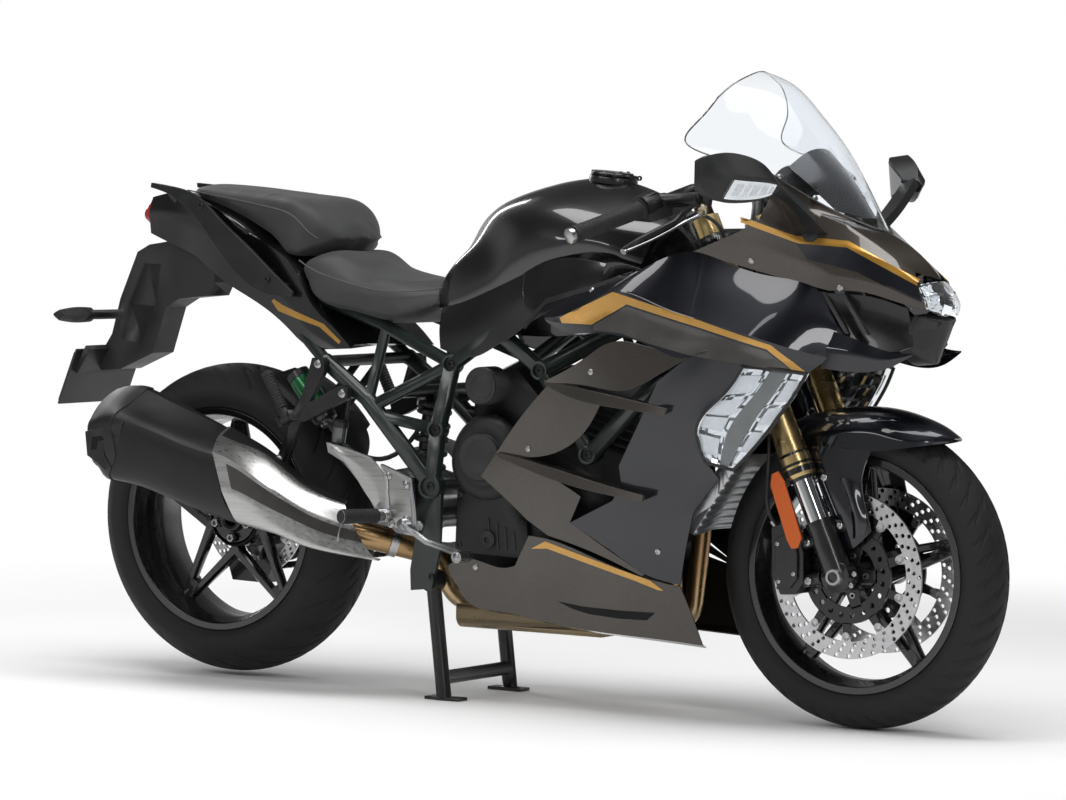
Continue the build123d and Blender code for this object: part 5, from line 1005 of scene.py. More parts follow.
def make_tail(sizes):
    """Tail unit with its stripes, and the grab rails on their feet."""
    height = sizes.stripe_height / MM
    tail = net(centred(TAIL, TAIL_KEEL), 6, 5, creases=(1, 2, 3, 4, 6, 7, 8, 9), closed=True)
    piece("tail_shell", [tube_of(tail)], "bronze_paint", ["tank_black"], replaces=["tail_cowl"])
    flank = net(TAIL[1:4], 6, 6, creases=(1,))
    piece("tail_stripes", both([laid_on(flank, TAIL_STRIPE, height)]), "bronze_paint", ["stripe"])
    high, low = (np.array(row, float) for row in RAIL)
    inner = [(low + [0, 9, 0]).tolist(), (high + [0, 9, 0]).tolist()]
    blade = net([high.tolist(), low.tolist(), *inner], 8, 3, creases=(0, 1, 2, 3), closed=True)
    feet = [straight((-480, -138, 816), (-480, -168, 816), 8),
            straight((-530, -136, 846), (-530, -170, 846), 8),
            straight((-800, -84, 980), (-812, -99, 1003), 7)]
    piece("rail_blades", both([tube_of(blade), *feet]), "rail_grey", replaces=["grab_rails"],
          bevel=0.0016)
    piece("rail_bolts", both([bolts([(-505, -178, 830), (-700, -141, 975)], (0, -1, 0.1), 6, 3)]),
          "rail_grey", ["bolt_black"])


# ------------------------------------------------------------------ wheels and brakes
BEAD_TOP, BEAD_FOOT = 231.5, 222.2
TYRE_CROWN = 61


def tyre_grid(radius, half, rim_half, steps, cuts, depth, width):
    """Turned tyre profile, pressed in along slanted cuts: each cut is a band round a leaning
    line between two distances from the centre, repeated at a pitch and staggered by side."""
    shoulder = radius - half * 0.575
    wall = line([(rim_half - 2, BEAD_TOP), (half - 1, 245), (half - 2, shoulder)], 6)
    rise = radius - shoulder
    bend = (rise ** 2 + (half - 2) ** 2) / (2 * rise)
    sweep = math.asin((half - 2) / bend)
    turn = np.linspace(sweep, -sweep, TYRE_CROWN)
    crown = np.stack([bend * np.sin(turn), radius - bend + bend * np.cos(turn)], 1)
    bead = rim_half - 7.4
    foot = np.array([(2 - rim_half, BEAD_TOP), (-bead, BEAD_TOP), (-bead, BEAD_FOOT), (bead, BEAD_FOOT),
                     (bead, BEAD_TOP)])
    profile = np.concatenate([wall[:-1], crown, wall[-2::-1] * [-1, 1], foot[1:]])
    angle = np.linspace(0, 2 * np.pi, steps, endpoint=False)[:, None]
    y, out = profile[None, :, 0], profile[None, :, 1]
    sunk = np.zeros((steps, len(profile)))
    for start, end, count, lean, stagger in cuts:
        pitch = 2 * np.pi / count
        middle = (lean * (np.abs(y) - start) / radius) + pitch * (stagger + 0.5 * (y > 0))
        away = (angle - middle + pitch / 2) % pitch - pitch / 2
        along = np.clip((np.abs(y) - start) / (end - start), 0, 1)
        beyond = (np.abs(y) - start) - along * (end - start)
        off = np.hypot(away * radius / math.hypot(1, lean), beyond)
        slim = width * (0.55 + 0.45 * np.sin(np.pi * along))
        sunk = np.maximum(sunk, np.clip(1.25 - off / slim, 0, 1) * (out > shoulder - 6))
    reach = out - depth * sunk
    return np.stack([reach * np.sin(angle), np.broadcast_to(y, reach.shape), reach * np.cos(angle)], -1)


def make_tyre(name, axle, radius, half, rim_half, cuts, sizes, body, node):
    """Grooved tyre with a rib low on each wall."""
    grid = tyre_grid(radius, half, rim_half, sizes.tread_steps, cuts, sizes.groove_depth / MM,
                     sizes.groove_width / MM) + axle
    steps, count = grid.shape[:2]
    ribs = [ring_of([(s * (half - 4), 258), (s * (half - 1.4), 257), (s * (half - 1.2), 255.6),
                     (s * (half - 4), 254)], axle, LEFT, 160) for s in (-1, 1)]
    piece(name, [shape(grid, quads(steps, count, True, True)), *ribs], "tyre", replaces=[node],
          angle=50, body=body)


def leg(start, end, wide, deep, y_start, y_end, steps=6):
    """Wheel leg: a soft-edged eight-cornered section carried from the hub to the barrel."""
    share = np.linspace(0, 1, steps + 1)[None, :]
    corner = np.array([(-1, -0.6), (-0.6, -1), (0.6, -1), (1, -0.6), (1, 0.6), (0.6, 1), (-0.6, 1),
                       (-1, 0.6)])
    x = start[0] + (end[0] - start[0]) * share
    z = start[1] + (end[1] - start[1]) * share
    run = np.array([end[0] - start[0], end[1] - start[1]], float)
    run /= np.linalg.norm(run)
    half_wide = (wide[0] + (wide[1] - wide[0]) * share ** 0.7) / 2
    half_deep = (deep[0] + (deep[1] - deep[0]) * share) / 2
    middle = y_start + (y_end - y_start) * share ** 2
    across_leg = corner[:, :1] * half_wide
    return np.stack([x + across_leg * run[1], middle + corner[:, 1:] * half_deep,
                     z - across_leg * run[0]], -1)


def cast_wheel(axle, rim_half, hub, hub_half, spoke_y, spread, finish=0):
    """Barrel with rolled flanges, a hub, and five A-shaped spokes that meet at the barrel."""
    lip, well = rim_half - 7.2, 206.0
    barrel = [(-rim_half, 229.6), (-rim_half + 1.4, 231), (-lip - 1.2, 231), (-lip, 229.6), (-lip, 222),
              (-lip + 14, 221.6), (-lip + 22, well + 7), (lip - 22, well + 7), (lip - 14, 221.6),
              (lip, 222), (lip, 229.6), (lip + 1.2, 231), (rim_half - 1.4, 231), (rim_half, 229.6),
              (rim_half, 217), (rim_half - 2.5, 215), (lip - 12, 214.4), (lip - 24, well),
              (24 - lip, well), (12 - lip, 214.4), (2.5 - rim_half, 215), (-rim_half, 217)]
    shapes = [ring_of(barrel, axle, LEFT, 128, finish)]
    core = [(-hub_half, 14), (-hub_half, hub - 10), (-hub_half + 8, hub - 6), (spoke_y - 18, hub - 4),
            (spoke_y - 13, hub), (spoke_y + 13, hub), (spoke_y + 18, hub - 4), (hub_half - 8, hub - 6),
            (hub_half, hub - 10), (hub_half, 14)]
    shapes.append(ring_of(core, axle, LEFT, 64, finish))
    for side in (-1, 1):
        grid = leg((side * spread, hub * 0.72), (side * 7, well + 2), (23, 15), (27, 20), spoke_y,
                   spoke_y)
        shapes.append(copies(tube_of(grid, finish), spun(5, axle)))
    root = leg((0, well - 34), (0, well + 3), (20, 32), (21, 24), spoke_y, spoke_y)
    shapes.append(copies(tube_of(root, finish), spun(5, axle)))
    return shapes


def drilled(inner, outer, cells, rings, radius, y, thick, skew=0.0, finish=0):
    """Drilled flat ring: each cell is twelve quads between its edge and its hole, on both faces,
    with the hole's wall and the ring's edges. Skew shifts each next ring's holes round."""
    side = np.linspace(-1, 1, 4)[:3]
    edge = np.concatenate([np.stack([side, -np.ones(3)], 1), np.stack([np.ones(3), side], 1),
                           np.stack([-side, np.ones(3)], 1), np.stack([-np.ones(3), -side], 1)])
    turn = np.arctan2(edge[:, 1], edge[:, 0])
    row, column = np.meshgrid(np.arange(rings), np.arange(cells), indexing="ij")
    row, column = row.reshape(-1, 1), column.reshape(-1, 1)
    tall, pitch = (outer - inner) / rings, 2 * np.pi / cells
    middle_r = inner + (row + 0.5) * tall
    middle_a = (column + 0.5) * pitch
    edge_r, edge_a = middle_r + edge[:, 1] * tall / 2, middle_a + edge[:, 0] * pitch / 2
    hole_a = middle_a + (row - (rings - 1) / 2) * skew * pitch
    hole_r = middle_r + radius * np.sin(turn)
    hole_a = hole_a + radius * np.cos(turn) / middle_r
    reach, angle = np.stack([edge_r, hole_r], 1), np.stack([edge_a, hole_a], 1)
    flat = np.stack([reach * np.sin(angle), np.zeros_like(reach), reach * np.cos(angle)], -1)
    lift = np.array([0, thick / 2, 0])
    points = np.stack([flat + lift, flat - lift], 1) + [0, y, 0]
    count = len(row)
    base = (np.arange(count) * 48)[:, None]
    k = np.arange(12)
    after = (k + 1) % 12
    top = np.stack([k, after, after + 12, k + 12], -1)
    wall = np.stack([k + 12, after + 12, after + 36, k + 36], -1)
    cell = np.concatenate([top, top[:, ::-1] + 24, wall])
    faces = (cell[None] + base[..., None]).reshape(-1, 4)
    low, high = np.stack([k[:3], k[:3] + 24, after[:3] + 24, after[:3]], -1), np.stack(
        [k[6:9], k[6:9] + 24, after[6:9] + 24, after[6:9]], -1)
    first, last = base[(row == 0)[:, 0]], base[(row == rings - 1)[:, 0]]
    faces = np.concatenate([faces, (low[None] + first[..., None]).reshape(-1, 4),
                            (high[None] + last[..., None]).reshape(-1, 4)])
    return shape(points, faces, finish)


def brake_disc(axle, y, radius, band, arms, sizes):
    """Band, carrier, tabs and bobbins of one floating disc."""
    out = 1 if y > 0 else -1
    level = y - out * 1.5
    hole = sizes.disc_hole / MM
    shapes = [moved(drilled(radius - band, radius, 36, 3, hole, y, 4.6, 0.30), axle)]
    rim_at = radius - band
    tab = slab([(-8, rim_at - 14), (8, rim_at - 14), (11, rim_at + 2), (-11, rim_at + 2)], y - 2.2,
               y + 2.2)
    shapes.append(copies(tab, spun(arms, axle)))
    carrier = [moved(drilled(rim_at - 66, rim_at - 34, 20, 1, 5.4, level, 6.0, finish=1), axle)]
    arm = slab([(-9, rim_at - 36), (9, rim_at - 36), (7, rim_at - 8), (-7, rim_at - 8)], level - 3,
               level + 3, 1)
    carrier.append(copies(arm, spun(arms, axle)))
    inner = slab([(-15, 18), (15, 18), (11, rim_at - 63), (-11, rim_at - 63)], level - 3, level + 3, 1)
    carrier.append(copies(inner, spun(5, axle, 0.3)))
    bobbin = lathe([(-1, 0.01), (-1, 3.6), (1.2, 4.0), (1.6, 8.2), (-4.0, 8.6), (-8.0, 8.2),
                    (-8.2, 0.01)], (0, y + out * 2.2, rim_at - 10), (0, out, 0), 20, 2)
    carrier.append(copies(bobbin, spun(arms, axle)))
    screw = lathe([(0, 0.01), (0, 3), (3.5, 3.4), (3.5, 5.6), (0, 6.4)], (0, y + out * 1.5, 40),
                  (0, out, 0), 16, 2)
    carrier.append(copies(screw, spun(5, axle, 0.3)))
    return shapes + carrier


FRONT_CUTS = ((6, 26, 44, 1.5, 0.0), (24, 46, 44, 1.5, 0.35), (40, 55, 44, 1.2, 0.72))
REAR_CUTS = ((8, 44, 26, 1.6, 0.0), (40, 80, 26, 1.5, 0.45), (14, 30, 26, 1.3, 0.66))


def make_wheels(sizes):
    """Tyres, cast wheels and discs of both axles."""
    make_tyre("front_tyre_tread", FRONT_AXLE, 300.0, 60.0, 52.0, FRONT_CUTS, sizes, "front_wheel",
              "front_tyre")
    make_tyre("rear_tyre_tread", REAR_AXLE, 320.5, 95.0, 85.0, REAR_CUTS, sizes, "rear_wheel",
              "rear_tyre")
    black = ["wheel_black", "bolt_steel"]
    front = cast_wheel(FRONT_AXLE, 52.0, 34.0, 66.0, 0.0, 24.0)
    valve = moved(straight((-14, 26, 196), (-14, 50, 186), (3.2, 2.6), 10, 1), FRONT_AXLE)
    piece("front_wheel_casting", [*front, valve], "wheel_black", black, replaces=["front_rim"],
          bevel=0.0012, body="front_wheel")
    rear = cast_wheel(REAR_AXLE, 85.0, 62.0, 24.0, -8.0, 42.0)
    nuts = lathe([(0, 0.01), (0, 4), (7, 5), (7, 8.5), (4, 10.5), (-3, 11)], (0, -32, 42), RIGHT, 6, 1)
    hub = lathe([(0, 0.01), (0, 18), (3, 22), (3, 27), (-2, 30), (-12, 32)], REAR_AXLE + [0, -34, 0],
                RIGHT, 40)
    rear += [copies(nuts, spun(5, REAR_AXLE, 0.62)), hub]
    piece("rear_wheel_casting", rear, "wheel_black", black, replaces=["rear_rim"], bevel=0.0012,
          body="rear_wheel")
    steel = ["disc_steel", "caliper_black", "bolt_steel"]
    discs = [made for y in (-72.0, 72.0) for made in brake_disc(FRONT_AXLE, y, 160.0, 33.0, 10, sizes)]
    piece("front_discs_drilled", discs, "disc_steel", steel, replaces=["front_discs"], angle=30,
          body="front_wheel")
    piece("rear_disc_drilled", brake_disc(REAR_AXLE, 52.0, 125.0, 26.0, 6, sizes), "disc_steel", steel,
          replaces=["rear_disc"], angle=30, body="rear_wheel")


# ------------------------------------------------------------------ seats
RIDER_SEAT = [
    [(-452, 0, 880), (-404, 0, 890), (-330, 0, 866), (-260, 0, 845), (-222, 0, 838), (-183, 0, 838),
     (-140, 0, 842)],
    [(-452, -108, 880), (-404, -113, 887), (-332, -116, 850), (-260, -114, 834), (-222, -102, 831),
     (-172, -74, 833), (-136, -52, 838)],
    [(-454, -138, 868), (-422, -144, 853), (-336, -147, 828), (-270, -146, 815), (-222, -140, 812),
     (-170, -112, 815), (-130, -84, 822)],
    [(-454, -146, 850), (-414, -150, 793), (-340, -154, 772), (-265, -155, 763), (-214, -154, 761),
     (-166, -138, 772), (-128, -108, 790)],
    [(-445, -60, 838), (-410, -80, 800), (-335, -98, 766), (-262, -105, 750), (-212, -100, 752),
     (-166, -78, 768), (-130, -50, 788)]]
PILLION_SEAT = [
    [(-792, 0, 1020), (-700, 0, 1016), (-600, 0, 1006), (-520, 0, 997), (-470, 0, 989), (-425, 0, 962),
     (-368, 0, 915)],
    [(-788, -58, 1016), (-700, -82, 1011), (-600, -95, 1003), (-520, -104, 995), (-465, -108, 984),
     (-420, -98, 950), (-383, -70, 909)],
    [(-780, -78, 1004), (-700, -104, 996), (-610, -114, 984), (-530, -124, 972), (-468, -131, 952),
     (-438, -122, 922), (-408, -96, 902)],
    [(-775, -84, 996), (-700, -106, 984), (-612, -116, 952), (-530, -130, 905), (-468, -140, 873),
     (-447, -136, 882), (-415, -101, 894)],
    [(-770, -40, 986), (-700, -45, 968), (-612, -50, 935), (-530, -55, 900), (-468, -55, 876),
     (-447, -55, 880), (-405, -50, 890)]]
SWELL = 0.006
DRAWN_IN = 0.004
VOXEL = 0.006
SEAM_DEPTH, SEAM_WIDTH = 0.0022, 0.0035


def swell(cushion, frames):
    """Blows the cover up: a remeshed copy under cloth pressure, each point's move held under a
    cap, applied, and subdivided once."""
    context = bpy.context
    remesh = cushion.modifiers.new("remesh", "REMESH")
    remesh.mode = "VOXEL"
    remesh.voxel_size = VOXEL
    apply_all(cushion)
    rest = read_all(cushion.data, "co")
    cloth = cushion.modifiers.new("cloth", "CLOTH")
    cloth.settings.use_pressure = True
    cloth.settings.uniform_pressure_force = 4.0
    cloth.settings.effector_weights.gravity = 0.0
    cloth.settings.quality = 6
    cloth.point_cache.frame_end = frames
    for number in range(1, frames + 1):
        context.scene.frame_set(number)
    shown = cushion.evaluated_get(context.evaluated_depsgraph_get())
    move = read_all(shown.data, "co") - rest
    size = np.linalg.norm(move, axis=1, keepdims=True)
    held = rest + move * (SWELL * np.tanh(size / SWELL) / np.maximum(size, 1e-9))
    cushion.modifiers.remove(cloth)
    cushion.data.vertices.foreach_set("co", held.ravel())
    context.scene.frame_set(1)
    foam = cushion.modifiers.new("foam", "SMOOTH")
    foam.factor, foam.iterations = 0.5, 14
    subdivide(cushion)


def subdivide(made):
    """Applies one subdivision, with what other modifiers the mesh has."""
    finer = made.modifiers.new("finer", "SUBSURF")
    finer.levels = finer.render_levels = 1
    apply_all(made)


def read_all(mesh, what):
    """Positions or normals of every vertex."""
    values = np.zeros(len(mesh.vertices) * 3)
    mesh.vertices.foreach_get(what, values)
    return values.reshape(-1, 3)


def apply_all(made):
    """Swaps the mesh for the one its modifiers give, and clears them."""
    shown = made.evaluated_get(bpy.context.evaluated_depsgraph_get())
    mesh = bpy.data.meshes.new_from_object(shown)
    mesh.materials.clear()
    for material in made.data.materials:
        mesh.materials.append(material)
    made.modifiers.clear()
    made.data = mesh


def press(cushion, lines, depth, width):
    """Sewn channels: the surface sinks along the given lines by a bell of the distance."""
    points, normal = read_all(cushion.data, "co"), read_all(cushion.data, "normal")
    sunk = np.zeros(len(points))
    for path in lines:
        path = np.asarray(path) * MM
        start, run = path[:-1], np.diff(path, axis=0)
        t = np.einsum("nsi,si->ns", points[:, None] - start[None], run) / (run ** 2).sum(1)
        near = start[None] + np.clip(t, 0, 1)[..., None] * run[None]
        away = np.linalg.norm(points[:, None] - near, axis=2).min(1)
        sunk = np.maximum(sunk, np.exp(-(away / width) ** 2))
    points -= normal * (depth * sunk)[:, None]
    cushion.data.vertices.foreach_set("co", points.ravel())
    cushion.data.update()


def cushion(name, rows, node, sizes, seams):
    """Seat: the closed net a little smaller than its space, swelled, then its seams pressed in."""
    grid = net(centred(rows), 8, 6, creases=(3, 4, 5), closed=True)
    made = piece(name, [tube_of(grid)], "seat_cover", replaces=[node], angle=60)
    made.data.shade_smooth()
    drawn_in = read_all(made.data, "co") - read_all(made.data, "normal") * DRAWN_IN
    made.data.vertices.foreach_set("co", drawn_in.ravel())
    swell(made, sizes.swell_frames)
    made.data.shade_smooth()
    press(made, seams, SEAM_DEPTH, SEAM_WIDTH)
    return made


def make_seats(sizes):
    """Both cushions with their seams, and the welts along their edges."""
    edge_right = line(RIDER_SEAT[1], 8) + [0, 0, 3]
    seams = [edge_right, edge_right * [1, -1, 1], line([(-300, -112, 842), (-290, -60, 858),
            (-286, 0, 862), (-290, 60, 858), (-300, 112, 842)], 8)]
    cushion("rider_cushion", RIDER_SEAT, "rider_seat", sizes, seams)
    back = line(PILLION_SEAT[1], 8) + [0, 0, 3]
    seams = [back, back * [1, -1, 1], line([(-560, -100, 1000), (-552, -50, 1006), (-550, 0, 1008),
                                            (-552, 50, 1006), (-560, 100, 1000)], 8)]
    cushion("pillion_cushion", PILLION_SEAT, "passenger_seat", sizes, seams)
    side = line(RIDER_SEAT[2], 10)
    low = line(PILLION_SEAT[2], 10)
    welts = [swept(side + [0, -1.2, 2.0], 1.5, 8), swept(low[:-6] + [0, -1.2, 2.0], 1.5, 8)]
    piece("seat_welts", both(welts), "seat_cover", ["seam_thread"])


# ------------------------------------------------------------------ exhaust
MUFFLER = [
    [(-872, -178, 588), (-835, -172, 599), (-757, -170, 583), (-623, -168, 532), (-590, -168, 519)],
    [(-876, -236, 570), (-843, -238, 574), (-765, -238, 553), (-610, -240, 512), (-572, -240, 502)],
    [(-875, -276, 535), (-841, -284, 545), (-767, -286, 543), (-625, -286, 505), (-554, -286, 488)],
    [(-872, -290, 512), (-836, -301, 520), (-768, -302, 524), (-640, -302, 490), (-540, -302, 466)],
    [(-862, -290, 458), (-817, -301, 464), (-762, -302, 466), (-640, -302, 432), (-523, -302, 400)],
    [(-852, -276, 438), (-832, -292, 432), (-785, -294, 424), (-640, -294, 388), (-505, -292, 360)],
    [(-847, -250, 428), (-836, -262, 418), (-790, -264, 408), (-640, -264, 370), (-496, -262, 336)],
    [(-850, -200, 428), (-830, -188, 418), (-780, -186, 406), (-640, -184, 368), (-498, -182, 336)],
    [(-866, -168, 500), (-835, -160, 505), (-765, -158, 490), (-640, -158, 450), (-545, -158, 425)]]
SHIELD = [
    [(-594, -182, 529), (-550, -184, 512), (-494, -186, 488), (-434, -184, 452), (-379, -180, 420),
     (-304, -174, 390)],
    [(-574, -246, 511), (-530, -245, 498), (-472, -238, 480), (-419, -230, 446), (-362, -217, 408),
     (-294, -194, 382)],
    [(-544, -306, 484), (-494, -301, 466), (-449, -289, 436), (-394, -270, 400), (-339, -244, 367),
     (-264, -206, 340)],
    [(-519, -307, 406), (-474, -302, 394), (-424, -290, 372), (-369, -270, 348), (-314, -244, 324),
     (-239, -205, 306)],
    [(-494, -290, 346), (-444, -286, 336), (-399, -278, 324), (-352, -264, 306), (-294, -240, 292),
     (-216, -198, 279)],
    [(-490, -242, 336), (-442, -240, 328), (-396, -234, 318), (-349, -224, 301), (-292, -208, 288),
     (-212, -188, 278)]]
CAP_ROWS = 13


def make_exhaust(sizes):
    """Silencer body, its cap a little larger all round, its mouth, and the shield over the pipe."""
    body = across(np.array([line(row, 8) for row in MUFFLER]), 3, True)
    centre = body.mean(0, keepdims=True)
    out = body - centre
    back = (body + out * 0.028)[:, :CAP_ROWS]
    step = (body + out * 0.002)[:, CAP_ROWS - 1:CAP_ROWS]
    cap = np.concatenate([back, step], 1)
    outlet = np.array([-868.0, -226.0, 510.0])
    mouth = ring_of([(2, 31), (4, 29), (3, 27), (-30, 26), (-30, 30)], outlet, (-0.96, 0, 0.20), 40, 1)
    # a near-black disc just inside the mouth: painted shade of the pipe's inside
    dark = lathe([(-1.0, 0.01), (-1.0, 27)], outlet + [6, 0, 0], (-0.96, 0, 0.20), 40, 2)
    piece("muffler_body", [tube_of(body[:, 8:]), tube_of(cap, 1), mouth, dark], "silencer_black",
          ["silencer_black", "cap_grey", "painted_shade"], replaces=["muffler"], bevel=0.0012, angle=24)
    shield = net(SHIELD, 7, 6, creases=(2, 3))
    piece("muffler_shield_plate", [shell(shield, 2.6)], "silver_plate", replaces=["muffler_shield"],
          bevel=sizes.edge_round)
    count, wide = shield.shape[:2]
    recess = shield[round(0.43 * count):round(0.58 * count), round(0.10 * wide):]
    inner = shield[:round(0.16 * count) + 1, round(0.04 * wide):]
    piece("shield_bands", [plate_between(lifted(recess, 0.9), recess),
                           plate_between(lifted(inner, 0.9), inner, 1)], "silver_plate",
          ["grey_stripe", "silencer_black"], bevel=0.0006)
    bolt = bolts([(-369, -259, 340)], (0.25, -0.95, 0.1), 9, 4)
    piece("exhaust_bolts", [bolt], "silver_cast", ["bolt_steel"])
    piece("exhaust_clamps", [ring_of([(-8, 28), (-8, 31), (8, 31), (8, 28)], (-232, -110, 309),
                                     (-0.7, -0.6, 0.25), 40)], "exhaust_bronze", ["bolt_steel"])


# ------------------------------------------------------------------ screen, lamps and mirrors
SCREEN = [
    [(822, 0, 957), (763, 0, 1053), (713, 0, 1120), (657, 0, 1182), (590, 0, 1241), (540, 0, 1260)],
    [(749, -70, 993), (712, -80, 1068), (668, -86, 1128), (620, -84, 1180), (572, -74, 1228),
     (536, -60, 1247)],
    [(673, -131, 1046), (645, -142, 1088), (600, -149, 1128), (560, -143, 1165), (541, -124, 1200),
     (529, -102, 1230)],
    [(656, -166, 1064), (600, -182, 1084), (512, -195, 1106), (481, -189, 1126), (501, -168, 1166),
     (520, -134, 1208)]]
VISOR = [
    [(655, -96, 1076), (668, -50, 1104), (672, 0, 1112), (668, 50, 1104), (655, 96, 1076)],
    [(700, -86, 1040), (722, -44, 1052), (730, 0, 1056), (722, 44, 1052), (700, 86, 1040)],
    [(742, -62, 994), (774, -34, 984), (790, 0, 980), (774, 34, 984), (742, 62, 994)]]
HEADLAMP = [
    [(874, 0, 897), (910, 0, 878), (939, 0, 864)],
    [(874, -52, 884), (905, -61, 868), (923, -61, 858)],
    [(866, -64, 846), (908, -70, 838), (937, -67, 829)],
    [(866, -62, 812), (908, -66, 808), (944, -60, 809)],
    [(866, -30, 794), (908, -30, 793), (957, -26, 797)],
    [(866, 0, 792), (908, 0, 796), (968, 0, 805)]]
LENS_ROWS = [
    [(939, 0, 864), (957, 0, 842), (972, 0, 820), (968, 0, 805)],
    [(932, -32, 862), (950, -34, 840), (962, -34, 818), (960, -28, 799)],
    [(923, -60, 858), (934, -64, 842), (943, -65, 824), (944, -60, 809)]]
MIRROR = [
    [(733, -280, 1053), (722, -300, 1079), (687, -334, 1100), (660, -370, 1101), (636, -392, 1092)],
    [(748, -280, 1042), (741, -300, 1050), (718, -335, 1056), (685, -372, 1060), (642, -396, 1062)],
    [(738, -282, 1030), (722, -302, 1017), (690, -345, 1008), (658, -376, 1014), (636, -393, 1037)],
    [(702, -282, 1030), (672, -302, 1021), (642, -345, 1014), (628, -376, 1020), (620, -391, 1041)],
    [(702, -281, 1051), (672, -300, 1074), (640, -334, 1094), (628, -370, 1095), (620, -390, 1086)]]
MIRROR_ARM = [
    [(739, -110, 962), (744, -178, 1003), (724, -288, 1060)],
    [(752, -107, 948), (749, -190, 990), (737, -288, 1048)],
    [(726, -122, 938), (728, -215, 1000), (714, -288, 1034)],
    [(696, -136, 948), (703, -225, 1014), (694, -288, 1048)]]
LAMP = [
    [(632, -217, 697), (592, -223, 641), (553, -229, 604), (537, -226, 577), (551, -215, 512)],
    [(695, -205, 694), (668, -211, 650), (630, -215, 604), (604, -214, 562), (584, -210, 504)],
    [(746, -176, 686), (728, -182, 652), (698, -189, 608), (661, -196, 558), (606, -203, 499)]]
CHIN = [
    [(915, -64, 800), (938, -56, 796), (957, 0, 790), (938, 56, 796), (915, 64, 800)],
    [(908, -68, 776), (926, -54, 758), (945, 0, 744), (926, 54, 758), (908, 68, 776)],
    [(902, -66, 752), (912, -50, 727), (931, 0, 706), (912, 50, 727), (902, 66, 752)]]
DUCT = [
    [(690, -134, 850), (760, -114, 838), (833, -94, 834), (905, -70, 812)],
    [(722, -128, 812), (790, -104, 800), (850, -84, 788), (908, -62, 778)],
    [(766, -140, 764), (833, -126, 748), (884, -106, 731), (918, -70, 742)]]


def between(one, other, share):
    """One line blended into the other."""
    return one * (1 - share) + other * share


def band(grid, rows, columns):
    """Part of a grid: the given shares of its rows and columns."""
    count, width = grid.shape[:2]
    return grid[round(rows[0] * (count - 1)):round(rows[1] * (count - 1)) + 1,
                round(columns[0] * (width - 1)):round(columns[1] * (width - 1)) + 1]


def checks(grid, high, wide):
    """Nought and one by turns over blocks of a grid, so many points high and wide."""
    rows, columns = grid.shape[:2]
    return (np.add.outer(np.arange(rows) // high, np.arange(columns) // wide) % 2)[..., None]


def whole(rows):
    """Rows from one side over the centre plane to the other."""
    return mirrored(rows[:0:-1]) + rows


def make_screen():
    """Clear screen with its edge and screws, and the dark visor inside it."""
    screen = net(whole(SCREEN), 7, 6)
    piece("screen", [shell(screen, 3.0, (1, 0, 0.4))], "screen_clear", replaces=["windscreen"])
    rim = np.concatenate([screen[0, ::-1], screen[1:, 0], screen[-1, 1:], screen[-2::-1, -1]])
    piece("screen_edge", [swept(rim + [-1.2, 0, -1.0], 1.7, 8)], "black_plastic", ["smoked"])
    spots = np.array([(668, -150, 1058), (716, -98, 1018), (668, 150, 1058), (716, 98, 1018)])
    piece("screen_screws", [bolts(spots, (0.8, 0, 0.6), 6, 3.5)], "silver_cast", ["bolt_steel"])
    piece("screen_visor", [shell(net(VISOR, 6, 6), 3.0, (1, 0, 0.5))], "black_plastic", ["cap_black"])


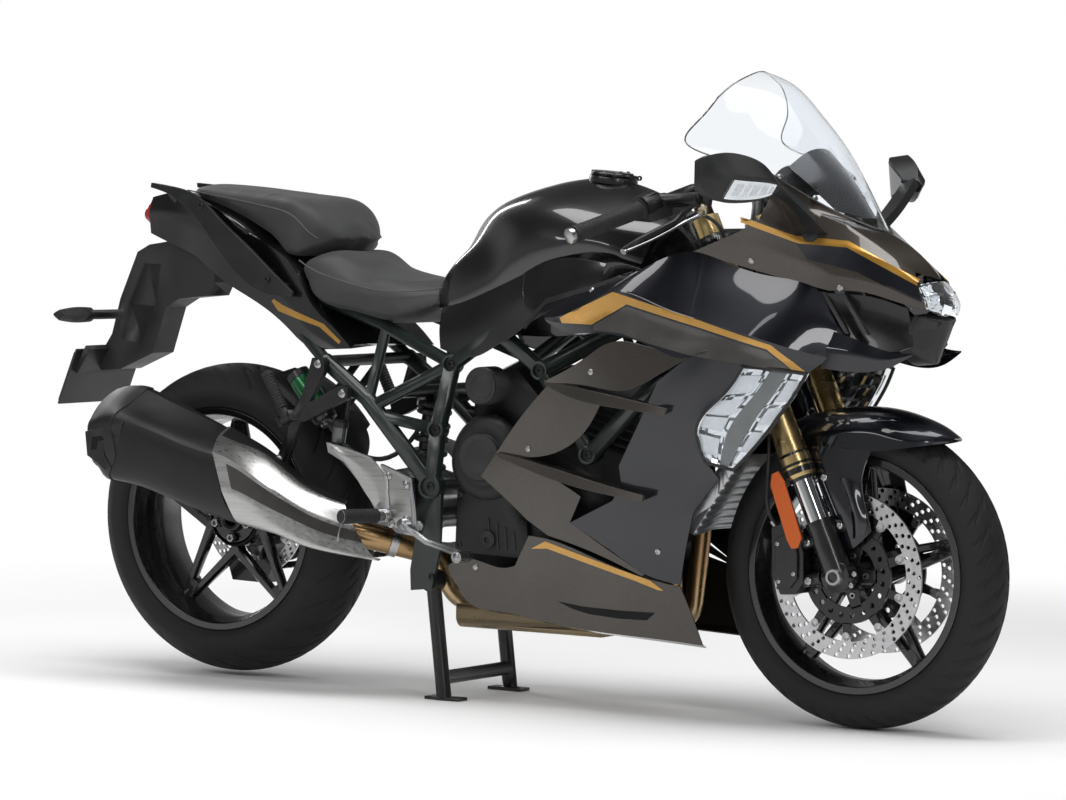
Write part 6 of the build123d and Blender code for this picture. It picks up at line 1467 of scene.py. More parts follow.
def make_lamps():
    """Headlamp and cornering lamps, each a lens over stepped blocks and diodes, then the ducts
    and the chin."""
    housing = net(HEADLAMP + mirrored(HEADLAMP[-2:0:-1]), 5, 4, creases=(1, 2, 3, 8, 9), closed=True)
    housing = np.concatenate([housing[:, :6], housing[:, 5:6] * [1, 0.94, 1] + [-14, 0, 0]], 1)
    lens = net(whole(LENS_ROWS), 6, 6)
    piece("headlamp_housing", [tube_of(housing)], "black_plastic", ["dial"], replaces=["headlamp"])
    piece("headlamp_lens", [shell(lens, 2.4, (1, 0, 0.2))], "lamp_clear")
    inner = net(LENS_ROWS[1:], 8, 8) + [-6, 4, 0]
    crystal = band(inner + checks(inner, 2, 4) * np.array([-3.5, 1.0, 0]), (0.06, 1.0), (0.04, 0.92))
    bowl = [(-8, 0.01), (-6, 7), (-2, 10), (1, 11.5), (2, 13), (0, 14), (-8, 12)]
    spot = inner[inner.shape[0] // 3, inner.shape[1] // 2]
    piece("headlamp_crystals", both([shell(crystal, 2.0, (1, -0.3, 0)),
                                     lathe(bowl, spot, (0.93, -0.3, 0), 36)]), "lamp_clear",
          ["reflector"], angle=14)
    cells = [shell(band(inner, rows, columns) + [-1.0, 0, 0], 1.4, (1, -0.3, 0)) for rows, columns in
             (((0.10, 0.30), (0.10, 0.34)), ((0.62, 0.88), (0.12, 0.40)), ((0.62, 0.88), (0.52, 0.82)))]
    core = lathe([(-6, 0.01), (0, 0.02), (0.5, 4), (-2, 6), (-6, 6)], spot, (0.93, -0.3, 0), 24)
    piece("headlamp_diodes", both([*cells, core]), "lamp_clear", ["led"])
    lamp = net(LAMP, 7, 8)
    back = lamp + [-6, 17, 0]
    piece("cornering_lenses", both([shell(lamp, 2.0)]), "lamp_clear", replaces=["cornering_lamps"])
    blocks = shell(back + checks(back, 3, 4) * np.array([1.5, 4.0, 0]), 2.0)
    ring = border(lamp)
    frame_line = swept(np.concatenate([ring, ring[:1]]) + [0, 2.4, 0], 3.6, 8, 1)
    walls = plate_between(lamp[[0, 1]] + [0, 0.8, 0], back[[0, 1]])
    piece("cornering_blocks", both([blocks, walls]), "lamp_clear", ["reflector"], angle=12)
    strip = band(lamp, (0.46, 0.70), (0.0, 1.0)) + [-2, 6, 0]
    piece("cornering_strips", both([shell(strip, 2.0)]), "lamp_clear", ["smoked"])
    cells = [shell(band(lamp, (0.06, 0.36), span) + [-3, 7, 0], 2.0)
             for span in ((0.08, 0.26), (0.31, 0.50), (0.55, 0.72), (0.77, 0.92))]
    cells += [shell(band(lamp, (0.76, 0.93), span) + [-3, 8, 0], 2.0)
              for span in ((0.10, 0.34), (0.42, 0.62), (0.68, 0.86))]
    piece("cornering_diodes", both(cells), "lamp_clear", ["led"], bevel=0.001)
    piece("cornering_frames", both([frame_line]), "lamp_clear", ["black_plastic"])
    piece("duct_walls", both([shell(net(DUCT, 7, 6), 3.0)]), "black_plastic", ["cap_black"])
    ribs = [net(([(a, -118, 842), (a + 34, -128, 800), (a + 62, -134, 764)],
                 [(a + 9, -116, 841), (a + 43, -124, 798), (a + 71, -129, 762)],
                 [(a + 9, -104, 838), (a + 43, -110, 796), (a + 71, -116, 762)],
                 [(a, -106, 838), (a + 34, -114, 796), (a + 62, -120, 764)]), 6, 2,
                creases=(0, 1, 2, 3), closed=True) for a in (742, 782)]
    piece("duct_ribs", both([tube_of(grid) for grid in ribs]), "black_plastic", bevel=0.001)
    piece("chin_panel", [shell(net(CHIN, 6, 6, corners=(2,)), 3.0, (1, 0, 0))], "black_plastic",
          ["rail_grey"], bevel=0.001)


def make_mirrors():
    """Mirror shells on their arms and boots, with a lamp in front and a glass behind."""
    body = net(MIRROR, 7, 3, creases=(0, 1, 2, 3, 4), closed=True)
    arm = net(MIRROR_ARM, 7, 4, creases=(0, 1, 2, 3), closed=True)
    piece("mirror_shells", both([tube_of(body), tube_of(arm)]), "blue_black_paint", ["rail_grey"],
          replaces=["mirrors"], bevel=0.0014)
    front, low = line(MIRROR[1], 10), line(MIRROR[2], 10)
    face = np.stack([between(front, low, share) for share in np.linspace(0.14, 0.86, 6)])
    lens = lifted(band(face, (0, 1), (0.14, 0.70)), 1.4, (0.8, -0.5, -0.2))
    piece("mirror_lamp_lenses", both([shell(lens, 1.2, (0.8, -0.5, -0.3))]), "lamp_clear")
    inner = lifted(band(face, (0, 1), (0.16, 0.68)), 0.25, (0.8, -0.5, -0.2))
    diodes = [shell(band(inner, (0.2, 0.8), (a, a + 0.13)) + [0.3, 0, 0], 0.5, (0.8, -0.5, -0.3), 1)
              for a in (0.06, 0.24, 0.42, 0.60, 0.78)]
    piece("mirror_lamp_blocks", both([shell(inner, 0.6, (0.8, -0.5, -0.3)), *diodes]), "lamp_clear",
          ["reflector", "led"])
    rear = np.stack([between(line(MIRROR[3], 10), line(MIRROR[4], 10), share)
                     for share in np.linspace(0.07, 0.93, 6)])
    glass = lifted(band(rear, (0, 1), (0.06, 0.94)), 0.9, (-1, 0, 0))
    piece("mirror_glasses", both([shell(glass, 1.2, (-1, 0, 0))]), "blue_black_paint", ["mirror_glass"])
    boot = lathe([(-3, 13), (0, 16), (8, 17), (14, 14), (16, 8), (16, 0.01)], (722, -122, 946),
                 (0.15, -0.9, 0.5), 28)
    piece("mirror_boots", both([boot]), "black_plastic")


# ------------------------------------------------------------------ fork, fender and bars
FENDER = [
    [(-147, 0, 290), (-80, 0, 312), (-18, 0, 320), (60, 0, 318), (118, 0, 305), (168, 0, 286),
     (196, 0, 268)],
    [(-147, -40, 284), (-78, -46, 301), (-18, -50, 308), (60, -50, 307), (112, -47, 294),
     (160, -38, 278), (194, -12, 268)],
    [(-128, -66, 262), (-75, -75, 268), (-18, -80, 274), (56, -80, 277), (108, -77, 265),
     (155, -58, 262), (192, -18, 263)],
    [(-118, -72, 240), (-78, -79, 238), (-18, -84, 244), (50, -85, 240), (104, -80, 246),
     (152, -61, 254), (190, -16, 260)]]
BLADE = [
    [(-80, -84, 244), (-70, -88, 206), (-26, -91, 107), (0, -89, 52)],
    [(-20, -87, 244), (-22, -93, 196), (14, -96, 100), (24, -92, 56)],
    [(52, -86, 240), (34, -87, 186), (46, -90, 131), (58, -90, 88)]]
BULGE = [
    [(-14, -92, 190), (4, -93, 150), (16, -94, 110), (20, -93, 72)],
    [(8, -99, 186), (24, -102, 144), (34, -101, 106), (32, -98, 76)],
    [(30, -90, 178), (40, -92, 138), (50, -92, 104), (46, -92, 82)]]
CALIPER = [(640, 386), (664, 396), (700, 378), (712, 340), (713, 284), (694, 260), (662, 258),
           (644, 296)]
REFLECTOR = [(654, 490), (668, 497), (682, 478), (722, 372), (714, 352), (700, 350), (690, 366),
             (652, 468)]


def make_fork(sizes):
    """Turned fork legs, axle nuts, fender, calipers, reflectors and hoses."""
    foot = FRONT_AXLE + [0, -105, 0]
    tube = [(203, 22), (203, 26), (209, 28.5), (226, 29.8), (227, 28.6), (231, 28.6), (232, 29.8),
            (247, 29.8), (248, 28.4), (252, 28.4), (253, 29.2), (262, 29), (300, 27.4), (742, 27.4),
            (742, 24)]
    seal = [(196, 22), (196, 25), (203, 26.5), (204, 22)]
    chrome = [(108, 20), (108, 22.1), (206, 22.1), (206, 20)]
    sleeve = [(-12, 0.01), (-12, 24), (0, 27), (60, 26.6), (98, 26.8), (106, 27.6), (113, 27.0),
              (113, 22)]
    piece("fork_tubes", both([lathe(tube, foot, UP_FORK)]), "fork_gold", body="steering")
    piece("fork_stanchions", both([lathe(chrome, foot, UP_FORK)]), "fork_chrome", body="steering")
    black = [lathe(seal, foot, UP_FORK, 40), lathe(sleeve, foot, UP_FORK, 40)]
    piece("fork_sleeves", both(black), "fork_chrome", ["caliper_black"], body="steering")
    dress("fork_upper", "fork_gold", "caliper_black")
    dress("fork_lower", "fork_chrome", "caliper_black")
    nut = [(0, 0.01), (0, 6.5), (2.2, 8), (2.2, 9.5), (7, 10.5), (7, 15), (2, 17.5), (-3, 18)]
    spot = FRONT_AXLE + [0, -126, 0]
    bolts_at = FRONT_AXLE + np.array([(34, -120, -14), (40, -120, 8)])
    piece("axle_nuts", both([lathe(nut, spot, RIGHT, 32), bolts(bolts_at, RIGHT, 5, 3)]), "fork_chrome",
          ["bolt_steel"], body="steering")
    arch = net(whole(FENDER), 7, 5, creases=(1, 5)) + FRONT_AXLE
    blade, bulge = net(BLADE, 8, 6) + FRONT_AXLE, net(BULGE, 8, 5) + FRONT_AXLE
    piece("fender_skin", [shell(arch, 2.4, (0, 0, 1)), *both([shell(blade), shell(bulge, 2.0)])],
          "blue_black_paint", replaces=["front_fender"], bevel=sizes.edge_round, body="steering")
    piece("fender_bolts", both([bolts(FRONT_AXLE + np.array([(-45, -92, 186), (-8, -95, 96)]),
                                      (0.1, -1, 0), 7, 4)]), "fork_chrome", ["bolt_steel"],
          body="steering")
    outer = slab(CALIPER, -112, -82)
    pad = slab([(652, 366), (676, 378), (696, 366), (702, 336), (702, 292), (686, 272), (664, 272),
                (654, 300)], -118, -110)
    inner = slab(CALIPER, -66, -48)
    bridge = slab([(640, 386), (664, 396), (672, 384), (650, 372), (646, 340), (652, 300), (644, 296)],
                  -84, -60)
    arms = [straight((700, -96, 352), (742, -104, 372), (11, 14), 12),
            straight((700, -96, 284), (752, -104, 296), (11, 15), 12)]
    piece("caliper_bodies", both([outer, pad, inner, bridge, *arms]), "caliper_black",
          replaces=["front_calipers"], bevel=0.0022, body="steering")
    spots = np.array([(658, -118, 356), (690, -118, 362), (694, -118, 300), (662, -118, 284)])
    mounts = np.array([(722, -116, 362), (726, -116, 288)])
    piece("caliper_bolts", both([bolts(spots, RIGHT, 4.5, 3), bolts(mounts, RIGHT, 7.5, 5)]),
          "caliper_black", ["bolt_steel"], body="steering")
    plate = slab(REFLECTOR, -139, -135)
    holder = [slab([(x + (-2 if z > 420 else 2), z) for x, z in REFLECTOR], -134.6, -131, 1),
              straight((684, -133, 420), (700, -118, 404), 5, 10, 1)]
    piece("fork_reflectors", both([plate, *holder]), "fork_chrome", ["amber_lens", "black_plastic"],
          bevel=0.001, body="steering")
    hose = line([(650, -100, 384), (636, -110, 410), (630, -112, 455), (630, -108, 520),
                 (622, -94, 600), (602, -68, 680), (574, -36, 730)], 8)
    ends = [straight((650, -100, 380), (638, -106, 398), (5.5, 4.5), 12, 1)]
    piece("brake_hoses", both([swept(hose, 3.4, 10), *ends]), "caliper_black", ["hose", "bolt_steel"],
          body="steering")


def ribbed(places, ends, high, low):
    """Profile points of grooves along a grip: down to the low radius between each two ribs."""
    return [(place + off, reach) for place in places
            for off, reach in zip((0, *ends), (high, low, low, high))]


def make_bars():
    """Grips turned with ribs, bar ends, switches, levers, pumps, pots, cables and the dial."""
    start, end = np.array([417.0, -240.0, 992.0]), np.array([352.0, -387.0, 941.0])
    run = end - start
    length_of = np.linalg.norm(run)
    run = run / length_of
    profile = [(-2, 12), (-2, 20), (5, 20.5), (6, 17),
               *ribbed(np.linspace(8, length_of - 14, 30), (1.2, 2.4, 3.4), 16.6, 15.4)]
    profile += [(length_of - 8, 17.5), (length_of - 4, 17.5), (length_of - 4, 12)]
    weight = [(length_of - 4, 9), (length_of - 4, 15), (length_of + 1, 16), (length_of + 8, 15),
              (length_of + 10, 11), (length_of + 10, 0.01)]
    piece("grip_sleeves", both([lathe(profile, start, run, 32)]), "grip_rubber",
          replaces=["hand_grips"], body="steering")
    piece("bar_weights", both([lathe(weight, start, run, 32)]), "bar_black", ["bolt_steel"],
          body="steering")
    dress("handlebars", "bar_black")
    box = net([[(404, -238, 1012), (420, -222, 1018), (440, -196, 1024)],
               [(444, -244, 1004), (452, -226, 1010), (464, -200, 1016)],
               [(440, -246, 966), (452, -228, 972), (462, -200, 980)],
               [(402, -240, 968), (416, -222, 974), (436, -196, 982)]], 5, 3, creases=(0, 1, 2, 3),
              closed=True)
    buttons = bolts([(398, -226, 1000), (404, -216, 984)], (-1, -0.3, 0.1), 6, 3)
    piece("switch_boxes", both([tube_of(box), buttons]), "bar_black", ["black_plastic"], bevel=0.002,
          body="steering")
    lever = line([(516, -190, 984), (506, -236, 968), (484, -296, 940), (462, -344, 920),
                  (452, -364, 912)], 7)
    share = np.linspace(0, 1, len(lever))
    reach = 9.0 - 3.4 * np.sin(np.pi * share * 0.9) + 1.6 * (share > 0.93)
    piece("levers", both([swept(lever, reach, 14, 0, 0.62)]), "bar_black", ["lever"], body="steering")
    pump = [lathe([(-4, 0.01), (-4, 9), (0, 13), (44, 13), (50, 10), (66, 9), (66, 0.01)],
                  (520, -190, 990), (-0.55, 0.76, 0.2), 28),
            lathe([(-2, 9), (0, 11), (6, 11), (8, 8), (8, 0.01)], (516, -190, 984), (0, 0, 1), 20)]
    piece("brake_pumps", both(pump), "bar_black", ["brass"], body="steering")
    pot = [lathe([(-16, 0.01), (-16, 14), (-12, 16), (10, 17), (11, 18.5), (20, 18.5), (22, 16),
                  (22, 0.01)], (512, -168, 1014), (0.1, 0, 1), 32)]
    piece("fluid_pots", both(pot), "bar_black", ["black_plastic"], body="steering")
    cable = [swept(line([(500, -160, 985), (530, -140, 960), (520, -110, 900), (490, -80, 840)], 8),
                   3.6, 10), swept(line([(440, -200, 980), (470, -170, 950), (480, -120, 890),
                                         (470, -80, 830)], 8), 4.2, 10)]
    piece("bar_cables", both(cable), "bar_black", ["hose"], body="steering")
    dial = net([[(613, -92, 1050), (611, 0, 1078), (613, 92, 1050)],
                [(618, -92, 1032), (622, 0, 1024), (618, 92, 1032)]], 8, 4)
    piece("dial_face", [shell(dial, 2.0, (-1, 0, 0))], "black_plastic", ["dial"])


# ------------------------------------------------------------------ engine, frame and hangers
def make_engine():
    """Covers and block in their finish, with turned rings, ribs, fins, caps and bolts."""
    dress("engine_covers", "engine_black")
    dress("engine_block", "engine_black")
    face = -140.0
    angle = np.linspace(0, 2 * np.pi, 11, endpoint=False) + 0.25
    rim = np.stack([16 + 80 * np.cos(angle), np.full(11, face - 6),
                    482 + np.where(np.sin(angle) > 0, 92, 74) * np.sin(angle)], -1)
    disc = [(33, 0.01), (37, 0.02), (37.6, 26), (36.2, 29), (36.2, 38), (37.6, 41), (37.2, 45.6),
            (31, 46.2)]
    cap = [(33, 0.01), (36.6, 0.02), (36.8, 20), (35.4, 22), (35.4, 26), (36.8, 28), (36.4, 34.8),
           (30, 35.4)]
    plug = [(0, 0.01), (3, 0.02), (3, 5), (6.5, 6), (6.8, 12), (4.5, 14), (4.5, 17), (0, 18)]
    places = [(12, face, 494), (9, -134, 634), (22, face - 14, 330)]
    turned_ones = [lathe(profile, spot, RIGHT, 48) for profile, spot in zip((disc, cap, plug), places)]
    low = np.array([(-46, face - 14, 316), (-44, face - 14, 416), (100, face - 14, 372),
                    (108, face - 14, 312)])
    round_cap = [(9 + 30 * math.cos(a), -168, 634 + 30 * math.sin(a)) for a in (0.4, 2.5, 4.6)]
    ribs = [swept(line([(26 + i * 20, face - 14.5, 312), (22 + i * 20, face - 14.5, 372 - i * 8)], 4),
                  2.2, 8) for i in range(4)]
    other = [ring_of([(24, 60), (28.5, 60), (28.5, 64), (24, 64)], (215, 140, 430), LEFT, 64)]
    piece("engine_relief", [*turned_ones, *ribs, *other], "engine_black", ["black_plastic"],
          bevel=0.0008)
    turn = np.linspace(0, 2 * np.pi, 8, endpoint=False)
    left = np.stack([215 + 64 * np.cos(turn), np.full(8, 166.0), 430 + 64 * np.sin(turn)], -1)
    pinion = np.array([(-68, 168, 312), (10, 168, 308), (40, 168, 378), (8, 168, 428)])
    piece("engine_bolts", [bolts(rim, RIGHT, 5.5, 4), bolts(low, RIGHT, 5.5, 4),
                           bolts(round_cap, RIGHT, 4, 3),
                           bolts(np.concatenate([left, pinion]), LEFT, 5.5, 4)], "engine_black",
          ["bolt_black"])
    head = [swept(line([(205, -132, 560 + 16 * i), (300, -132, 530 + 16 * i),
                        (352, -132, 520 + 16 * i)], 5), 2.6, 8) for i in range(6)]
    piece("barrel_fins", both(head), "engine_black")
    coils = [lathe([(0, 8), (4, 12), (22, 12), (26, 9), (46, 9), (48, 0.01)], (x, -60, 700),
                   (-0.2, -0.35, 0.9), 20) for x in (238, 296, 350)]
    piece("plug_caps", both(coils), "engine_black", ["black_plastic"])


def make_frame():
    """Trellis frame with a turned cup and a bolt on each node."""
    dress("frame", "frame_green")
    nodes = [((-70, -150, 674), 19), ((-93, -165, 543), 19), ((-102, -170, 430), 25),
             ((149, -165, 670), 19), ((269, -176, 511), 19)]
    cups = [lathe([(4, 0.01), (4, radius - 7), (12.6, radius - 5), (13.4, radius - 3),
                   (13.4, radius - 0.6), (11, radius + 0.7), (6, radius + 0.9)], spot, RIGHT, 40)
            for spot, radius in nodes]
    piece("frame_end_cups", both(cups), "frame_green")
    spots = np.array([(x, y - 5, z) for (x, y, z), _ in nodes])
    piece("frame_bolts", both([bolts(spots, RIGHT, 9, 5),
                               bolts([(-371, -172, 664), (-100, -171, 250)], RIGHT, 7, 4)]),
          "frame_green", ["bolt_black"])


def make_hangers():
    """Foot hangers with guard plates, ribbed rubbers, feelers and the rear fluid pot."""
    dress("rider_footrests", "silver_cast")
    dress("peg_brackets", "rail_grey")
    guard = [[(-338, 505, 0), (-300, 496, 1), (-240, 480, 1), (-204, 450, 1), (-197, 392, 0)],
             [(-322, 496, 3), (-290, 482, 3.4), (-252, 462, 3.6), (-222, 434, 3.4), (-208, 396, 3)],
             [(-336, 492, 0), (-300, 474, 1), (-256, 424, 1), (-236, 400, 1), (-222, 385, 0)]]
    grid = net([[(x, -194 - out, z) for x, z, out in row] for row in guard], 6, 4, creases=(1,))
    plate = [[(-208, 462, 0), (-170, 450, 0), (-146, 440, 0)],
             [(-206, 420, 2), (-172, 410, 3), (-140, 400, 2)],
             [(-208, 376, 0), (-176, 345, 0), (-134, 338, 0)]]
    hanger = net([[(x, -188.5 - out, z) for x, z, out in row] for row in plate], 6, 5, creases=(1,))
    piece("heel_guard_faces", both([shell(grid, 2.0), shell(hanger, 2.0)]), "silver_cast",
          ["silver_plate"], bevel=0.0006)
    spots = np.array([(-194, -189, 447), (-152, -189, 432), (-150, -189, 362), (-186, -189, 352)])
    piece("hanger_bolts", both([bolts(spots, RIGHT, 8, 5),
                                bolts([(-371, -186, 664), (-311, -186, 607)], RIGHT, 9, 5)]) +
          [bolts([(-464, -187, 467)], RIGHT, 10, 5)], "silver_cast", ["bolt_steel"])
    start, end = np.array([-195.0, -186.0, 368.0]), np.array([-232.0, -300.0, 370.0])
    length_of = np.linalg.norm(end - start)
    run = (end - start) / length_of
    profile = [(30, 12), (31, 14.6), *ribbed(np.arange(34, length_of - 8, 6.4), (1.0, 3.0, 4.0), 14.8,
                                             13.4)]
    profile += [(length_of - 3, 14.6), (length_of + 1, 12), (length_of + 1, 0.01)]
    piece("peg_rubbers", both([lathe(profile, start, run, 28)]), "silver_cast", ["grip_rubber"])
    feeler = swept(line([(-231, -296, 360), (-234, -302, 340), (-236, -303, 322)], 6), 1.8, 8)
    turn = np.linspace(0, 14, 90)
    spring = swept(np.stack([-192 + 9 * np.cos(turn), -198 - turn * 0.9, 368 + 9 * np.sin(turn)], -1),
                   1.4, 6)
    toe = ring_of([(-22, 9), (-22, 11.5), (20, 11.5), (20, 9)], (10, -228, 300), LEFT, 24)
    piece("peg_feelers", both([feeler, spring, toe]), "silver_cast", ["bolt_steel"])
    pot = lathe([(-20, 0.01), (-20, 10), (-17, 14), (14, 15)], (-342, -150, 524), (0.12, 0, 1), 32)
    lid = lathe([(13, 15), (13, 17), (24, 17), (26, 15), (26, 0.01)], (-342, -150, 524), (0.12, 0, 1),
                32, 1)
    stay = swept(line([(-342, -138, 520), (-330, -142, 560), (-311, -160, 607)], 6), 4, 8, 1)
    feed = swept(line([(-344, -150, 504), (-340, -150, 480), (-290, -160, 450), (-230, -168, 420)], 8),
                 4, 10, 1)
    piece("rear_fluid_pot", [pot, lid, stay, feed], "rail_grey", ["smoked", "black_plastic"], angle=50)


def make_shock():
    """Rear shock, its turned reservoir and the feed between them."""
    dress("rear_shock", "shock_black")
    start = np.array([-470.0, -118.0, 640.0])
    run = np.array([75.0, 0.0, -95.0]) / math.hypot(75, 95)
    can = lathe([(16, 20), (16, 24.6), (20, 25.2), (84, 25.2), (86, 24.6), (86, 20)], start, run, 44)
    ends = [lathe([(-1, 0.01), (-1, 20), (1, 24.4), (15, 25.4), (15, 20)], start, run, 44, 1),
            lathe([(87, 20), (87, 25.4), (98, 26), (108, 26), (118, 24.4), (122, 20), (122, 0.01)],
                  start, run, 44, 1)]
    knob = lathe([(122, 14), (122, 16), (129, 16), (130, 12), (130, 0.01)], start, run, 24, 2)
    feed = swept(line([(-396, -118, 548), (-360, -104, 500), (-300, -60, 470), (-220, -12, 570),
                       (-210, -6, 604)], 9), 5, 10, 1)
    piece("shock_reservoir", [can, *ends, knob, feed], "shock_black",
          ["shock_green", "shock_black", "bolt_steel"], angle=46)


def make_tail_parts():
    """Tail lens, plate with its rim, indicator lenses and the faces of the silencer cap."""
    dress("plate_holder", "black_plastic")
    lens = net([[(-872, 0, 991), (-893, 0, 988), (-905, 0, 975)],
                [(-871, -52, 990), (-890, -50, 987), (-903, -44, 974)],
                [(-868, -71, 955), (-889, -67, 952), (-907, -58, 955)],
                [(-870, -56, 922), (-888, -52, 930), (-906, -46, 940)],
                [(-872, 0, 918), (-893, 0, 929), (-908, 0, 941)]], 5, 5)
    body = np.concatenate([lens, lens[-2:0:-1] * [1, -1, 1]])
    piece("tail_lens", [tube_of(body)], "lamp_red", replaces=["tail_lamp"], angle=24)
    lean = math.radians(22)
    tilt = np.array([math.cos(lean), 0.0, -math.sin(lean)])
    up = np.array([math.sin(lean), 0.0, math.cos(lean)])
    middle = np.array([-1062.23, 0.0, 610.0]) - tilt * 2.4
    rim = [middle + up * b - np.array([0, a, 0]) for a,
           b in ((-110, -58), (110, -58), (114, -54), (114, 54), (110, 58), (-110, 58), (-114, 54),
                 (-114, -54), (-110, -58))]
    piece("plate_rim", [swept(np.array(rim), 1.6, 8)], "plate_dark", ["black_plastic"])
    dress("number_plate", "plate_dark")
    spots = [middle + up * 40 + [0, y, 0] for y in (-70, 70)]
    lamp = net([[(-1003, -114, 757), (-1013, -160, 758), (-1022, -197, 753)],
                [(-1021, -114, 743), (-1031, -160, 743), (-1037, -197, 743)],
                [(-1003, -114, 727), (-1013, -160, 726), (-1022, -197, 731)]], 5, 4)
    piece("indicator_lenses", both([shell(lamp, 1.6, (-1, 0, 0))]), "plate_dark", ["smoked"])
    piece("plate_bolts", [bolts(spots, -tilt, 6, 3)], "plate_dark", ["bolt_steel"])
    lip = slab([(-868, 511), (-838, 518), (-771, 534), (-785, 490), (-818, 486), (-818, 466),
                (-800, 440), (-818, 434), (-836, 448), (-862, 462)], -304.4, -296)
    # the groove is a dark strip: painted shade in the groove
    groove = slab([(-850, 500), (-800, 508), (-806, 498), (-834, 492), (-838, 474), (-852, 474)],
                  -305.2, -303, 1)
    piece("silencer_cap_faces", [lip, groove], "silencer_black", ["cap_grey", "painted_shade"],
          bevel=0.0012)


def make_pegs():
    """Folding pegs with their ribbed rubbers."""
    dress("passenger_peg_right", "rail_grey")
    dress("passenger_peg_left", "rail_grey")
    folded = np.array([-0.479, -0.04, 0.878])
    base = np.array([-436.0, -200.0, 552.0])
    profile = [(24, 10), (24, 12.6), *ribbed(np.arange(27, 98, 6.0), (1.0, 2.6, 3.6), 12.8, 11.6)]
    profile += [(103, 12.4), (105.5, 10), (105.5, 0.01)]
    sleeve = lathe(profile, base, folded, 26)
    piece("peg_pad_right", [sleeve], "rail_grey", ["grip_rubber"], body="passenger_peg_right")
    piece("peg_pad_left", [other_side(sleeve)], "rail_grey", ["grip_rubber"], body="passenger_peg_left")


# ------------------------------------------------------------------ everything still in its CAD shape
DRESSED = {
    "radiator": "radiator_silver", "exhaust_headers": "exhaust_bronze", "swingarm": "silver_cast",
    "chain": "chain_steel", "rear_mudguard": "black_plastic", "rear_caliper": "caliper_black",
    "fuel_cap": "cap_black", "instrument_cowl": "black_plastic", "rear_sprocket": "disc_steel",
    "centre_stand": "stand_black", "side_stand": "stand_black",
}


def dress_rest():
    """Merged copies, smooth by angle, of the nodes that no piece stands for."""
    for node, slot in DRESSED.items():
        dress(node, slot)


# ------------------------------------------------------------------ operators
class MOTO_OT_stage(bpy.types.Operator):
    """Floor, surroundings, lamps and camera"""
    bl_idname = "moto.stage"
    bl_label = "Stage"

    def execute(self, context):
        view = context.scene.view_settings
        view.view_transform = "Standard"
        lay_floor()
        light_world()
        hang_lamps()
        place_camera()
        return {"FINISHED"}


class MOTO_OT_cowls(bpy.types.Operator):
    """Nose, side cowls, middle panels, front panels and belly, with stripes and screws"""
    bl_idname = "moto.cowls"
    bl_label = "Cowls"

    def execute(self, context):
        make_cowls(context.scene.moto_sizes)
        return {"FINISHED"}


class MOTO_OT_tank(bpy.types.Operator):
    """Fuel tank, its painted highlight strips and the covers below it"""
    bl_idname = "moto.tank"
    bl_label = "Tank"

    def execute(self, context):
        make_tank(context.scene.moto_sizes)
        return {"FINISHED"}


class MOTO_OT_tail(bpy.types.Operator):
    """Tail unit and grab rails"""
    bl_idname = "moto.tail"
    bl_label = "Tail"

    def execute(self, context):
        make_tail(context.scene.moto_sizes)
        return {"FINISHED"}


class MOTO_OT_wheels(bpy.types.Operator):
    """Grooved tyres, cast wheels and drilled discs"""
    bl_idname = "moto.wheels"
    bl_label = "Wheels and brakes"

    def execute(self, context):
        make_wheels(context.scene.moto_sizes)
        return {"FINISHED"}


class MOTO_OT_seats(bpy.types.Operator):
    """Swelled seat covers with pressed seams and welts"""
    bl_idname = "moto.seats"
    bl_label = "Seats"

    def execute(self, context):
        make_seats(context.scene.moto_sizes)
        return {"FINISHED"}


class MOTO_OT_exhaust(bpy.types.Operator):
    """Silencer, its end cap, shield, bolts and clamp"""
    bl_idname = "moto.exhaust"
    bl_label = "Exhaust"

    def execute(self, context):
        make_exhaust(context.scene.moto_sizes)
        return {"FINISHED"}


class MOTO_OT_screen(bpy.types.Operator):
    """Clear screen, its trim, screws and inner visor"""
    bl_idname = "moto.screen"
    bl_label = "Screen"

    def execute(self, context):
        make_screen()
        return {"FINISHED"}


class MOTO_OT_lamps(bpy.types.Operator):
    """Headlamp, cornering lamps, ducts and chin"""
    bl_idname = "moto.lamps"
    bl_label = "Lamps and ducts"

    def execute(self, context):
        make_lamps()
        return {"FINISHED"}


class MOTO_OT_mirrors(bpy.types.Operator):
    """Mirror shells with indicators and glasses"""
    bl_idname = "moto.mirrors"
    bl_label = "Mirrors"

    def execute(self, context):
        make_mirrors()
        return {"FINISHED"}


class MOTO_OT_fork(bpy.types.Operator):
    """Fork legs, fender, calipers, reflectors and hoses"""
    bl_idname = "moto.fork"
    bl_label = "Fork and fender"

    def execute(self, context):
        make_fork(context.scene.moto_sizes)
        return {"FINISHED"}


class MOTO_OT_bars(bpy.types.Operator):
    """Grips, levers, switches, pumps and cables"""
    bl_idname = "moto.bars"
    bl_label = "Handlebars"

    def execute(self, context):
        make_bars()
        return {"FINISHED"}


class MOTO_OT_engine(bpy.types.Operator):
    """Engine covers with their rings, ribs, plugs and bolts"""
    bl_idname = "moto.engine"
    bl_label = "Engine"

    def execute(self, context):
        make_engine()
        return {"FINISHED"}


class MOTO_OT_frame(bpy.types.Operator):
    """Trellis frame with its end cups and bolts"""
    bl_idname = "moto.frame"
    bl_label = "Frame"

    def execute(self, context):
        make_frame()
        return {"FINISHED"}


class MOTO_OT_hangers(bpy.types.Operator):
    """Foot hangers, heel guards, rubbers and the rear fluid pot"""
    bl_idname = "moto.hangers"
    bl_label = "Hangers"

    def execute(self, context):
        make_hangers()
        return {"FINISHED"}


class MOTO_OT_shock(bpy.types.Operator):
    """Rear shock and its reservoir"""
    bl_idname = "moto.shock"
    bl_label = "Shock"

    def execute(self, context):
        make_shock()
        return {"FINISHED"}


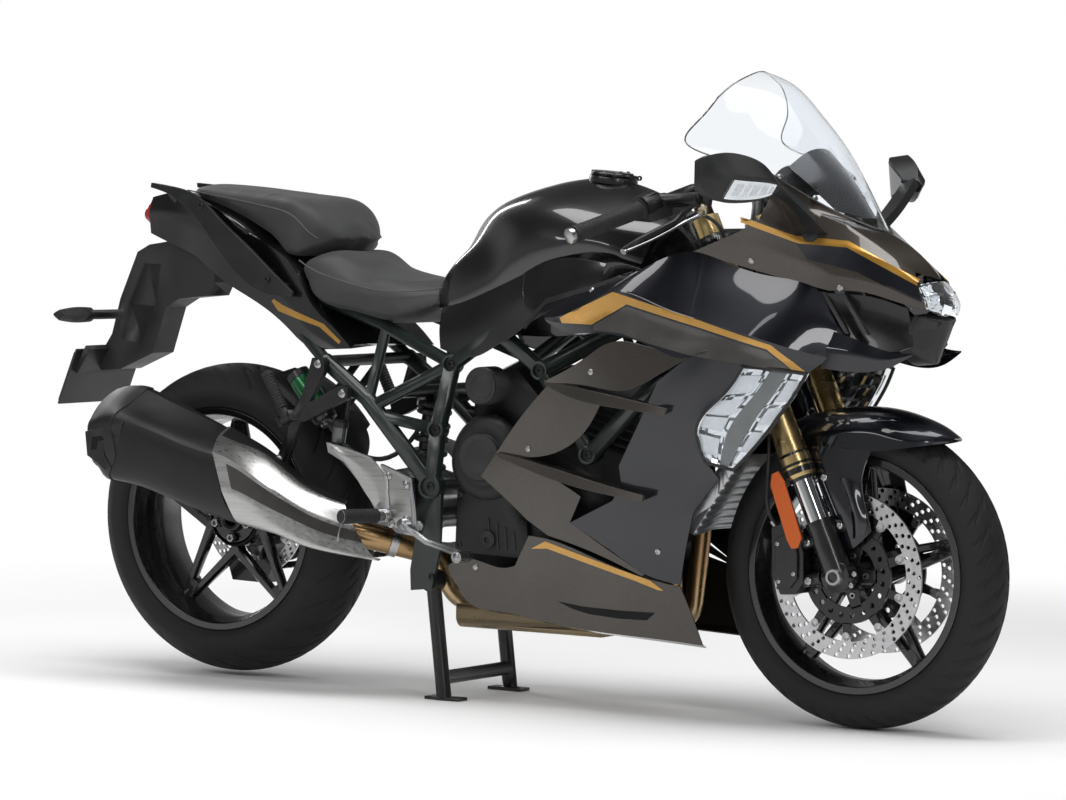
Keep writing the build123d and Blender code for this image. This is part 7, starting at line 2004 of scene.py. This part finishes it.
class MOTO_OT_rear_parts(bpy.types.Operator):
    """Tail lens, plate arm and plate, and the silencer cap"""
    bl_idname = "moto.rear_parts"
    bl_label = "Rear parts"

    def execute(self, context):
        make_tail_parts()
        return {"FINISHED"}


class MOTO_OT_pegs(bpy.types.Operator):
    """Folding pegs with their rubbers"""
    bl_idname = "moto.pegs"
    bl_label = "Passenger pegs"

    def execute(self, context):
        make_pegs()
        return {"FINISHED"}


class MOTO_OT_rest(bpy.types.Operator):
    """Finishes for the pieces whose CAD shape stays"""
    bl_idname = "moto.rest"
    bl_label = "Carried-over pieces"

    def execute(self, context):
        dress_rest()
        return {"FINISHED"}


OPERATORS = (MOTO_OT_stage, MOTO_OT_wheels, MOTO_OT_cowls, MOTO_OT_tank, MOTO_OT_tail, MOTO_OT_seats,
             MOTO_OT_exhaust, MOTO_OT_screen, MOTO_OT_lamps, MOTO_OT_mirrors, MOTO_OT_fork,
             MOTO_OT_bars, MOTO_OT_engine, MOTO_OT_frame, MOTO_OT_hangers, MOTO_OT_shock,
             MOTO_OT_rear_parts, MOTO_OT_pegs, MOTO_OT_rest)


class MOTO_PT_sidebar(bpy.types.Panel):
    """Lists the makers in the 3D view's sidebar"""
    bl_idname = "MOTO_PT_sidebar"
    bl_label = "Motorcycle"
    bl_space_type = "VIEW_3D"
    bl_region_type = "UI"
    bl_category = "Motorcycle"

    def draw(self, context):
        for group in (context.scene.moto_paint, context.scene.moto_sizes):
            for name in group.__annotations__:
                self.layout.prop(group, name)
        for operator in OPERATORS:
            self.layout.operator(operator.bl_idname)


CLASSES = (PaintSettings, SizeSettings, *OPERATORS, MOTO_PT_sidebar)


def register():
    """Makes the settings, operators and panel known."""
    for made in CLASSES:
        bpy.utils.register_class(made)
    bpy.types.Scene.moto_paint = PointerProperty(type=PaintSettings)
    bpy.types.Scene.moto_sizes = PointerProperty(type=SizeSettings)


def unregister():
    """Takes them away again, last first."""
    del bpy.types.Scene.moto_sizes
    del bpy.types.Scene.moto_paint
    for made in reversed(CLASSES):
        bpy.utils.unregister_class(made)


def main():
    """Registers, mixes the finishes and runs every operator."""
    register()
    mix_finishes(bpy.context.scene.moto_paint)
    for operator in OPERATORS:
        group, name = operator.bl_idname.split(".")
        if getattr(getattr(bpy.ops, group), name)() != {"FINISHED"}:
            raise RuntimeError(operator.bl_label + " did not finish")


if __name__ == "__main__":
    main()
